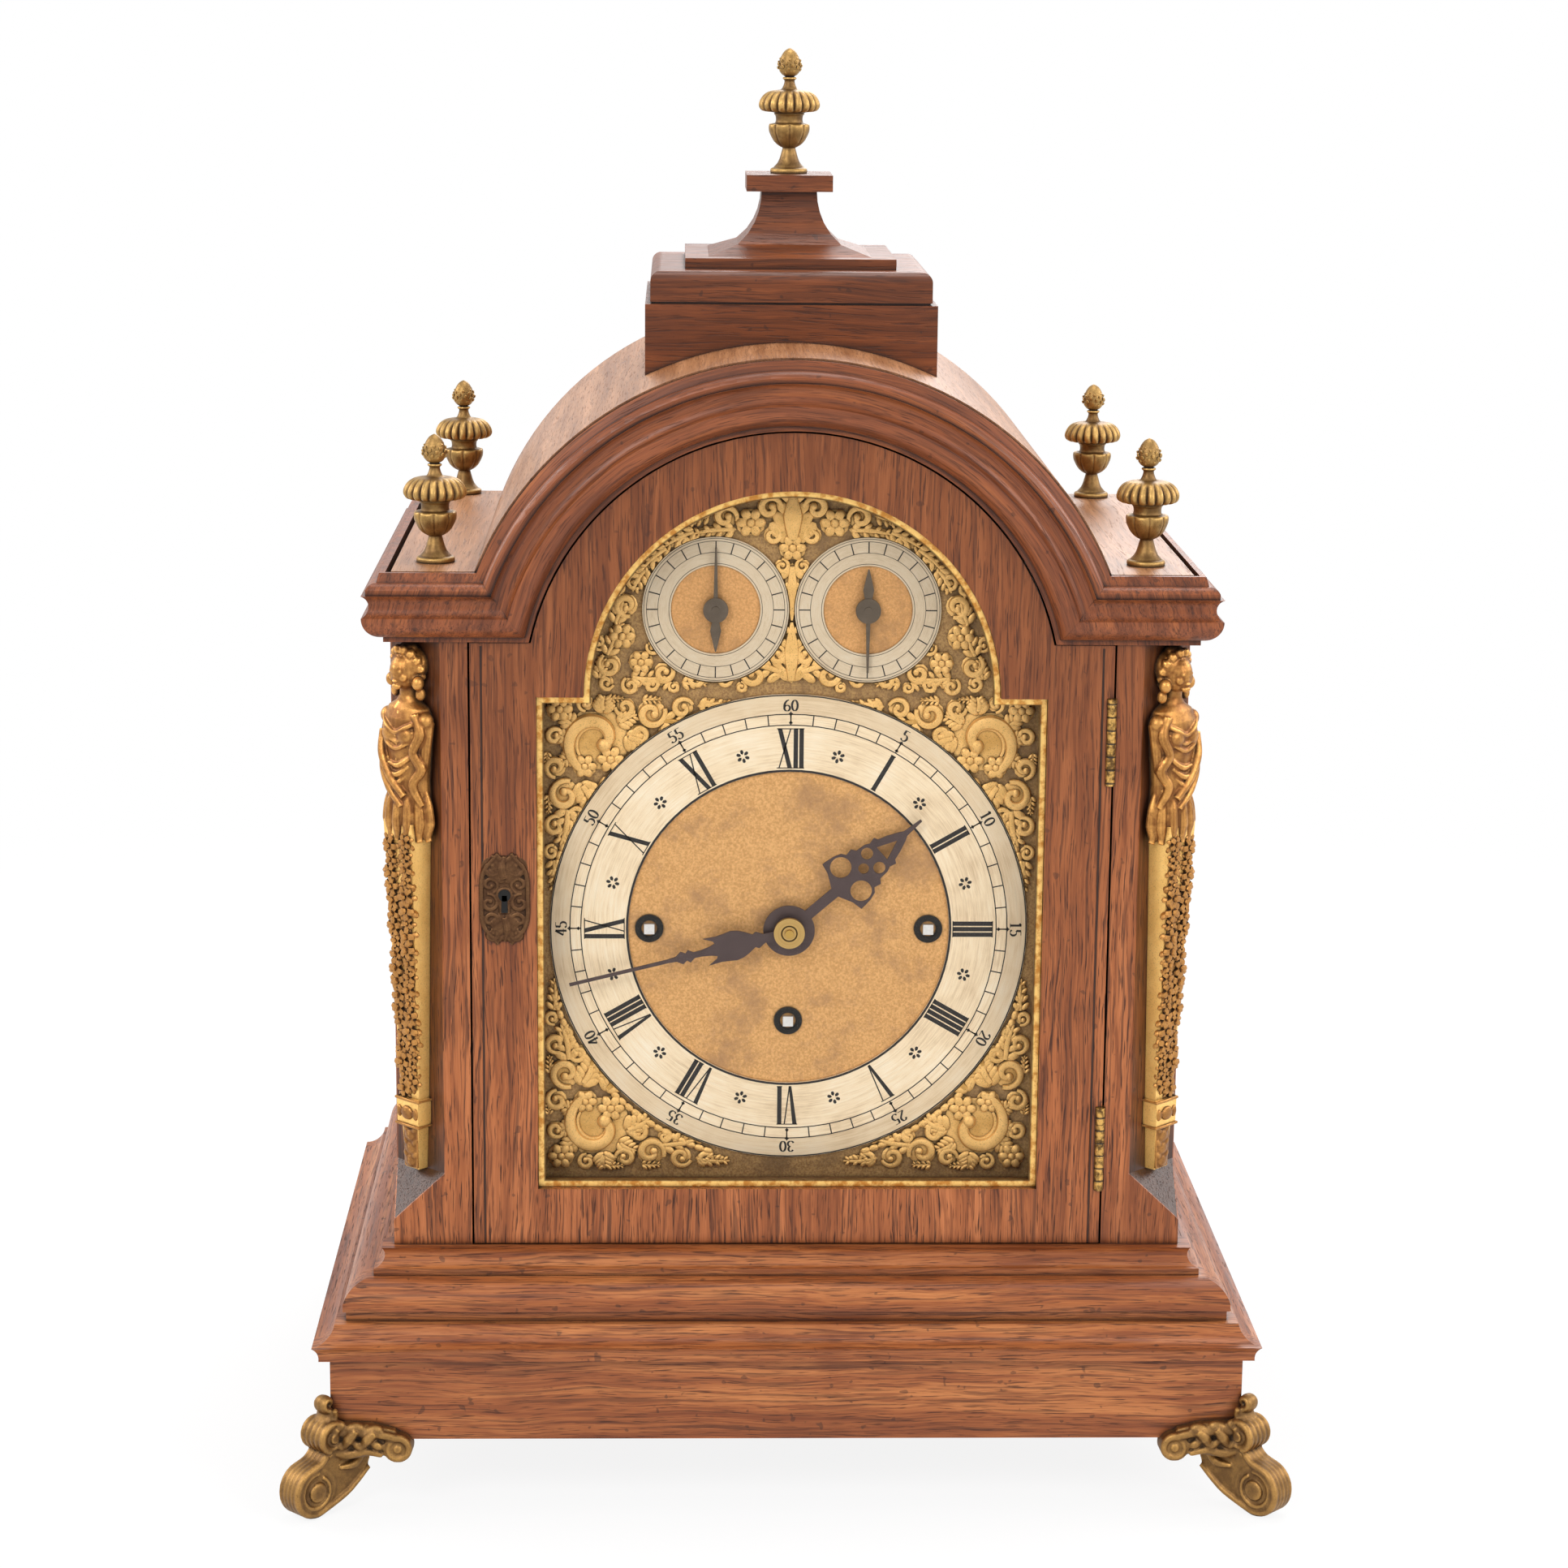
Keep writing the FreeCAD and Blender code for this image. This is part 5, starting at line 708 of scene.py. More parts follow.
def placed(mesh, matrix):
    """A copy of a mesh, moved by a matrix whose shift is in millimetres."""
    moved = mesh.copy()
    matrix = matrix.copy()
    matrix.translation *= MM
    moved.transform(matrix)
    if matrix.determinant() < 0:
        moved.flip_normals()
    return moved


def joined(name, meshes):
    """Several meshes as one."""
    shape = bmesh.new()
    for mesh in meshes:
        shape.from_mesh(mesh)
    made = bpy.data.meshes.new(name)
    shape.to_mesh(made)
    shape.free()
    return made


def shift(x, y, z):
    return Matrix.Translation((x, y, z))


def about(axis, degrees):
    return Matrix.Rotation(math.radians(degrees), 4, axis)


# Geometry node trees for what repeats


class Tree(Nodes):
    """A geometry node tree with named inputs."""

    def __init__(self, name, **inputs):
        super().__init__(bpy.data.node_groups.new(name, "GeometryNodeTree"))
        self.ids = {}
        for label, kind in inputs.items():
            made = self.tree.interface.new_socket(label, in_out="INPUT",
                                                  socket_type="NodeSocket" + kind)
            self.ids[label] = made.identifier
        self.tree.interface.new_socket("Geometry", in_out="OUTPUT",
                                       socket_type="NodeSocketGeometry")
        given = self.tree.nodes.new("NodeGroupInput").outputs
        self.given = {label: Value(self, given[label]) for label in inputs}

    def source(self, label):
        """The mesh of the object that an input names."""
        return self.node("GeometryNodeObjectInfo", {}, {"Object": self.given[label]}, "Geometry")

    def facing(self, way):
        """A turn about the upright axis that brings +X to face this way."""
        return self.node("FunctionNodeAlignRotationToVector", {"axis": "X", "pivot_axis": "Z"},
                         {"Vector": way})

    def chance(self, low, high, seed):
        """A number between two others that differs from copy to copy."""
        return self.node("FunctionNodeRandomValue", {"data_type": "FLOAT"},
                         {2: low, 3: high, "Seed": seed}, 1)

    def copies(self, label, points, turn, size=(1.0, 1.0, 1.0)):
        """A copy of an input's object on each of the points."""
        return self.node("GeometryNodeInstanceOnPoints", {},
                         {"Points": points, "Instance": self.source(label), "Rotation": turn,
                          "Scale": size})

    def finish(self, instances):
        """Ends the tree: real copies, in their finish."""
        real = self.node("GeometryNodeRealizeInstances", {}, {0: instances})
        coated = self.node("GeometryNodeSetMaterial", {}, {"Geometry": real,
                                                           "Material": self.given["Finish"]})
        self.node("NodeGroupOutput", {}, {0: coated})
        return self

    def grow(self, name, **values):
        """The tree's result with these inputs, as a plain mesh."""
        carrier = bpy.data.objects.new(name + "_carrier", bpy.data.meshes.new(name))
        bpy.context.scene.collection.objects.link(carrier)
        growth = carrier.modifiers.new("growth", "NODES")
        growth.node_group = self.tree
        for label, value in values.items():
            growth[self.ids[label]] = value
        made = bpy.data.meshes.new_from_object(carrier.evaluated_get(
            bpy.context.evaluated_depsgraph_get()))
        carrier.modifiers.clear()
        bpy.data.objects.remove(carrier)
        return made


def ring_tree():
    """Copies of one piece round a circle: count, radius, the angle of the first, and where."""
    tree = Tree("round_a_circle", Piece="Object", Count="Int", Radius="Float", First="Float",
                Tilt="Vector", Centre="Vector", Finish="Material")
    given = tree.given
    circle = tree.node("GeometryNodeMeshCircle", {}, {"Vertices": given["Count"],
                                                      "Radius": given["Radius"]})
    place = tree.node("GeometryNodeInputPosition", {}, {})
    copies = tree.copies("Piece", circle, tree.facing(place))
    turn = tree.node("ShaderNodeCombineXYZ", {}, {2: given["First"]})
    turned = tree.node("GeometryNodeTransform", {}, {"Geometry": copies, "Rotation": turn})
    moved = tree.node("GeometryNodeTransform", {}, {"Geometry": turned,
                                                    "Translation": given["Centre"],
                                                    "Rotation": given["Tilt"]})
    return tree.finish(moved)


def spiral_tree():
    """Scales on an egg-shaped core, each turned by the golden angle from the one below."""
    tree = Tree("scales_on_a_core", Piece="Object", Count="Int", Radius="Float", High="Float",
                Finish="Material")
    given = tree.given
    line = tree.node("GeometryNodeMeshLine", {}, {"Count": given["Count"],
                                                  "Offset": (0.0, 0.0, 0.0)})
    index = tree.node("GeometryNodeInputIndex", {}, {})
    angle = index * GOLDEN_ANGLE
    share = index.maths("DIVIDE", given["Count"])
    belly = ((share + 0.06).maths("POWER", 0.72) * (math.pi * 0.96)).maths("SINE")
    radius = belly * given["Radius"]
    across, depth = angle.maths("COSINE") * radius, angle.maths("SINE") * radius
    place = tree.node("ShaderNodeCombineXYZ", {}, {0: across, 1: depth, 2: share * given["High"]})
    points = tree.node("GeometryNodeSetPosition", {}, {"Geometry": line, "Position": place})
    away = tree.node("ShaderNodeCombineXYZ", {}, {0: across, 1: depth})
    return tree.finish(tree.copies("Piece", points, tree.facing(away), belly * 0.65 + 0.35))


def garland_tree():
    """Flowers and leaves on a mesh path, turned and sized by a fixed seed."""
    tree = Tree("garland", Path="Object", Flower="Object", Leaf="Object", Seed="Int",
                Finish="Material")
    seed = tree.given["Seed"]
    size = tree.chance(0.75, 1.15, seed)
    kinds = []
    for extra, label in enumerate(("Flower", "Leaf")):
        spin = tree.chance(-3.1, 3.1, seed + extra)
        turn = tree.node("ShaderNodeCombineXYZ", {}, {1: spin})
        kinds.append(tree.copies(label, tree.source("Path"), turn, size))
    return tree.finish(tree.node("GeometryNodeJoinGeometry", {}, {0: kinds}))


ROUND = ring_tree()
SCALES = spiral_tree()
GARLAND = garland_tree()


def pattern(name, mesh):
    """An object whose mesh the trees repeat; it is taken away once they have run."""
    made = bpy.data.objects.new(name, mesh)
    bpy.context.scene.collection.objects.link(made)
    return made


# Flat work: numerals and marks, cut from sheet and seen from the front


class Sheet:
    """Flat shapes in the front view, u to the right and v up, between two depths."""

    def __init__(self, back, front):
        self.back = back
        self.front = front
        self.casting = Casting()

    def strip(self, left, right):
        """A bar between two lines of points, left and right."""
        rows = []
        for (u, v), (s, t) in zip(left, right):
            rows.append([(u, self.back, v), (s, self.back, t), (s, self.front, t),
                         (u, self.front, v)])
        self.casting.grid([[Vector(point) for point in row] for row in rows])

    def bar(self, bottom, top, wide, wide_top=None):
        half, half_top = wide / 2, (wide if wide_top is None else wide_top) / 2
        self.strip([(bottom[0] - half, bottom[1]), (top[0] - half_top, top[1])],
                   [(bottom[0] + half, bottom[1]), (top[0] + half_top, top[1])])

    def pen(self, path, thin, thick):
        """A stroke along a path, thick where it runs up and down."""
        left, right = [], []
        for index, point in enumerate(path):
            forward = (path[min(index + 1, len(path) - 1)] - path[max(index - 1, 0)]).normalized()
            half = (thin + (thick - thin) * abs(forward.y)) / 2
            side = Vector((forward.y, -forward.x)) * half
            left.append(tuple(point - side))
            right.append(tuple(point + side))
        self.strip(left, right)


def arc(centre, size, start, end, steps=14):
    """Points of part of an ellipse, angles clockwise from the top."""
    return [Vector((centre[0] + size[0] * math.sin(math.radians(a)),
                    centre[1] + size[1] * math.cos(math.radians(a))))
            for a in (start + (end - start) * index / steps for index in range(steps + 1))]


def line(*points):
    return [Vector(point) for point in points]


# Digits in a box one high, as the strokes of a broad pen
DIGITS = {
    "0": [arc((0.3, 0.5), (0.24, 0.46), 0, 360, 24)],
    "1": [line((0.3, 0.02), (0.3, 0.98)), line((0.12, 0.82), (0.3, 0.98)),
          line((0.12, 0.02), (0.48, 0.02))],
    "2": [arc((0.3, 0.7), (0.22, 0.27), -80, 120) + line((0.06, 0.04)),
          line((0.04, 0.04), (0.56, 0.04))],
    "3": [arc((0.27, 0.74), (0.2, 0.23), -70, 175), arc((0.27, 0.27), (0.25, 0.25), 0, 250)],
    "4": [line((0.42, 0.98), (0.03, 0.3)), line((0.03, 0.3), (0.6, 0.3)),
          line((0.42, 0.98), (0.42, 0.02))],
    "5": [line((0.14, 0.96), (0.52, 0.96)), line((0.14, 0.96), (0.12, 0.56)),
          arc((0.27, 0.3), (0.26, 0.28), -35, 240)],
    "6": [arc((0.3, 0.27), (0.24, 0.25), 0, 360, 20),
          arc((0.5, 0.4), (0.44, 0.58), -95, -5)],
}
NUMERALS = ["XII", "I", "II", "III", "IIII", "V", "VI", "VII", "VIII", "IX", "X", "XI"]


def roman(sheet, text):
    """A Roman numeral, its middle on the axis and its foot on the numeral circle."""
    left = -sum(LETTER_WIDE[letter] for letter in text) / 2
    low, high = NUMERAL_LOW, NUMERAL_HIGH
    for letter in text:
        wide = LETTER_WIDE[letter]
        right, middle = left + wide, left + wide / 2
        if letter == "I":
            sheet.bar((middle, low), (middle, high), THICK)
        elif letter == "V":
            sheet.bar((middle, low), (left + 1.4, high), THICK * 0.6, THICK)
            sheet.bar((middle + 0.3, low), (right - 1.1, high), THIN)
        else:
            sheet.bar((right - 1.4, low), (left + 1.4, high), THICK)
            sheet.bar((left + 1.1, low), (right - 1.1, high), THIN)
        for v in (low, high - SERIF):
            if letter != "V" or v > low:
                sheet.strip([(left + 0.05, v), (left + 0.05, v + SERIF)],
                            [(right - 0.05, v), (right - 0.05, v + SERIF)])
        left = right


def turned_in_front(casting, clockwise, x, z):
    """A casting turned clockwise about a point of the dial, as seen from the front."""
    made = Casting()
    made.merge(casting, shift(x, 0, z) @ about("Y", clockwise))
    return made


def mark_mesh(name, outline):
    """A flat mark for the ring tree: outward is +X, and +Z turns to the front."""
    made = Casting()
    made.grid([[Vector((u, v, depth)) for u, v in outline] for depth in (0, MARK_THICK)])
    return made.mesh(name)


def chapter_marks():
    """The engraved and waxed figures and lines of the chapter ring."""
    face = RINGS_Y
    proud = face - 0.06
    numerals = Casting()
    for hour, text in enumerate(NUMERALS):
        sheet = Sheet(face + 0.02, proud)
        roman(sheet, text)
        numerals.merge(turned_in_front(sheet.casting, 30 * hour, 0, DIAL_Z))
    piece("hour_numerals", numerals.mesh("hour_numerals"), WAX, "case", "silvered")

    figures = Casting()
    high = MINUTE_HIGH
    for step in range(12):
        text = str(5 * step or 60)
        sheet = Sheet(face + 0.02, proud)
        start = -DIGIT_WIDE * high * len(text) / 2
        for letter in text:
            for path in DIGITS[letter]:
                strokes = [Vector((start + (p.x + 0.03) * high, MINUTE_LOW + p.y * high))
                           for p in path]
                sheet.pen(strokes, PEN_THIN, PEN_THICK)
            start += DIGIT_WIDE * high
        figures.merge(turned_in_front(sheet.casting, 30 * step, 0, DIAL_Z))
    piece("minute_figures", figures.mesh("minute_figures"), WAX, "case", "silvered")

    centre = (0, face * MM + 0.02 * MM, DIAL_Z * MM)
    tilt = (math.radians(90), 0, 0)
    rules = Casting()
    for radius, wide in ((TRACK_INNER, 0.5), (TRACK_OUTER, 0.5), (RING_OUTER - 0.4, 0.6),
                         (RING_INNER + 0.6, 1.1)):
        rules.merge(flat_ring(radius - wide / 2, radius + wide / 2, face + 0.02, proud, 0, DIAL_Z))
    tick = pattern("tick", mark_mesh("tick", [(-2.65, -0.28), (2.65, -0.28), (2.65, 0.28),
                                              (-2.65, 0.28)]))
    arrow = pattern("arrow", mark_mesh("arrow", [
        (-2.2, -1.0), (-1.2, -0.25), (1.6, -0.35), (2.3, -1.2), (2.9, -0.4), (3.6, 0),
        (2.9, 0.4), (2.3, 1.2), (1.6, 0.35), (-1.2, 0.25), (-2.2, 1.0), (-2.8, 0)]))
    star = pattern("star", star_mesh())
    meshes = [rules.mesh("rules")]
    for name, mark, count, radius, first in (
            ("ticks", tick, 60, (TRACK_INNER + TRACK_OUTER) / 2, 0),
            ("arrows", arrow, 12, ARROW_CIRCLE, 0), ("stars", star, 12, STAR_CIRCLE, 15)):
        meshes.append(ROUND.grow(name, Piece=mark, Count=count, Radius=radius * MM,
                                 First=math.radians(first), Tilt=tilt, Centre=centre, Finish=WAX))
    piece("minute_track", joined("minute_track", meshes), WAX, "case", "silvered")

    small = []
    for x in (-SUBDIAL_X, SUBDIAL_X):
        here = (x * MM, face * MM + 0.02 * MM, SUBDIAL_Z * MM)
        middle = (SMALL_TRACK_INNER + SMALL_TRACK_OUTER) / 2
        small.append(ROUND.grow("small_ticks", Piece=tick, Count=24, Radius=middle * MM,
                                First=0.0, Tilt=tilt, Centre=here, Finish=WAX))
        for radius in (SUBDIAL_OUTER - 0.7, SUBDIAL_INNER + 0.9, SMALL_TRACK_OUTER,
                       SMALL_TRACK_INNER):
            ring = flat_ring(radius - 0.12, radius + 0.12, face + 0.02, proud, x, SUBDIAL_Z)
            small.append(ring.mesh("small_rule"))
    piece("small_dial_marks", joined("small_dial_marks", small), WAX, "case", "silvered")
    for unused in (tick, arrow, star):
        bpy.data.objects.remove(unused)


def flat_ring(inner, outer, back, front, x, z, steps=96):
    """A flat ring in the front view."""
    made = Casting()
    rows = []
    for index in range(steps + 1):
        a = math.tau * index / steps
        rows.append([Vector((x + r * math.sin(a), y, z + r * math.cos(a)))
                     for r, y in ((inner, back), (outer, back), (outer, front), (inner, front))])
    made.grid(rows)
    made.faces = made.faces[:-2]
    return made


def star_mesh():
    """A half-hour mark: six small lobes that leave a gap in their middle."""
    made = Casting()
    for lobe in range(6):
        a = math.tau * lobe / 6
        away, side = Vector((math.cos(a), math.sin(a))), Vector((-math.sin(a), math.cos(a)))
        outline = [away * 0.9, away * 1.7 + side * 0.75, away * 2.9 + side * 0.7, away * 3.3,
                   away * 2.9 - side * 0.7, away * 1.7 - side * 0.75]
        made.grid([[Vector((p.x, p.y, depth)) for p in outline]
                   for depth in (0, MARK_THICK)])
    return made.mesh("star")


def dial_centre():
    """The matted gilt disc inside the chapter ring, with the collets of the winding holes, whose
    near-black rings are also painted shade of the holes, which the disc leaves unpierced.
    """
    disc = Casting()
    disc.merge(flat_ring(WINDING_HOLE - 0.4, RING_INNER - 0.02, DIAL_Y - 0.02, DIAL_Y - 0.35, 0,
                         DIAL_Z, 128))
    # near-black rings round the winding squares: collets, and painted shade of the unpierced holes
    collets = Casting()
    for x, z in winding_places():
        for inner, outer, front in ((4.6, 6.9, 1.5), (3.9, 4.7, 0.9)):
            collets.merge(flat_ring(inner, outer, DIAL_Y - 0.1, DIAL_Y - front, x, z, 40))
    return disc, collets


def winding_places():
    return [(-WINDING_X, DIAL_Z), (WINDING_X, DIAL_Z), (0, DIAL_Z - WINDING_DROP)]


def small_dial_centres():
    """The gilt discs in the two small dials, each with a hole under its pointer."""
    made = Casting()
    for x in (-SUBDIAL_X, SUBDIAL_X):
        made.merge(flat_ring(2.4, SUBDIAL_INNER - 0.02, DIAL_Y - 0.02, DIAL_Y - 0.6, x,
                             SUBDIAL_Z, 64))
    piece("small_dial_centres", made.mesh("small_dial_centres"), SMALL_GILT, "case", "brass")


# Finials


def finial_profile():
    """Half the finial's outline from its foot to the core of its pine top."""
    foot = [(9.0, 0), (9.2, 0.8), (9.1, 2.0), (8.4, 2.6), (7.6, 2.9), (7.0, 3.6), (5.6, 5.2),
            (4.6, 7.4), (3.9, 9.8), (3.3, 12.0), (3.3, 12.6)]
    urn = [(4.2, 13.0), (6.2, 14.2), (8.2, 16.3), (9.6, 19.2), (10.3, 21.4), (10.4, 23.2),
           (9.8, 24.2), (7.4, 24.6)]
    collar = [(6.8, 25.2), (6.6, 26.6), (6.9, 28.4), (7.5, 29.0), (7.4, 29.6)]
    bowl = [(8.6, 30.0), (11.2, 30.6), (13.6, 31.3), (15.0, 32.6), (15.1, 34.2), (14.5, 36.0),
            (13.0, 38.2), (10.6, 39.9), (7.4, 40.7), (4.4, 41.0)]
    neck = [(3.3, 42.4), (2.6, 44.4), (2.6, 45.6), (3.4, 46.3), (3.2, 47.0), (2.2, 47.4),
            (3.6, 48.2), (5.0, 50.0), (5.4, 52.6), (5.0, 55.2), (4.0, 57.8), (2.4, 60.0),
            (0.4, 61.2)]
    corners = [(r, 0, z) for part in (foot, urn, collar, bowl, neck) for r, z in part]
    return [(p.x, p.z) for p in smooth_path(corners, 2)]


def finial_wave(angle, radius, height):
    """Lobes round the bowl, that hang below its edge, and leaves round the urn."""
    if 30 < height < 41:
        lobe = abs(math.cos(10 * angle)) ** 0.7
        share = min(1, (height - 30) / 2, (41 - height) / 2) * min(1, radius / 11)
        low = max(0, 1 - (height - 30) / 3) * max(0, (radius - 9) / 6)
        return radius * (1 - 0.11 * share * (1 - lobe)), height - 1.3 * lobe * low
    if 13 < height < 24:
        leaf = abs(math.sin(4 * angle)) ** 0.6
        tip = max(0, math.cos(8 * angle)) * max(0, 1 - abs(height - 20) / 3)
        return radius * (0.93 + 0.07 * leaf + 0.04 * tip), height
    return radius, height


def finials():
    """Five gilt urns with hanging fluted bowls and pine tops."""
    body = Casting()
    body.lathe(finial_profile(), 120, finial_wave)
    scale = Casting()
    scale.ball((0.2, 0, 0.3), (0.75, 0.95, 1.15), 25, 4)
    source = pattern("scale", scale.mesh("scale"))
    scales = SCALES.grow("scales", Piece=source, Count=64, Radius=5.5 * MM, High=13.0 * MM,
                         Finish=FINIAL_BRASS)
    bpy.data.objects.remove(source)
    scales.transform(shift(0, 0, 47.9 * MM))
    whole = joined("finial", [body.mesh("finial_body"), scales])
    for name in ("top", "front_left", "front_right", "back_left", "back_right"):
        node = "finial_" + name
        low, high = span(node)
        middle = (low + high) / 2
        fit = (high.z - low.z) / FINIAL_HIGH
        matrix = shift(middle.x, middle.y, low.z) @ Matrix.Diagonal((1, 1, fit, 1))
        piece(node + "_urn", placed(whole, matrix), FINIAL_BRASS, "case", "gilt", node)


# Feet


def spiral(centre, radius, start, turns, sense, shrink):
    """Points of a spiral that shrinks to a share of its radius, as distance out and height."""
    points = []
    steps = 26
    for index in range(steps + 1):
        share = index / steps
        angle = math.radians(start) + sense * math.tau * turns * share
        r = radius * (1 - share * (1 - shrink))
        points.append((centre[0] + r * math.cos(angle), centre[1] + r * math.sin(angle)))
    return points


def foot_casting():
    """A scroll foot at the front right corner: its origin is the plinth's corner on the floor."""
    made = Casting()
    out = Vector((math.sqrt(0.5), -math.sqrt(0.5), 0))
    aside = Vector((math.sqrt(0.5), math.sqrt(0.5), 0))
    up = Vector((0, 0, 1))

    def at(point, side):
        return out * point[0] + up * point[1] + aside * side

    toe, ear = (14.2, 13.6), (4.2, 38.6)
    leg = [(6, 29.5), (-6, 31.5), (-18, 33), (-20.5, 24), (-18, 17), (-6, 9), (4, 3), (14, 4),
           (20, 12)]
    made.grid([[at(p, side) for p in leg] for side in (-5.6, 5.6)])
    made.tube([at(toe, -6), at(toe, 6)], [11.6, 11.6], 28)
    made.tube([at(ear, -7), at(ear, 7)], [6.6, 6.6], 22)
    heel = [(-18.5, 17.5), (-12, 12.5), (-4, 7.5)]
    rim = [(toe[0] + 11.6 * math.cos(a), toe[1] + 11.6 * math.sin(a)) for a in
           (math.radians(-112 + 22 * index) for index in range(9))]
    brow = [(ear[0] + 6.8 * math.cos(a), ear[1] + 6.8 * math.sin(a)) for a in
            (math.radians(-75 + 30 * index) for index in range(9))]
    for rib in range(5):
        side = (rib - 2) * 2.75
        path = smooth_path([at(p, side) for p in heel + rim + [(11.5, 26.5), (7.5, 30)]], 3)
        made.tube(path, [1.5, 1.7, 1.9, 1.9, 1.8], 10, 1.0, aside)
        path = smooth_path([at(p, side * 1.25) for p in brow], 3)
        made.tube(path, [1.6, 1.9, 1.9, 1.6], 10, 1.0, aside)
    for side in (-1, 1):
        made.tube([at(toe, side * 5), at(toe, side * 7.6), at(toe, side * 8.2)],
                  [4.9, 4.9, 3.4], 20)
        made.tube(smooth_path([at(p, side * 6.2) for p in spiral(toe, 9.2, 100, 0.95, -1, 0.8)],
                              1), [1.0, 1.2, 1.2, 1.0], 8, 1.0, aside)
        made.tube([at(ear, side * 6), at(ear, side * 8.8)], [2.9, 2.3], 16)
        made.tube(smooth_path([at(p, side * 7.2) for p in spiral(ear, 5.6, 60, 1.0, -1, 0.85)],
                              1), [0.9, 1.1, 0.9], 8, 1.0, aside)
        made.tube(smooth_path([at((-16, 28), side * 5.6), at((-9, 22), side * 6.2),
                               at((0, 22), side * 6.2)], 5), [2.2, 2.6, 1.0], 10)
    curl = [at(p, 0) for p in spiral((3.6, 54.6), 3.2, 260, 0.95, 1, 0.4)]
    made.tube(smooth_path([at((5.5, 44.5), 0), at((3.2, 48.5), 0)], 4) + curl,
              [2.8, 2.2, 2.0, 1.9, 1.4], 10, 2.2, aside)
    for side in (-1, 1):
        made.tube(smooth_path([at((4, 43), side * 4), at((1.5, 48.5), side * 5),
                               at((2.5, 52.5), side * 6.5)], 5), [2.0, 1.7, 1.2], 8)
    for turn in (Matrix.Identity(4), Matrix(((0, -1, 0, 0), (-1, 0, 0, 0), (0, 0, 1, 0),
                                             (0, 0, 0, 1)))):
        made.merge(arm_casting(), turn)
    return made


def arm_casting():
    """The leafy arm along the front of the plinth, from the corner to a small volute."""
    made = Casting()

    def at(x, z, proud):
        return Vector((x, -proud, z))

    volute = (-32.5, 32.0)
    outline = [(4, 43), (-8, 44.5), (-20, 44), (-31, 41), (-37, 34), (-31, 26), (-23, 29),
               (-14, 27), (-4, 26), (4, 29)]
    made.grid([[at(x, z, proud) for x, z in outline] for proud in (-6, 4.4)])
    made.tube([at(*volute, -4), at(*volute, 5.8)], [7.6, 7.0], 22)
    made.tube([at(*volute, 5), at(*volute, 6.8)], [2.4, 1.8], 14)
    end = [at(x, z, 5.4) for x, z in spiral(volute, 5.6, 80, 0.95, 1, 0.8)]
    made.tube(smooth_path([at(2, 39, 4), at(-8, 40.5, 5), at(-20, 40, 5.2), at(-28, 38.6, 5.4)],
                          4) + end, [2.2, 2.2, 1.8, 1.4, 1.2], 10, 1.0, Vector((0, -1, 0)))
    made.tube(smooth_path([at(2, 31, 4), at(-8, 29, 4.4), at(-17, 30.4, 4.6),
                           at(-25, 28.5, 4.6)], 4), [2.4, 2.6, 2.0, 1.4], 10, 1.0,
              Vector((0, -1, 0)))
    for index in range(3):
        x = -2.5 - 9.0 * index
        crest = 46.4 - 1.2 * index
        made.ball((x, -5.0, crest - 3.4), (5.4, 2.8, 3.6), 14, 10)
        made.tube(smooth_path([at(x + 5.0, 33.0, 4.8), at(x + 2.4, 37.5, 6.4),
                               at(x - 1.4, crest - 3, 7.0)], 4),
                  [1.8, 3.0, 2.0], 9, 1.0, Vector((0, -1, 0)))
        made.ball((x - 2.0, -5.4, 34.0), (3.4, 2.2, 2.2), -30, 8)
    return made


def feet():
    """The four scroll feet, each a quarter turn from the next."""
    mesh = foot_casting().fused("foot", 0.62, 2)
    corners = (("front_right", 0, 1, -1), ("back_right", 1, 1, 1), ("back_left", 2, -1, 1),
               ("front_left", 3, -1, -1))
    for name, quarter, x, y in corners:
        corner = shift(x * PLINTH_HALF, y * PLINTH_HIGH.y, 0) @ about("Z", 90 * quarter)
        piece("foot_" + name + "_scrolls", placed(mesh, corner), FOOT_BRASS, "case", "gilt",
              "foot_" + name)


# Corner figures


def flower_casting():
    made = Casting()
    for petal in range(5):
        a = math.tau * petal / 5
        made.ball((2.7 * math.cos(a), -0.6, 2.7 * math.sin(a)), (2.4, 1.5, 1.9),
                  -math.degrees(a), 4)
    made.ball((0, -2.2, 0), (1.6, 1.2, 1.6), 0, 4)
    return made


def leaf_casting():
    made = Casting()
    for side in (-1, 1):
        made.ball((side * 3.6, 0.5, -2.4), (2.6, 1.4, 1.6), side * 40, 4)
        made.ball((side * 3.4, 0.5, 2.8), (2.2, 1.2, 1.4), side * -50, 4)
    made.ball((0, 0.6, 5.2), (1.5, 1.1, 2.6), 0, 4)
    return made


def pillar_casting(low, waist):
    """The tapering pillar with plain sides, its foot and its collar band."""
    made = Casting()
    high = waist - low
    rows = []
    for share, half, front in ((0, 4.8, 0.6), (0.125, 5.8, 1.6), (0.13, 7.6, 3.2),
                               (0.20, 7.8, 3.4), (0.205, 6.6, 1.6), (0.7, 8.6, 5.0),
                               (1.0, 10.0, 7.4)):
        z = low + share * high
        rows.append([Vector((x, y, z)) for x, y in
                     ((-half, 7), (half, 7), (half, -front), (-half, -front))])
    made.grid(rows)
    return made


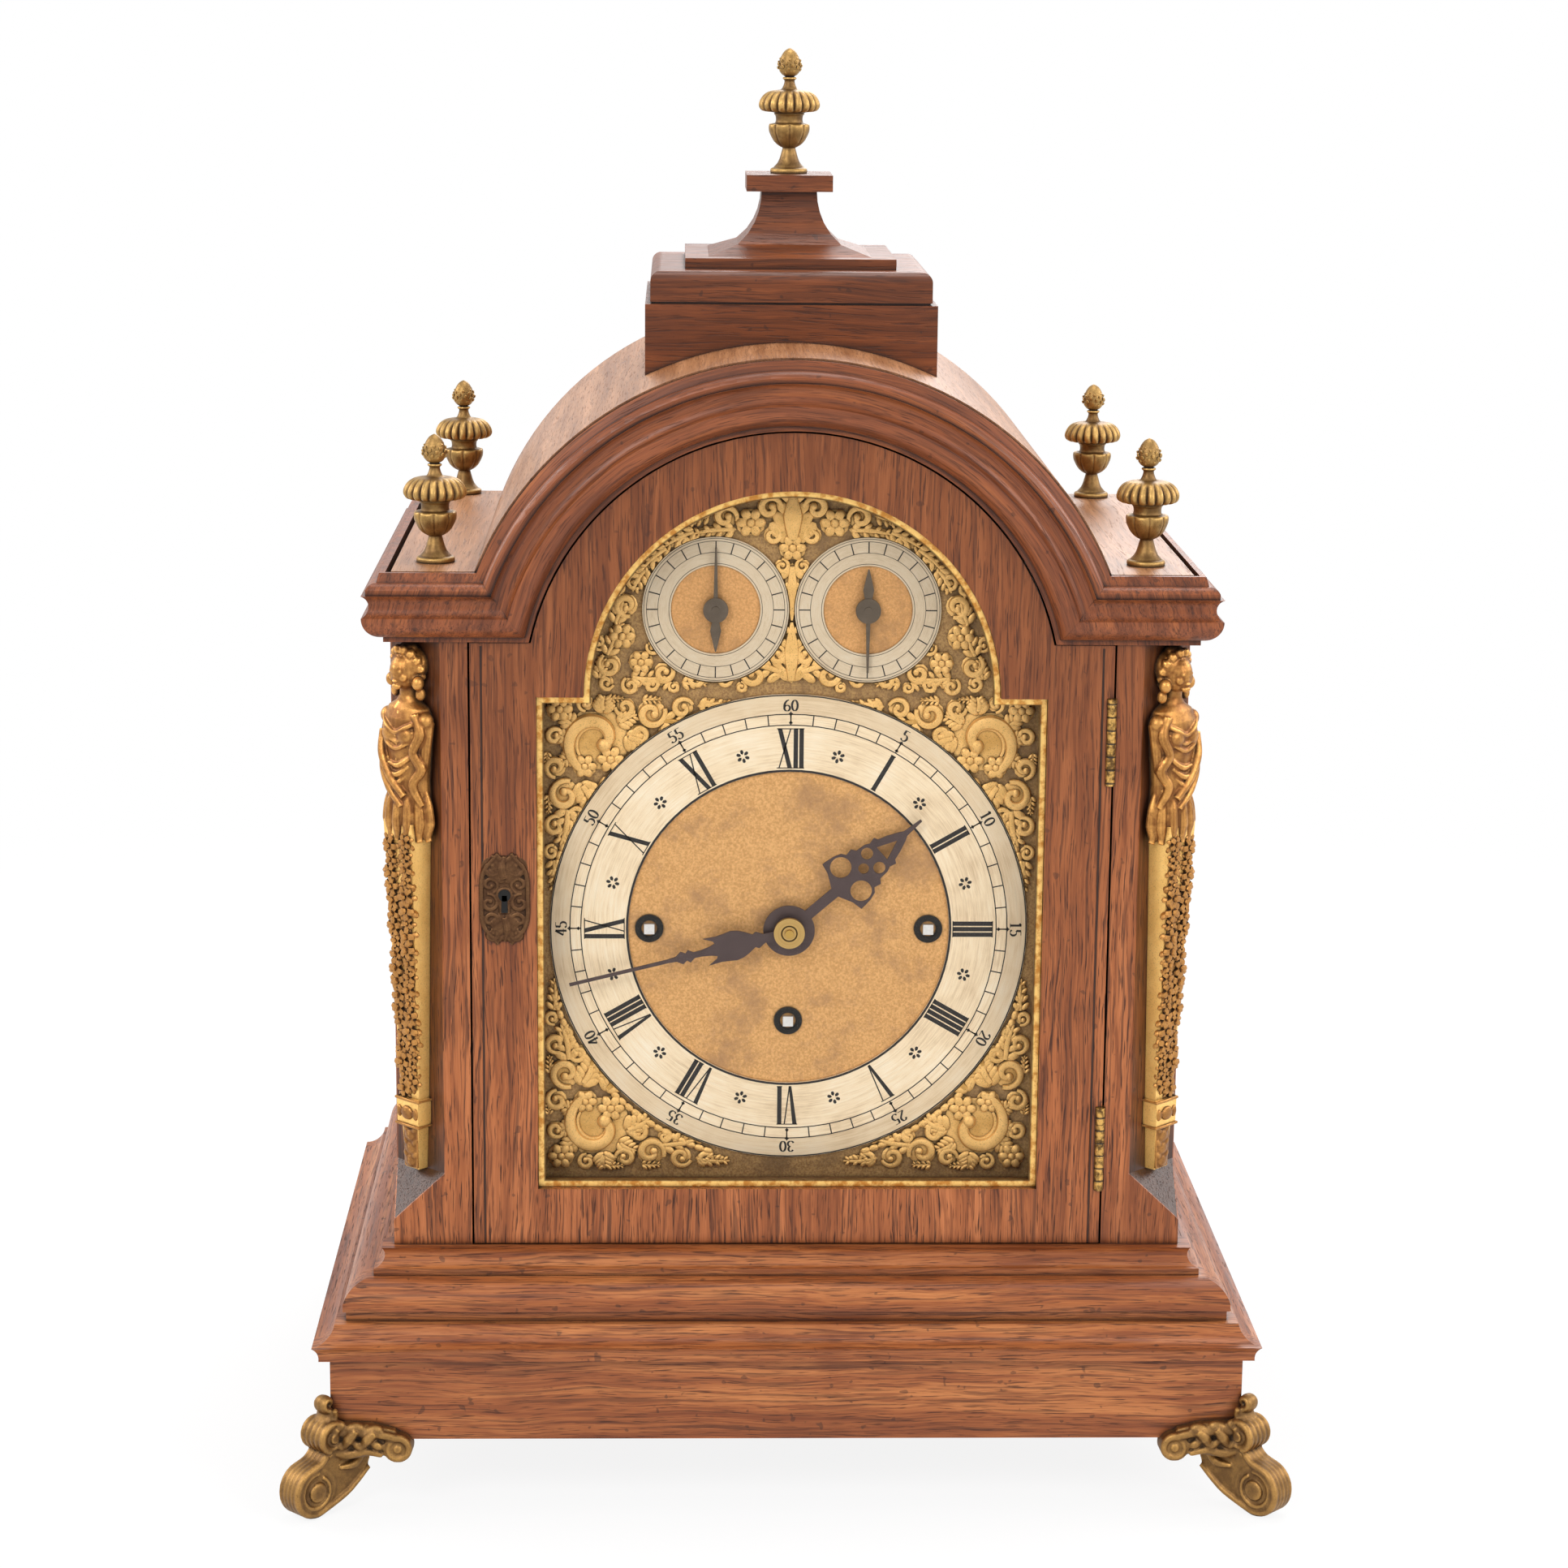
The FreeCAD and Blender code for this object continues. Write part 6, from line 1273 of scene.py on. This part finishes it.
def collar_casting(low, waist):
    """Relief on the foot and the collar band of the pillar."""
    made = Casting()
    high = waist - low
    middle = low + 0.165 * high
    made.ball((0, -3.6, middle), (4.2, 1.6, 3.6), 0, 8)
    for side in (-1, 1):
        made.ball((side * 5.8, -3.2, middle), (1.8, 1.4, 3.2), 0, 8)
        for z in (low + 0.128 * high, low + 0.202 * high):
            made.tube([Vector((side * 8.0, 6, z)), Vector((side * 8.0, -3.6, z)),
                       Vector((0, -3.6, z))], [0.9, 0.9], 8)
    made.grid([[Vector((x, y, z)) for x, z in ((-4.6, low + 0.4), (4.6, low + 0.4),
                                               (5.5, low + 0.12 * high), (-5.5, low + 0.12 * high))]
               for y in (0, -1.7)])
    for index in range(3):
        made.ball((0, -1.6, low + 4 + 6.4 * index), (3.6, 1.5, 3.2), 0, 8)
        for side in (-1, 1):
            made.ball((side * 3.0, -1.4, low + 7 + 6.4 * index), (1.7, 1.3, 2.4),
                      side * 35, 8)
    return made


def bust_casting(low, high):
    """Waist, breast, drapery and head of the figure; it faces -Y and low is its waist."""
    made = Casting()
    head = high - 14.5
    chest = high - 46

    def ball(x, y, z, a, b, c):
        made.ball((x, y, z), (a, b, c), 0, 12)

    def fold(points, radii):
        points = [(0.95 * x, 0.9 * y + 0.8, z) for x, y, z in points]
        made.tube(smooth_path(points, 6), radii, 10, 1.0, (0, 1, 0))

    body = ((low - 12, 7.5, 6.4), (low - 4, 10.5, 8.0), (low + 8, 11.6, 8.8),
            (low + 20, 11.0, 8.4), (low + 30, 11.8, 8.8), (chest + 2, 13.0, 9.2),
            (chest + 9, 13.6, 8.4), (chest + 14, 11.5, 6.6), (chest + 17, 6.5, 5.0),
            (chest + 20, 4.2, 4.4), (chest + 27, 4.0, 4.4))
    made.grid([[Vector((half * math.cos(a), 1 - deep * math.sin(a), z)) for a in
                (math.tau * step / 28 for step in range(28))] for z, half, deep in body])
    ball(0, -0.5, head, 7.0, 8.2, 9.2)
    ball(0, 2.5, head + 3.0, 9.2, 8.6, 8.6)
    for side in (-1, 1):
        for index in range(6):
            a = math.radians(12 + 27 * index)
            path = [(side * 8.0 * math.sin(a + turn * 0.16), -5.2 + 1.7 * index + 1.6 * turn,
                     head + 2 + 8.6 * math.cos(a + turn * 0.16)) for turn in (-1, 0, 1)]
            fold(path, [1.6, 2.6, 1.6])
        ball(side * 8.4, -1.5, head - 5.0, 2.6, 3.0, 3.4)
        ball(side * 8.0, 0.5, head - 10.5, 2.2, 2.4, 3.2)
        ball(side * 2.6, -7.5, head + 0.6, 1.2, 0.8, 0.6)
        ball(side * 3.2, -5.8, head - 2.2, 2.4, 2.0, 2.4)
        fold([(side * 1.4, -8.3, head + 2.0), (side * 4.4, -7.0, head + 2.0)], [0.55, 0.4])
    ball(0, 1, head + 10.4, 4.6, 4.8, 3.6)
    fold([(0, -8.2, head + 2), (0, -9.4, head - 1.8)], [0.7, 1.1])
    ball(0, -8.0, head - 4.2, 1.6, 0.9, 0.6)
    ball(0, -6.8, head - 6.8, 2.4, 1.9, 1.7)
    for side in (-1, 1):
        ball(side * 4.8, -6.2, chest + 1.5, 4.6, 3.2, 4.6)
        ball(side * 11.6, -0.5, chest + 8.5, 3.8, 4.2, 4.4)
        fold([(side * 12.8, 0, chest + 8), (side * 13.4, -2.5, chest - 4),
              (side * 12.4, -3.0, chest - 15)], [3.2, 2.8, 2.2])
    for drop, reach in ((0, 1.3), (4.2, 1.1), (7.8, 1.2)):
        fold([(side * out, -y, chest + up - drop) for side, out, y, up in
              ((-1, 12.6, 4.6, 9.5), (-1, 6.4, 9.3, 5.4), (0, 0, 9.5, 2.6), (1, 6.4, 9.3, 5.4),
               (1, 12.6, 4.6, 9.5))], [reach * 0.8, reach, reach * 0.8])
    fold([(13.0, -5.0, chest + 2), (10.4, -8.4, chest - 9), (3.6, -9.6, chest - 19),
          (-5.0, -8.8, chest - 28)], [1.8, 2.2, 2.4, 2.0])
    fold([(13.2, -3.0, chest - 4), (10.8, -7.6, chest - 15), (4.6, -9.4, chest - 25),
          (-3.0, -9.0, chest - 33)], [1.6, 1.8, 2.0, 1.6])
    fold([(-9.5, -5.5, chest + 12), (-12.8, -5.6, chest + 3), (-10.0, -7.6, chest - 6),
          (-13.0, -5.2, chest - 14), (-9.4, -7.4, chest - 22), (-12.0, -4.0, chest - 32)],
         [2.0, 2.7, 2.2, 2.7, 2.2, 1.6])
    for index in range(3):
        fold([(-9.0 + 2 * index, -7.4, chest - 8 - 5 * index),
              (-2.0 + index, -9.6, chest - 13 - 4.6 * index),
              (5.0, -9.2, chest - 12.5 - 4.2 * index)], [1.0, 1.5, 0.9])
    for leaf in range(7):
        a = math.radians(-84 + 28 * leaf)
        x, y = 11.6 * math.sin(a), 1 - 8.8 * math.cos(a)
        fold([(x * 0.9, y * 0.9, low + 15), (x * 1.06, y * 1.08, low + 8),
              (x * 1.12, y * 1.14, low), (x * 1.02, y * 1.06, low - 6),
              (x * 1.12, y * 1.16, low - 9)], [1.6, 2.4, 2.8, 2.0, 1.5])
        fold([(x * 1.08, y * 1.12, low + 12), (x * 1.2, y * 1.24, low - 2)], [0.7, 0.6])
    return made


def cut_flat(mesh, depth):
    """Cuts away what lies behind a plane across the figure, and closes the cut."""
    shape = bmesh.new()
    shape.from_mesh(mesh)
    cut = bmesh.ops.bisect_plane(shape, geom=shape.verts[:] + shape.edges[:] + shape.faces[:],
                                 plane_co=(0, depth * MM, 0), plane_no=(0, 1, 0),
                                 clear_outer=True)
    edges = [e for e in cut["geom_cut"] if isinstance(e, bmesh.types.BMEdge)]
    bmesh.ops.holes_fill(shape, edges=edges)
    shape.to_mesh(mesh)
    shape.free()
    return mesh


def figures():
    """The two draped figures on their pillars, on the canted corners."""
    low, high = span("figure_right")
    waist = low.z + (high.z - low.z) * WAIST_SHARE
    bust = Casting()
    bust.merge(bust_casting(waist, high.z - 0.6), Matrix.Diagonal((1.1, 1, 1, 1)))
    bust = cut_flat(bust.fused("bust", 0.52, 1), FIGURE_SET)
    relief = cut_flat(collar_casting(low.z, waist).fused("collar", 0.5, 1), FIGURE_SET)
    pillar = cut_flat(pillar_casting(low.z, waist).mesh("pillar"), FIGURE_SET)
    flower = pattern("flower", flower_casting().mesh("flower"))
    leaf = pattern("leaf", leaf_casting().mesh("leaf"))
    start, end = low.z + 0.235 * (waist - low.z), waist - 9
    last = GARLAND_STATIONS - 1
    shares = [index / last for index in range(GARLAND_STATIONS)]
    stations = [Vector(((2.9 + 2.6 * share) * (-1) ** index + 0.5 * math.sin(index * 2.2),
                        -1.8 - 5.6 * share, start + (end - start) * share)) * MM
                for index, share in enumerate(shares)]
    path_mesh = bpy.data.meshes.new("garland_path")
    path_mesh.from_pydata(stations, [(index, index + 1) for index in range(last)], [])
    path = pattern("garland_path", path_mesh)
    garland = GARLAND.grow("garland", Path=path, Flower=flower, Leaf=leaf, Seed=7,
                           Finish=GARLAND_GILT)
    for unused in (flower, leaf, path):
        bpy.data.objects.remove(unused)
    front = joined("garland_and_collar", [relief, cut_flat(garland, FIGURE_SET)])
    away = FIGURE_SET * math.sqrt(0.5)
    for name, side in (("left", -1), ("right", 1)):
        axis = shift(side * (CASE_HALF - CANT / 2 + away), FRONT_Y + CANT / 2 - away, 0)
        place = axis @ about("Z", 45 * side) @ Matrix.Diagonal((side, 1, 1, 1))
        for look, mesh, finish in (("_draped", bust, FIGURE_GILT),
                                   ("_garland", front, GARLAND_GILT),
                                   ("_pillar", pillar, STRIP_GILT)):
            piece("figure_" + name + look, placed(mesh, place), finish, "case", "gilt",
                  "figure_" + name)


# Dial mounts


def scrollwork(made, x, z, radius, start, turns, sense, thick, face):
    """A C-scroll on a web of thin metal, with a bead at its eye."""
    path = [Vector((px, face, pz)) for px, pz in spiral((x, z), radius, start, turns, sense, 0.25)]
    made.tube(path, [thick * 0.6, thick, thick * 1.1, thick * 0.9, thick * 0.7], 8, 0.8,
              (0, 1, 0))
    made.ball(tuple(path[-1]), (thick * 1.1, thick * 0.8, thick * 1.1), 0, 6)
    made.ball((x, face + 0.9, z), (radius * 0.98, 0.8, radius * 0.98), 0, 6)


def leaf_spray(made, x, z, direction, long, wide, face):
    """A leaf with paired lobes, growing from a point in a direction, degrees from +X to +Z."""
    a = math.radians(direction)
    along, side = Vector((math.cos(a), 0, math.sin(a))), Vector((-math.sin(a), 0, math.cos(a)))
    root = Vector((x, face, z))
    made.tube(smooth_path([root, root + along * long * 0.5 + side * wide * 0.12,
                           root + along * long], 5), [wide * 0.16, wide * 0.2, wide * 0.07], 8,
              0.8, (0, 1, 0))
    made.ball(tuple(root + along * long * 0.46 + Vector((0, 0.9, 0))),
              (long * 0.52, 0.8, wide * 0.42), -direction, 6)
    for lobe in range(4):
        share = (lobe + 0.5) / 4
        reach = wide * (0.6 - 0.32 * share)
        for hand in (-1, 1):
            centre = root + along * (long * share) + side * (hand * reach * 0.62)
            turn = -(direction + hand * 48)
            made.ball(tuple(centre), (reach * 0.82, 0.9, reach * 0.42), turn, 6)


def rosette(made, x, z, radius, face):
    """Six petals and a bead on a web of thin metal."""
    for petal in range(6):
        a = math.tau * petal / 6
        made.ball((x + radius * 0.6 * math.cos(a), face - 0.5, z + radius * 0.6 * math.sin(a)),
                  (radius * 0.47, 1.1, radius * 0.36), -math.degrees(a), 6)
    made.ball((x, face - 1.2, z), (radius * 0.32, 1.1, radius * 0.32), 0, 6)
    made.ball((x, face + 0.9, z), (radius * 1.05, 0.8, radius * 1.05), 0, 6)


def spandrel_casting(face):
    """The lower right spandrel of scrolls, leaves and two rosettes round a crescent."""
    made = Casting()
    scrollwork(made, 93, 177, 16.5, 75, 0.8, -1, 3.4, face)
    scrollwork(made, 93, 177, 11.0, 40, 0.7, -1, 1.3, face)
    rosette(made, 86.5, 186, 6.4, face)
    rosette(made, 99, 189.5, 5.6, face)
    rosette(made, 111, 161.5, 6.2, face)
    for x, z, radius, start, turns, sense, thick in (
            (108.5, 204, 7.6, 250, 1.1, 1, 2.0), (113.5, 219, 5.0, 240, 1.1, 1, 1.5),
            (113, 190, 5.2, 90, 1.1, -1, 1.6), (67, 163.5, 7.0, 200, 1.1, -1, 1.9),
            (52, 161, 5.2, 200, 1.1, 1, 1.5), (79.5, 160.5, 4.8, 0, 1.1, 1, 1.5),
            (113.5, 175, 4.4, 180, 1.1, 1, 1.4), (98.5, 158.6, 4.0, 90, 1.1, -1, 1.3),
            (73, 173.5, 4.8, 40, 1.1, 1, 1.5), (102.5, 214, 4.6, 20, 1.1, -1, 1.4),
            (115, 232, 3.6, 250, 1.1, 1, 1.2), (40, 159.5, 3.8, 200, 1.1, -1, 1.2),
            (60, 171.5, 3.6, 60, 1.1, 1, 1.1), (108, 224.5, 3.4, 20, 1.1, -1, 1.1)):
        scrollwork(made, x, z, radius, start, turns, sense, thick, face)
    for x, z, direction, long, wide in (
            (107, 211, 78, 18, 9), (114, 236, 90, 16, 6), (61, 167, 168, 20, 8),
            (44, 160, 184, 16, 6), (100, 199, 112, 12, 10), (78, 175, 150, 12, 9),
            (104, 177, -20, 9, 8), (90, 162, -95, 7, 8), (105, 169, -45, 10, 7),
            (88, 196, 118, 9, 9), (92, 204, 132, 7, 7), (116.5, 204, 90, 9, 4),
            (104, 184, 30, 8, 7), (82, 168, 205, 9, 7), (71, 157, 180, 9, 4),
            (117, 183, 85, 7, 3.5), (88, 156.5, 180, 8, 3.5), (96, 208, 100, 9, 8)):
        leaf_spray(made, x, z, direction, long, wide, face)
    for index in range(26):
        angle = math.radians(-17 - 54 * index / 25)
        radius = RING_OUTER + 3.4
        made.ball((radius * math.cos(angle), face + 0.2, DIAL_Z + radius * math.sin(angle)),
                  (2.6, 1.1, 1.8), 90 - math.degrees(angle), 6)
    return made


def arch_casting(face):
    """The right half of the ornament of the arch: palmette, leaves, scrolls and pendant."""
    made = Casting()
    leaf_spray(made, 0, 468, 90, 23, 16, face)
    rosette(made, 0, 464, 6.2, face)
    rosette(made, 20, 476, 6.8, face)
    rosette(made, 81, 421, 6.2, face)
    rosette(made, 72, 408.5, 5.6, face)
    for x, z, radius, start, turns, sense, thick in (
            (11, 483, 5.8, 180, 1.1, -1, 1.9), (32, 478.5, 5.8, 200, 1.1, -1, 1.8),
            (9.5, 470, 4.4, 90, 1.1, 1, 1.4), (79, 436, 5.6, 250, 1.1, 1, 1.8),
            (87, 407, 5.6, 60, 1.1, -1, 1.7), (61, 403.5, 5.0, 120, 1.1, 1, 1.6),
            (18, 402.5, 5.6, 60, 1.1, -1, 1.8), (7, 412, 4.6, 90, 1.1, 1, 1.5),
            (45, 400.5, 4.2, 60, 1.1, -1, 1.4), (32, 400, 3.8, 100, 1.1, 1, 1.2),
            (75, 448, 4.2, 240, 1.1, 1, 1.3), (92, 418, 3.8, 250, 1.1, 1, 1.2),
            (66, 415.5, 3.4, 30, 1.1, -1, 1.1), (5, 455, 3.6, 90, 1.1, 1, 1.2),
            (77, 397, 4.2, 60, 1.1, -1, 1.3), (67, 397.5, 3.4, 120, 1.1, 1, 1.2),
            (88.5, 398.5, 3.6, 200, 1.1, 1, 1.2), (56, 396.5, 2.8, 60, 1.1, -1, 1.0),
            (24, 396.5, 2.6, 90, 1.1, 1, 1.0), (64, 456, 3.6, 240, 1.1, 1, 1.2),
            (52, 466, 3.4, 240, 1.1, -1, 1.1), (83, 444, 3.4, 60, 1.1, 1, 1.1)):
        scrollwork(made, x, z, radius, start, turns, sense, thick, face)
    for x, z, direction, long, wide in (
            (28, 472.5, -6, 20, 7), (47, 471.5, -28, 16, 7), (60, 463.5, -42, 16, 7),
            (70, 453, -60, 12, 7), (0, 455, -90, 26, 9), (5, 404, 12, 20, 9),
            (88, 412, 110, 18, 7), (76, 401, 180, 14, 7), (30, 404, 15, 16, 6),
            (0, 400, 90, 28, 12), (58, 398.5, 0, 16, 5), (84, 428, 105, 14, 7),
            (40, 479, -20, 14, 5), (92, 401, 100, 10, 6), (8, 421, 60, 10, 7),
            (52, 398.5, 180, 12, 5)):
        leaf_spray(made, x, z, direction, long, wide, face)
    return made


def trim(casting):
    """Draws a mount's edges back from the three rings and in from the edge of the opening."""
    rings = ((0, DIAL_Z, RING_OUTER + 0.5), (-SUBDIAL_X, SUBDIAL_Z, SUBDIAL_OUTER + 0.4),
             (SUBDIAL_X, SUBDIAL_Z, SUBDIAL_OUTER + 0.4))
    for point in casting.points:
        for x, z, radius in rings:
            reach = math.hypot(point.x - x, point.z - z)
            if reach < radius:
                point.x = x + (point.x - x) * radius / max(reach, 1)
                point.z = z + (point.z - z) * radius / max(reach, 1)
        if abs(point.x) > SIGHT_ARCH - 1 or point.z < ARCH_Z:
            half = SIGHT_HALF - MOUNT_CLEAR
            point.x = max(-half, min(half, point.x))
            point.z = max(SIGHT_LOW + 1, min(ARCH_Z - 0.6, point.z))
        else:
            reach = math.hypot(point.x, point.z - ARCH_Z) / (SIGHT_ARCH - MOUNT_CLEAR)
            point.x /= max(reach, 1)
            point.z = ARCH_Z + (point.z - ARCH_Z) / max(reach, 1)
    return casting


def dial_mounts():
    """The four corner mounts and the mount of the arch."""
    face = DIAL_Y - MOUNT_PROUD
    lower = spandrel_casting(face)
    corner = Casting()
    above = shift(0, 0, 2 * DIAL_Z - 7) @ Matrix.Diagonal((1, 1, -1, 1))
    for matrix in (Matrix.Identity(4), above):
        corner.merge(lower, matrix)
        corner.merge(lower, Matrix.Diagonal((-1, 1, 1, 1)) @ matrix)
    piece("corner_ornament", trim(corner).mesh("corner_ornament"), SPANDREL_GILT, "case",
          "gilt", "dial_mounts")
    half = arch_casting(face)
    arch = Casting()
    arch.merge(half)
    arch.merge(half, Matrix.Diagonal((-1, 1, 1, 1)))
    piece("arch_ornament", trim(arch).mesh("arch_ornament"), SPANDREL_GILT, "case", "gilt",
          "dial_mounts")


# Escutcheon


def escutcheon():
    """The pierced plate of scrolls round the keyhole."""
    made = Casting()
    middle = (ESCUTCHEON_LOW + ESCUTCHEON_HIGH) / 2
    half_wide = (ESCUTCHEON_HIGH.x - ESCUTCHEON_LOW.x) / 2
    half_high = (ESCUTCHEON_HIGH.z - ESCUTCHEON_LOW.z) / 2
    face = ESCUTCHEON_HIGH.y - 0.6
    for side in (-1, 1):
        for z, radius, start, sense, thick in (
                (15.5, 5.6, 90, side, 1.2), (7.0, 4.2, 250, -side, 1.0), (-2, 4.6, 80, side, 1.1),
                (-10.5, 4.6, 270, -side, 1.1), (-17.5, 4.0, 90, side, 1.0)):
            out = half_wide * (0.62 - 0.16 * abs(z) / half_high)
            scrollwork(made, side * out, z, radius, start if side > 0 else 180 - start, 1.1,
                       sense, thick, 0)
        made.tube(smooth_path([(side * 3, 0, half_high - 1.5), (side * (half_wide - 2), 0, 13),
                               (side * (half_wide - 1), 0, 0), (side * (half_wide - 2), 0, -13),
                               (side * 3, 0, 1.5 - half_high)], 8), [1.0, 1.2, 1.1, 1.2, 1.0], 8,
                  0.8, (0, 1, 0))
    leaf_spray(made, 0, 10, 90, 11, 11, 0)
    leaf_spray(made, 0, -9, -90, 12, 10, 0)
    keyhole = [Vector((3.0 * math.sin(a), 0, 2 + 3.0 * math.cos(a))) for a in
               (math.radians(-150 + 300 * index / 20) for index in range(21))]
    outline = keyhole + [Vector((1.6, 0, -6.5)), Vector((-1.6, 0, -6.5)), keyhole[0]]
    made.tube(outline, [1.3, 1.3], 8, 0.8, (0, 1, 0))
    made.ball((0, 0.5, 0), (half_wide * 0.9, 0.5, half_high * 0.94))
    # the keyhole: a near-black sheet set in front of the plate, painted shade of the open hole
    hole = Casting()
    hole.tube([Vector((0, -0.6, 2)), Vector((0, -1.5, 2))], [2.9, 2.9], 20)
    hole.grid([[Vector((x, y, z)) for x, z in ((-1.5, -6.5), (1.5, -6.5), (1.2, 2), (-1.2, 2))]
               for y in (-0.6, -1.5)])
    place = shift(middle.x, face, middle.z)
    piece("keyhole", placed(hole.mesh("keyhole"), place), KEYHOLE_PAINTED_SHADE, "door", "gilt",
          "escutcheon")
    piece("escutcheon_scrolls", placed(made.fused("escutcheon", 0.32, 1), place),
          ESCUTCHEON_BRASS, "door", "gilt", "escutcheon")


chapter_marks()
centre_disc, centre_collets = dial_centre()
piece("dial_centre", centre_disc.mesh("dial_centre"), CENTRE_GILT, "case", "brass")
piece("winding_collets", centre_collets.mesh("winding_collets"), COLLET_BLACK_AND_HOLE_SHADE, "case", "steel")
small_dial_centres()
finials()
feet()
figures()
dial_mounts()
escutcheon()


# Floor, light and camera


def studio():
    """A pale floor, soft even light and a white background that metal and glass show too."""
    floor_finish = Finish("pale_floor")
    white = floor_finish.node("ShaderNodeEmission", {}, {"Color": (1, 1, 1, 1), "Strength": 1.0})
    paper = floor_finish.node("ShaderNodeBsdfDiffuse", {}, {"Color": (0.9, 0.9, 0.9, 1)})
    straight, mirrored, through = floor_finish.outputs("ShaderNodeLightPath", {}, RAYS)
    x, y = floor_finish.place[:2]
    away = (x * x + y * y).maths("SQRT").step(450, 1500)
    seen = straight * (away * 0.12 + 0.88) + mirrored * 0.5 + through * 0.5
    both = floor_finish.node("ShaderNodeMixShader", {}, {0: seen, 1: paper, 2: white})
    floor_finish.node("ShaderNodeOutputMaterial", {}, {"Surface": both})
    corners = [(x * FLOOR_HALF, y * FLOOR_HALF, 0) for x, y in ((-1, -1), (1, -1), (1, 1), (-1, 1))]
    floor_mesh = mesh_of("floor", corners, [(0, 1, 2, 3)])
    floor_mesh.materials.append(floor_finish.material)
    floor = bpy.data.objects.new("floor", floor_mesh)
    bpy.context.scene.collection.objects.link(floor)

    world = bpy.data.worlds.new("studio")
    bpy.context.scene.world = world
    world.use_nodes = True
    sky = Nodes(world.node_tree)
    straight, mirrored, through = sky.outputs("ShaderNodeLightPath", {}, RAYS)
    seen = sky.node("ShaderNodeMath", {"operation": "ADD", "use_clamp": True},
                    {0: straight, 1: mirrored + through})
    strength = sky.node("ShaderNodeMapRange", {}, {"Value": seen, "To Min": WORLD_STRENGTH,
                                                   "To Max": 1.0})
    background = sky.node("ShaderNodeBackground", {}, {"Color": (1, 1, 1, 1),
                                                       "Strength": strength})
    sky.node("ShaderNodeOutputWorld", {}, {"Surface": background})

    for name, place, size, power in (("key", (-1500, -2200, 2200), 1.6, 48),
                                     ("fill", (1900, -1700, 1500), 1.4, 27),
                                     ("top", (200, 100, 2600), 1.4, 22),
                                     ("left_side", (-2400, 500, 1500), 1.2, 26),
                                     ("right_side", (2400, 500, 1500), 1.2, 26),
                                     ("rear", (600, 2400, 1900), 1.6, 30)):
        lamp_data = bpy.data.lights.new(name, "AREA")
        lamp_data.shape = "DISK"
        lamp_data.size = size
        lamp_data.energy = power
        lamp = bpy.data.objects.new(name, lamp_data)
        lamp.location = Vector(place) * MM
        aim = Vector(AIM) * MM - lamp.location
        lamp.rotation_euler = aim.to_track_quat("-Z", "Y").to_euler()
        bpy.context.scene.collection.objects.link(lamp)


def camera():
    """The photograph's view: a long lens a little above the clock and to its left."""
    data = bpy.data.cameras.new("camera")
    data.lens = CAMERA_LENS
    data.sensor_width = 36
    data.clip_end = 50
    seen = bpy.data.objects.new("camera", data)
    seen.location = Vector(CAMERA_PLACE) * MM
    turn = about("Z", -CAMERA_YAW) @ about("X", 90 - CAMERA_PITCH) @ about("Z", CAMERA_ROLL)
    seen.rotation_euler = turn.to_euler()
    bpy.context.scene.collection.objects.link(seen)
    bpy.context.scene.camera = seen


studio()
camera()
bpy.context.scene.view_settings.view_transform = "Standard"
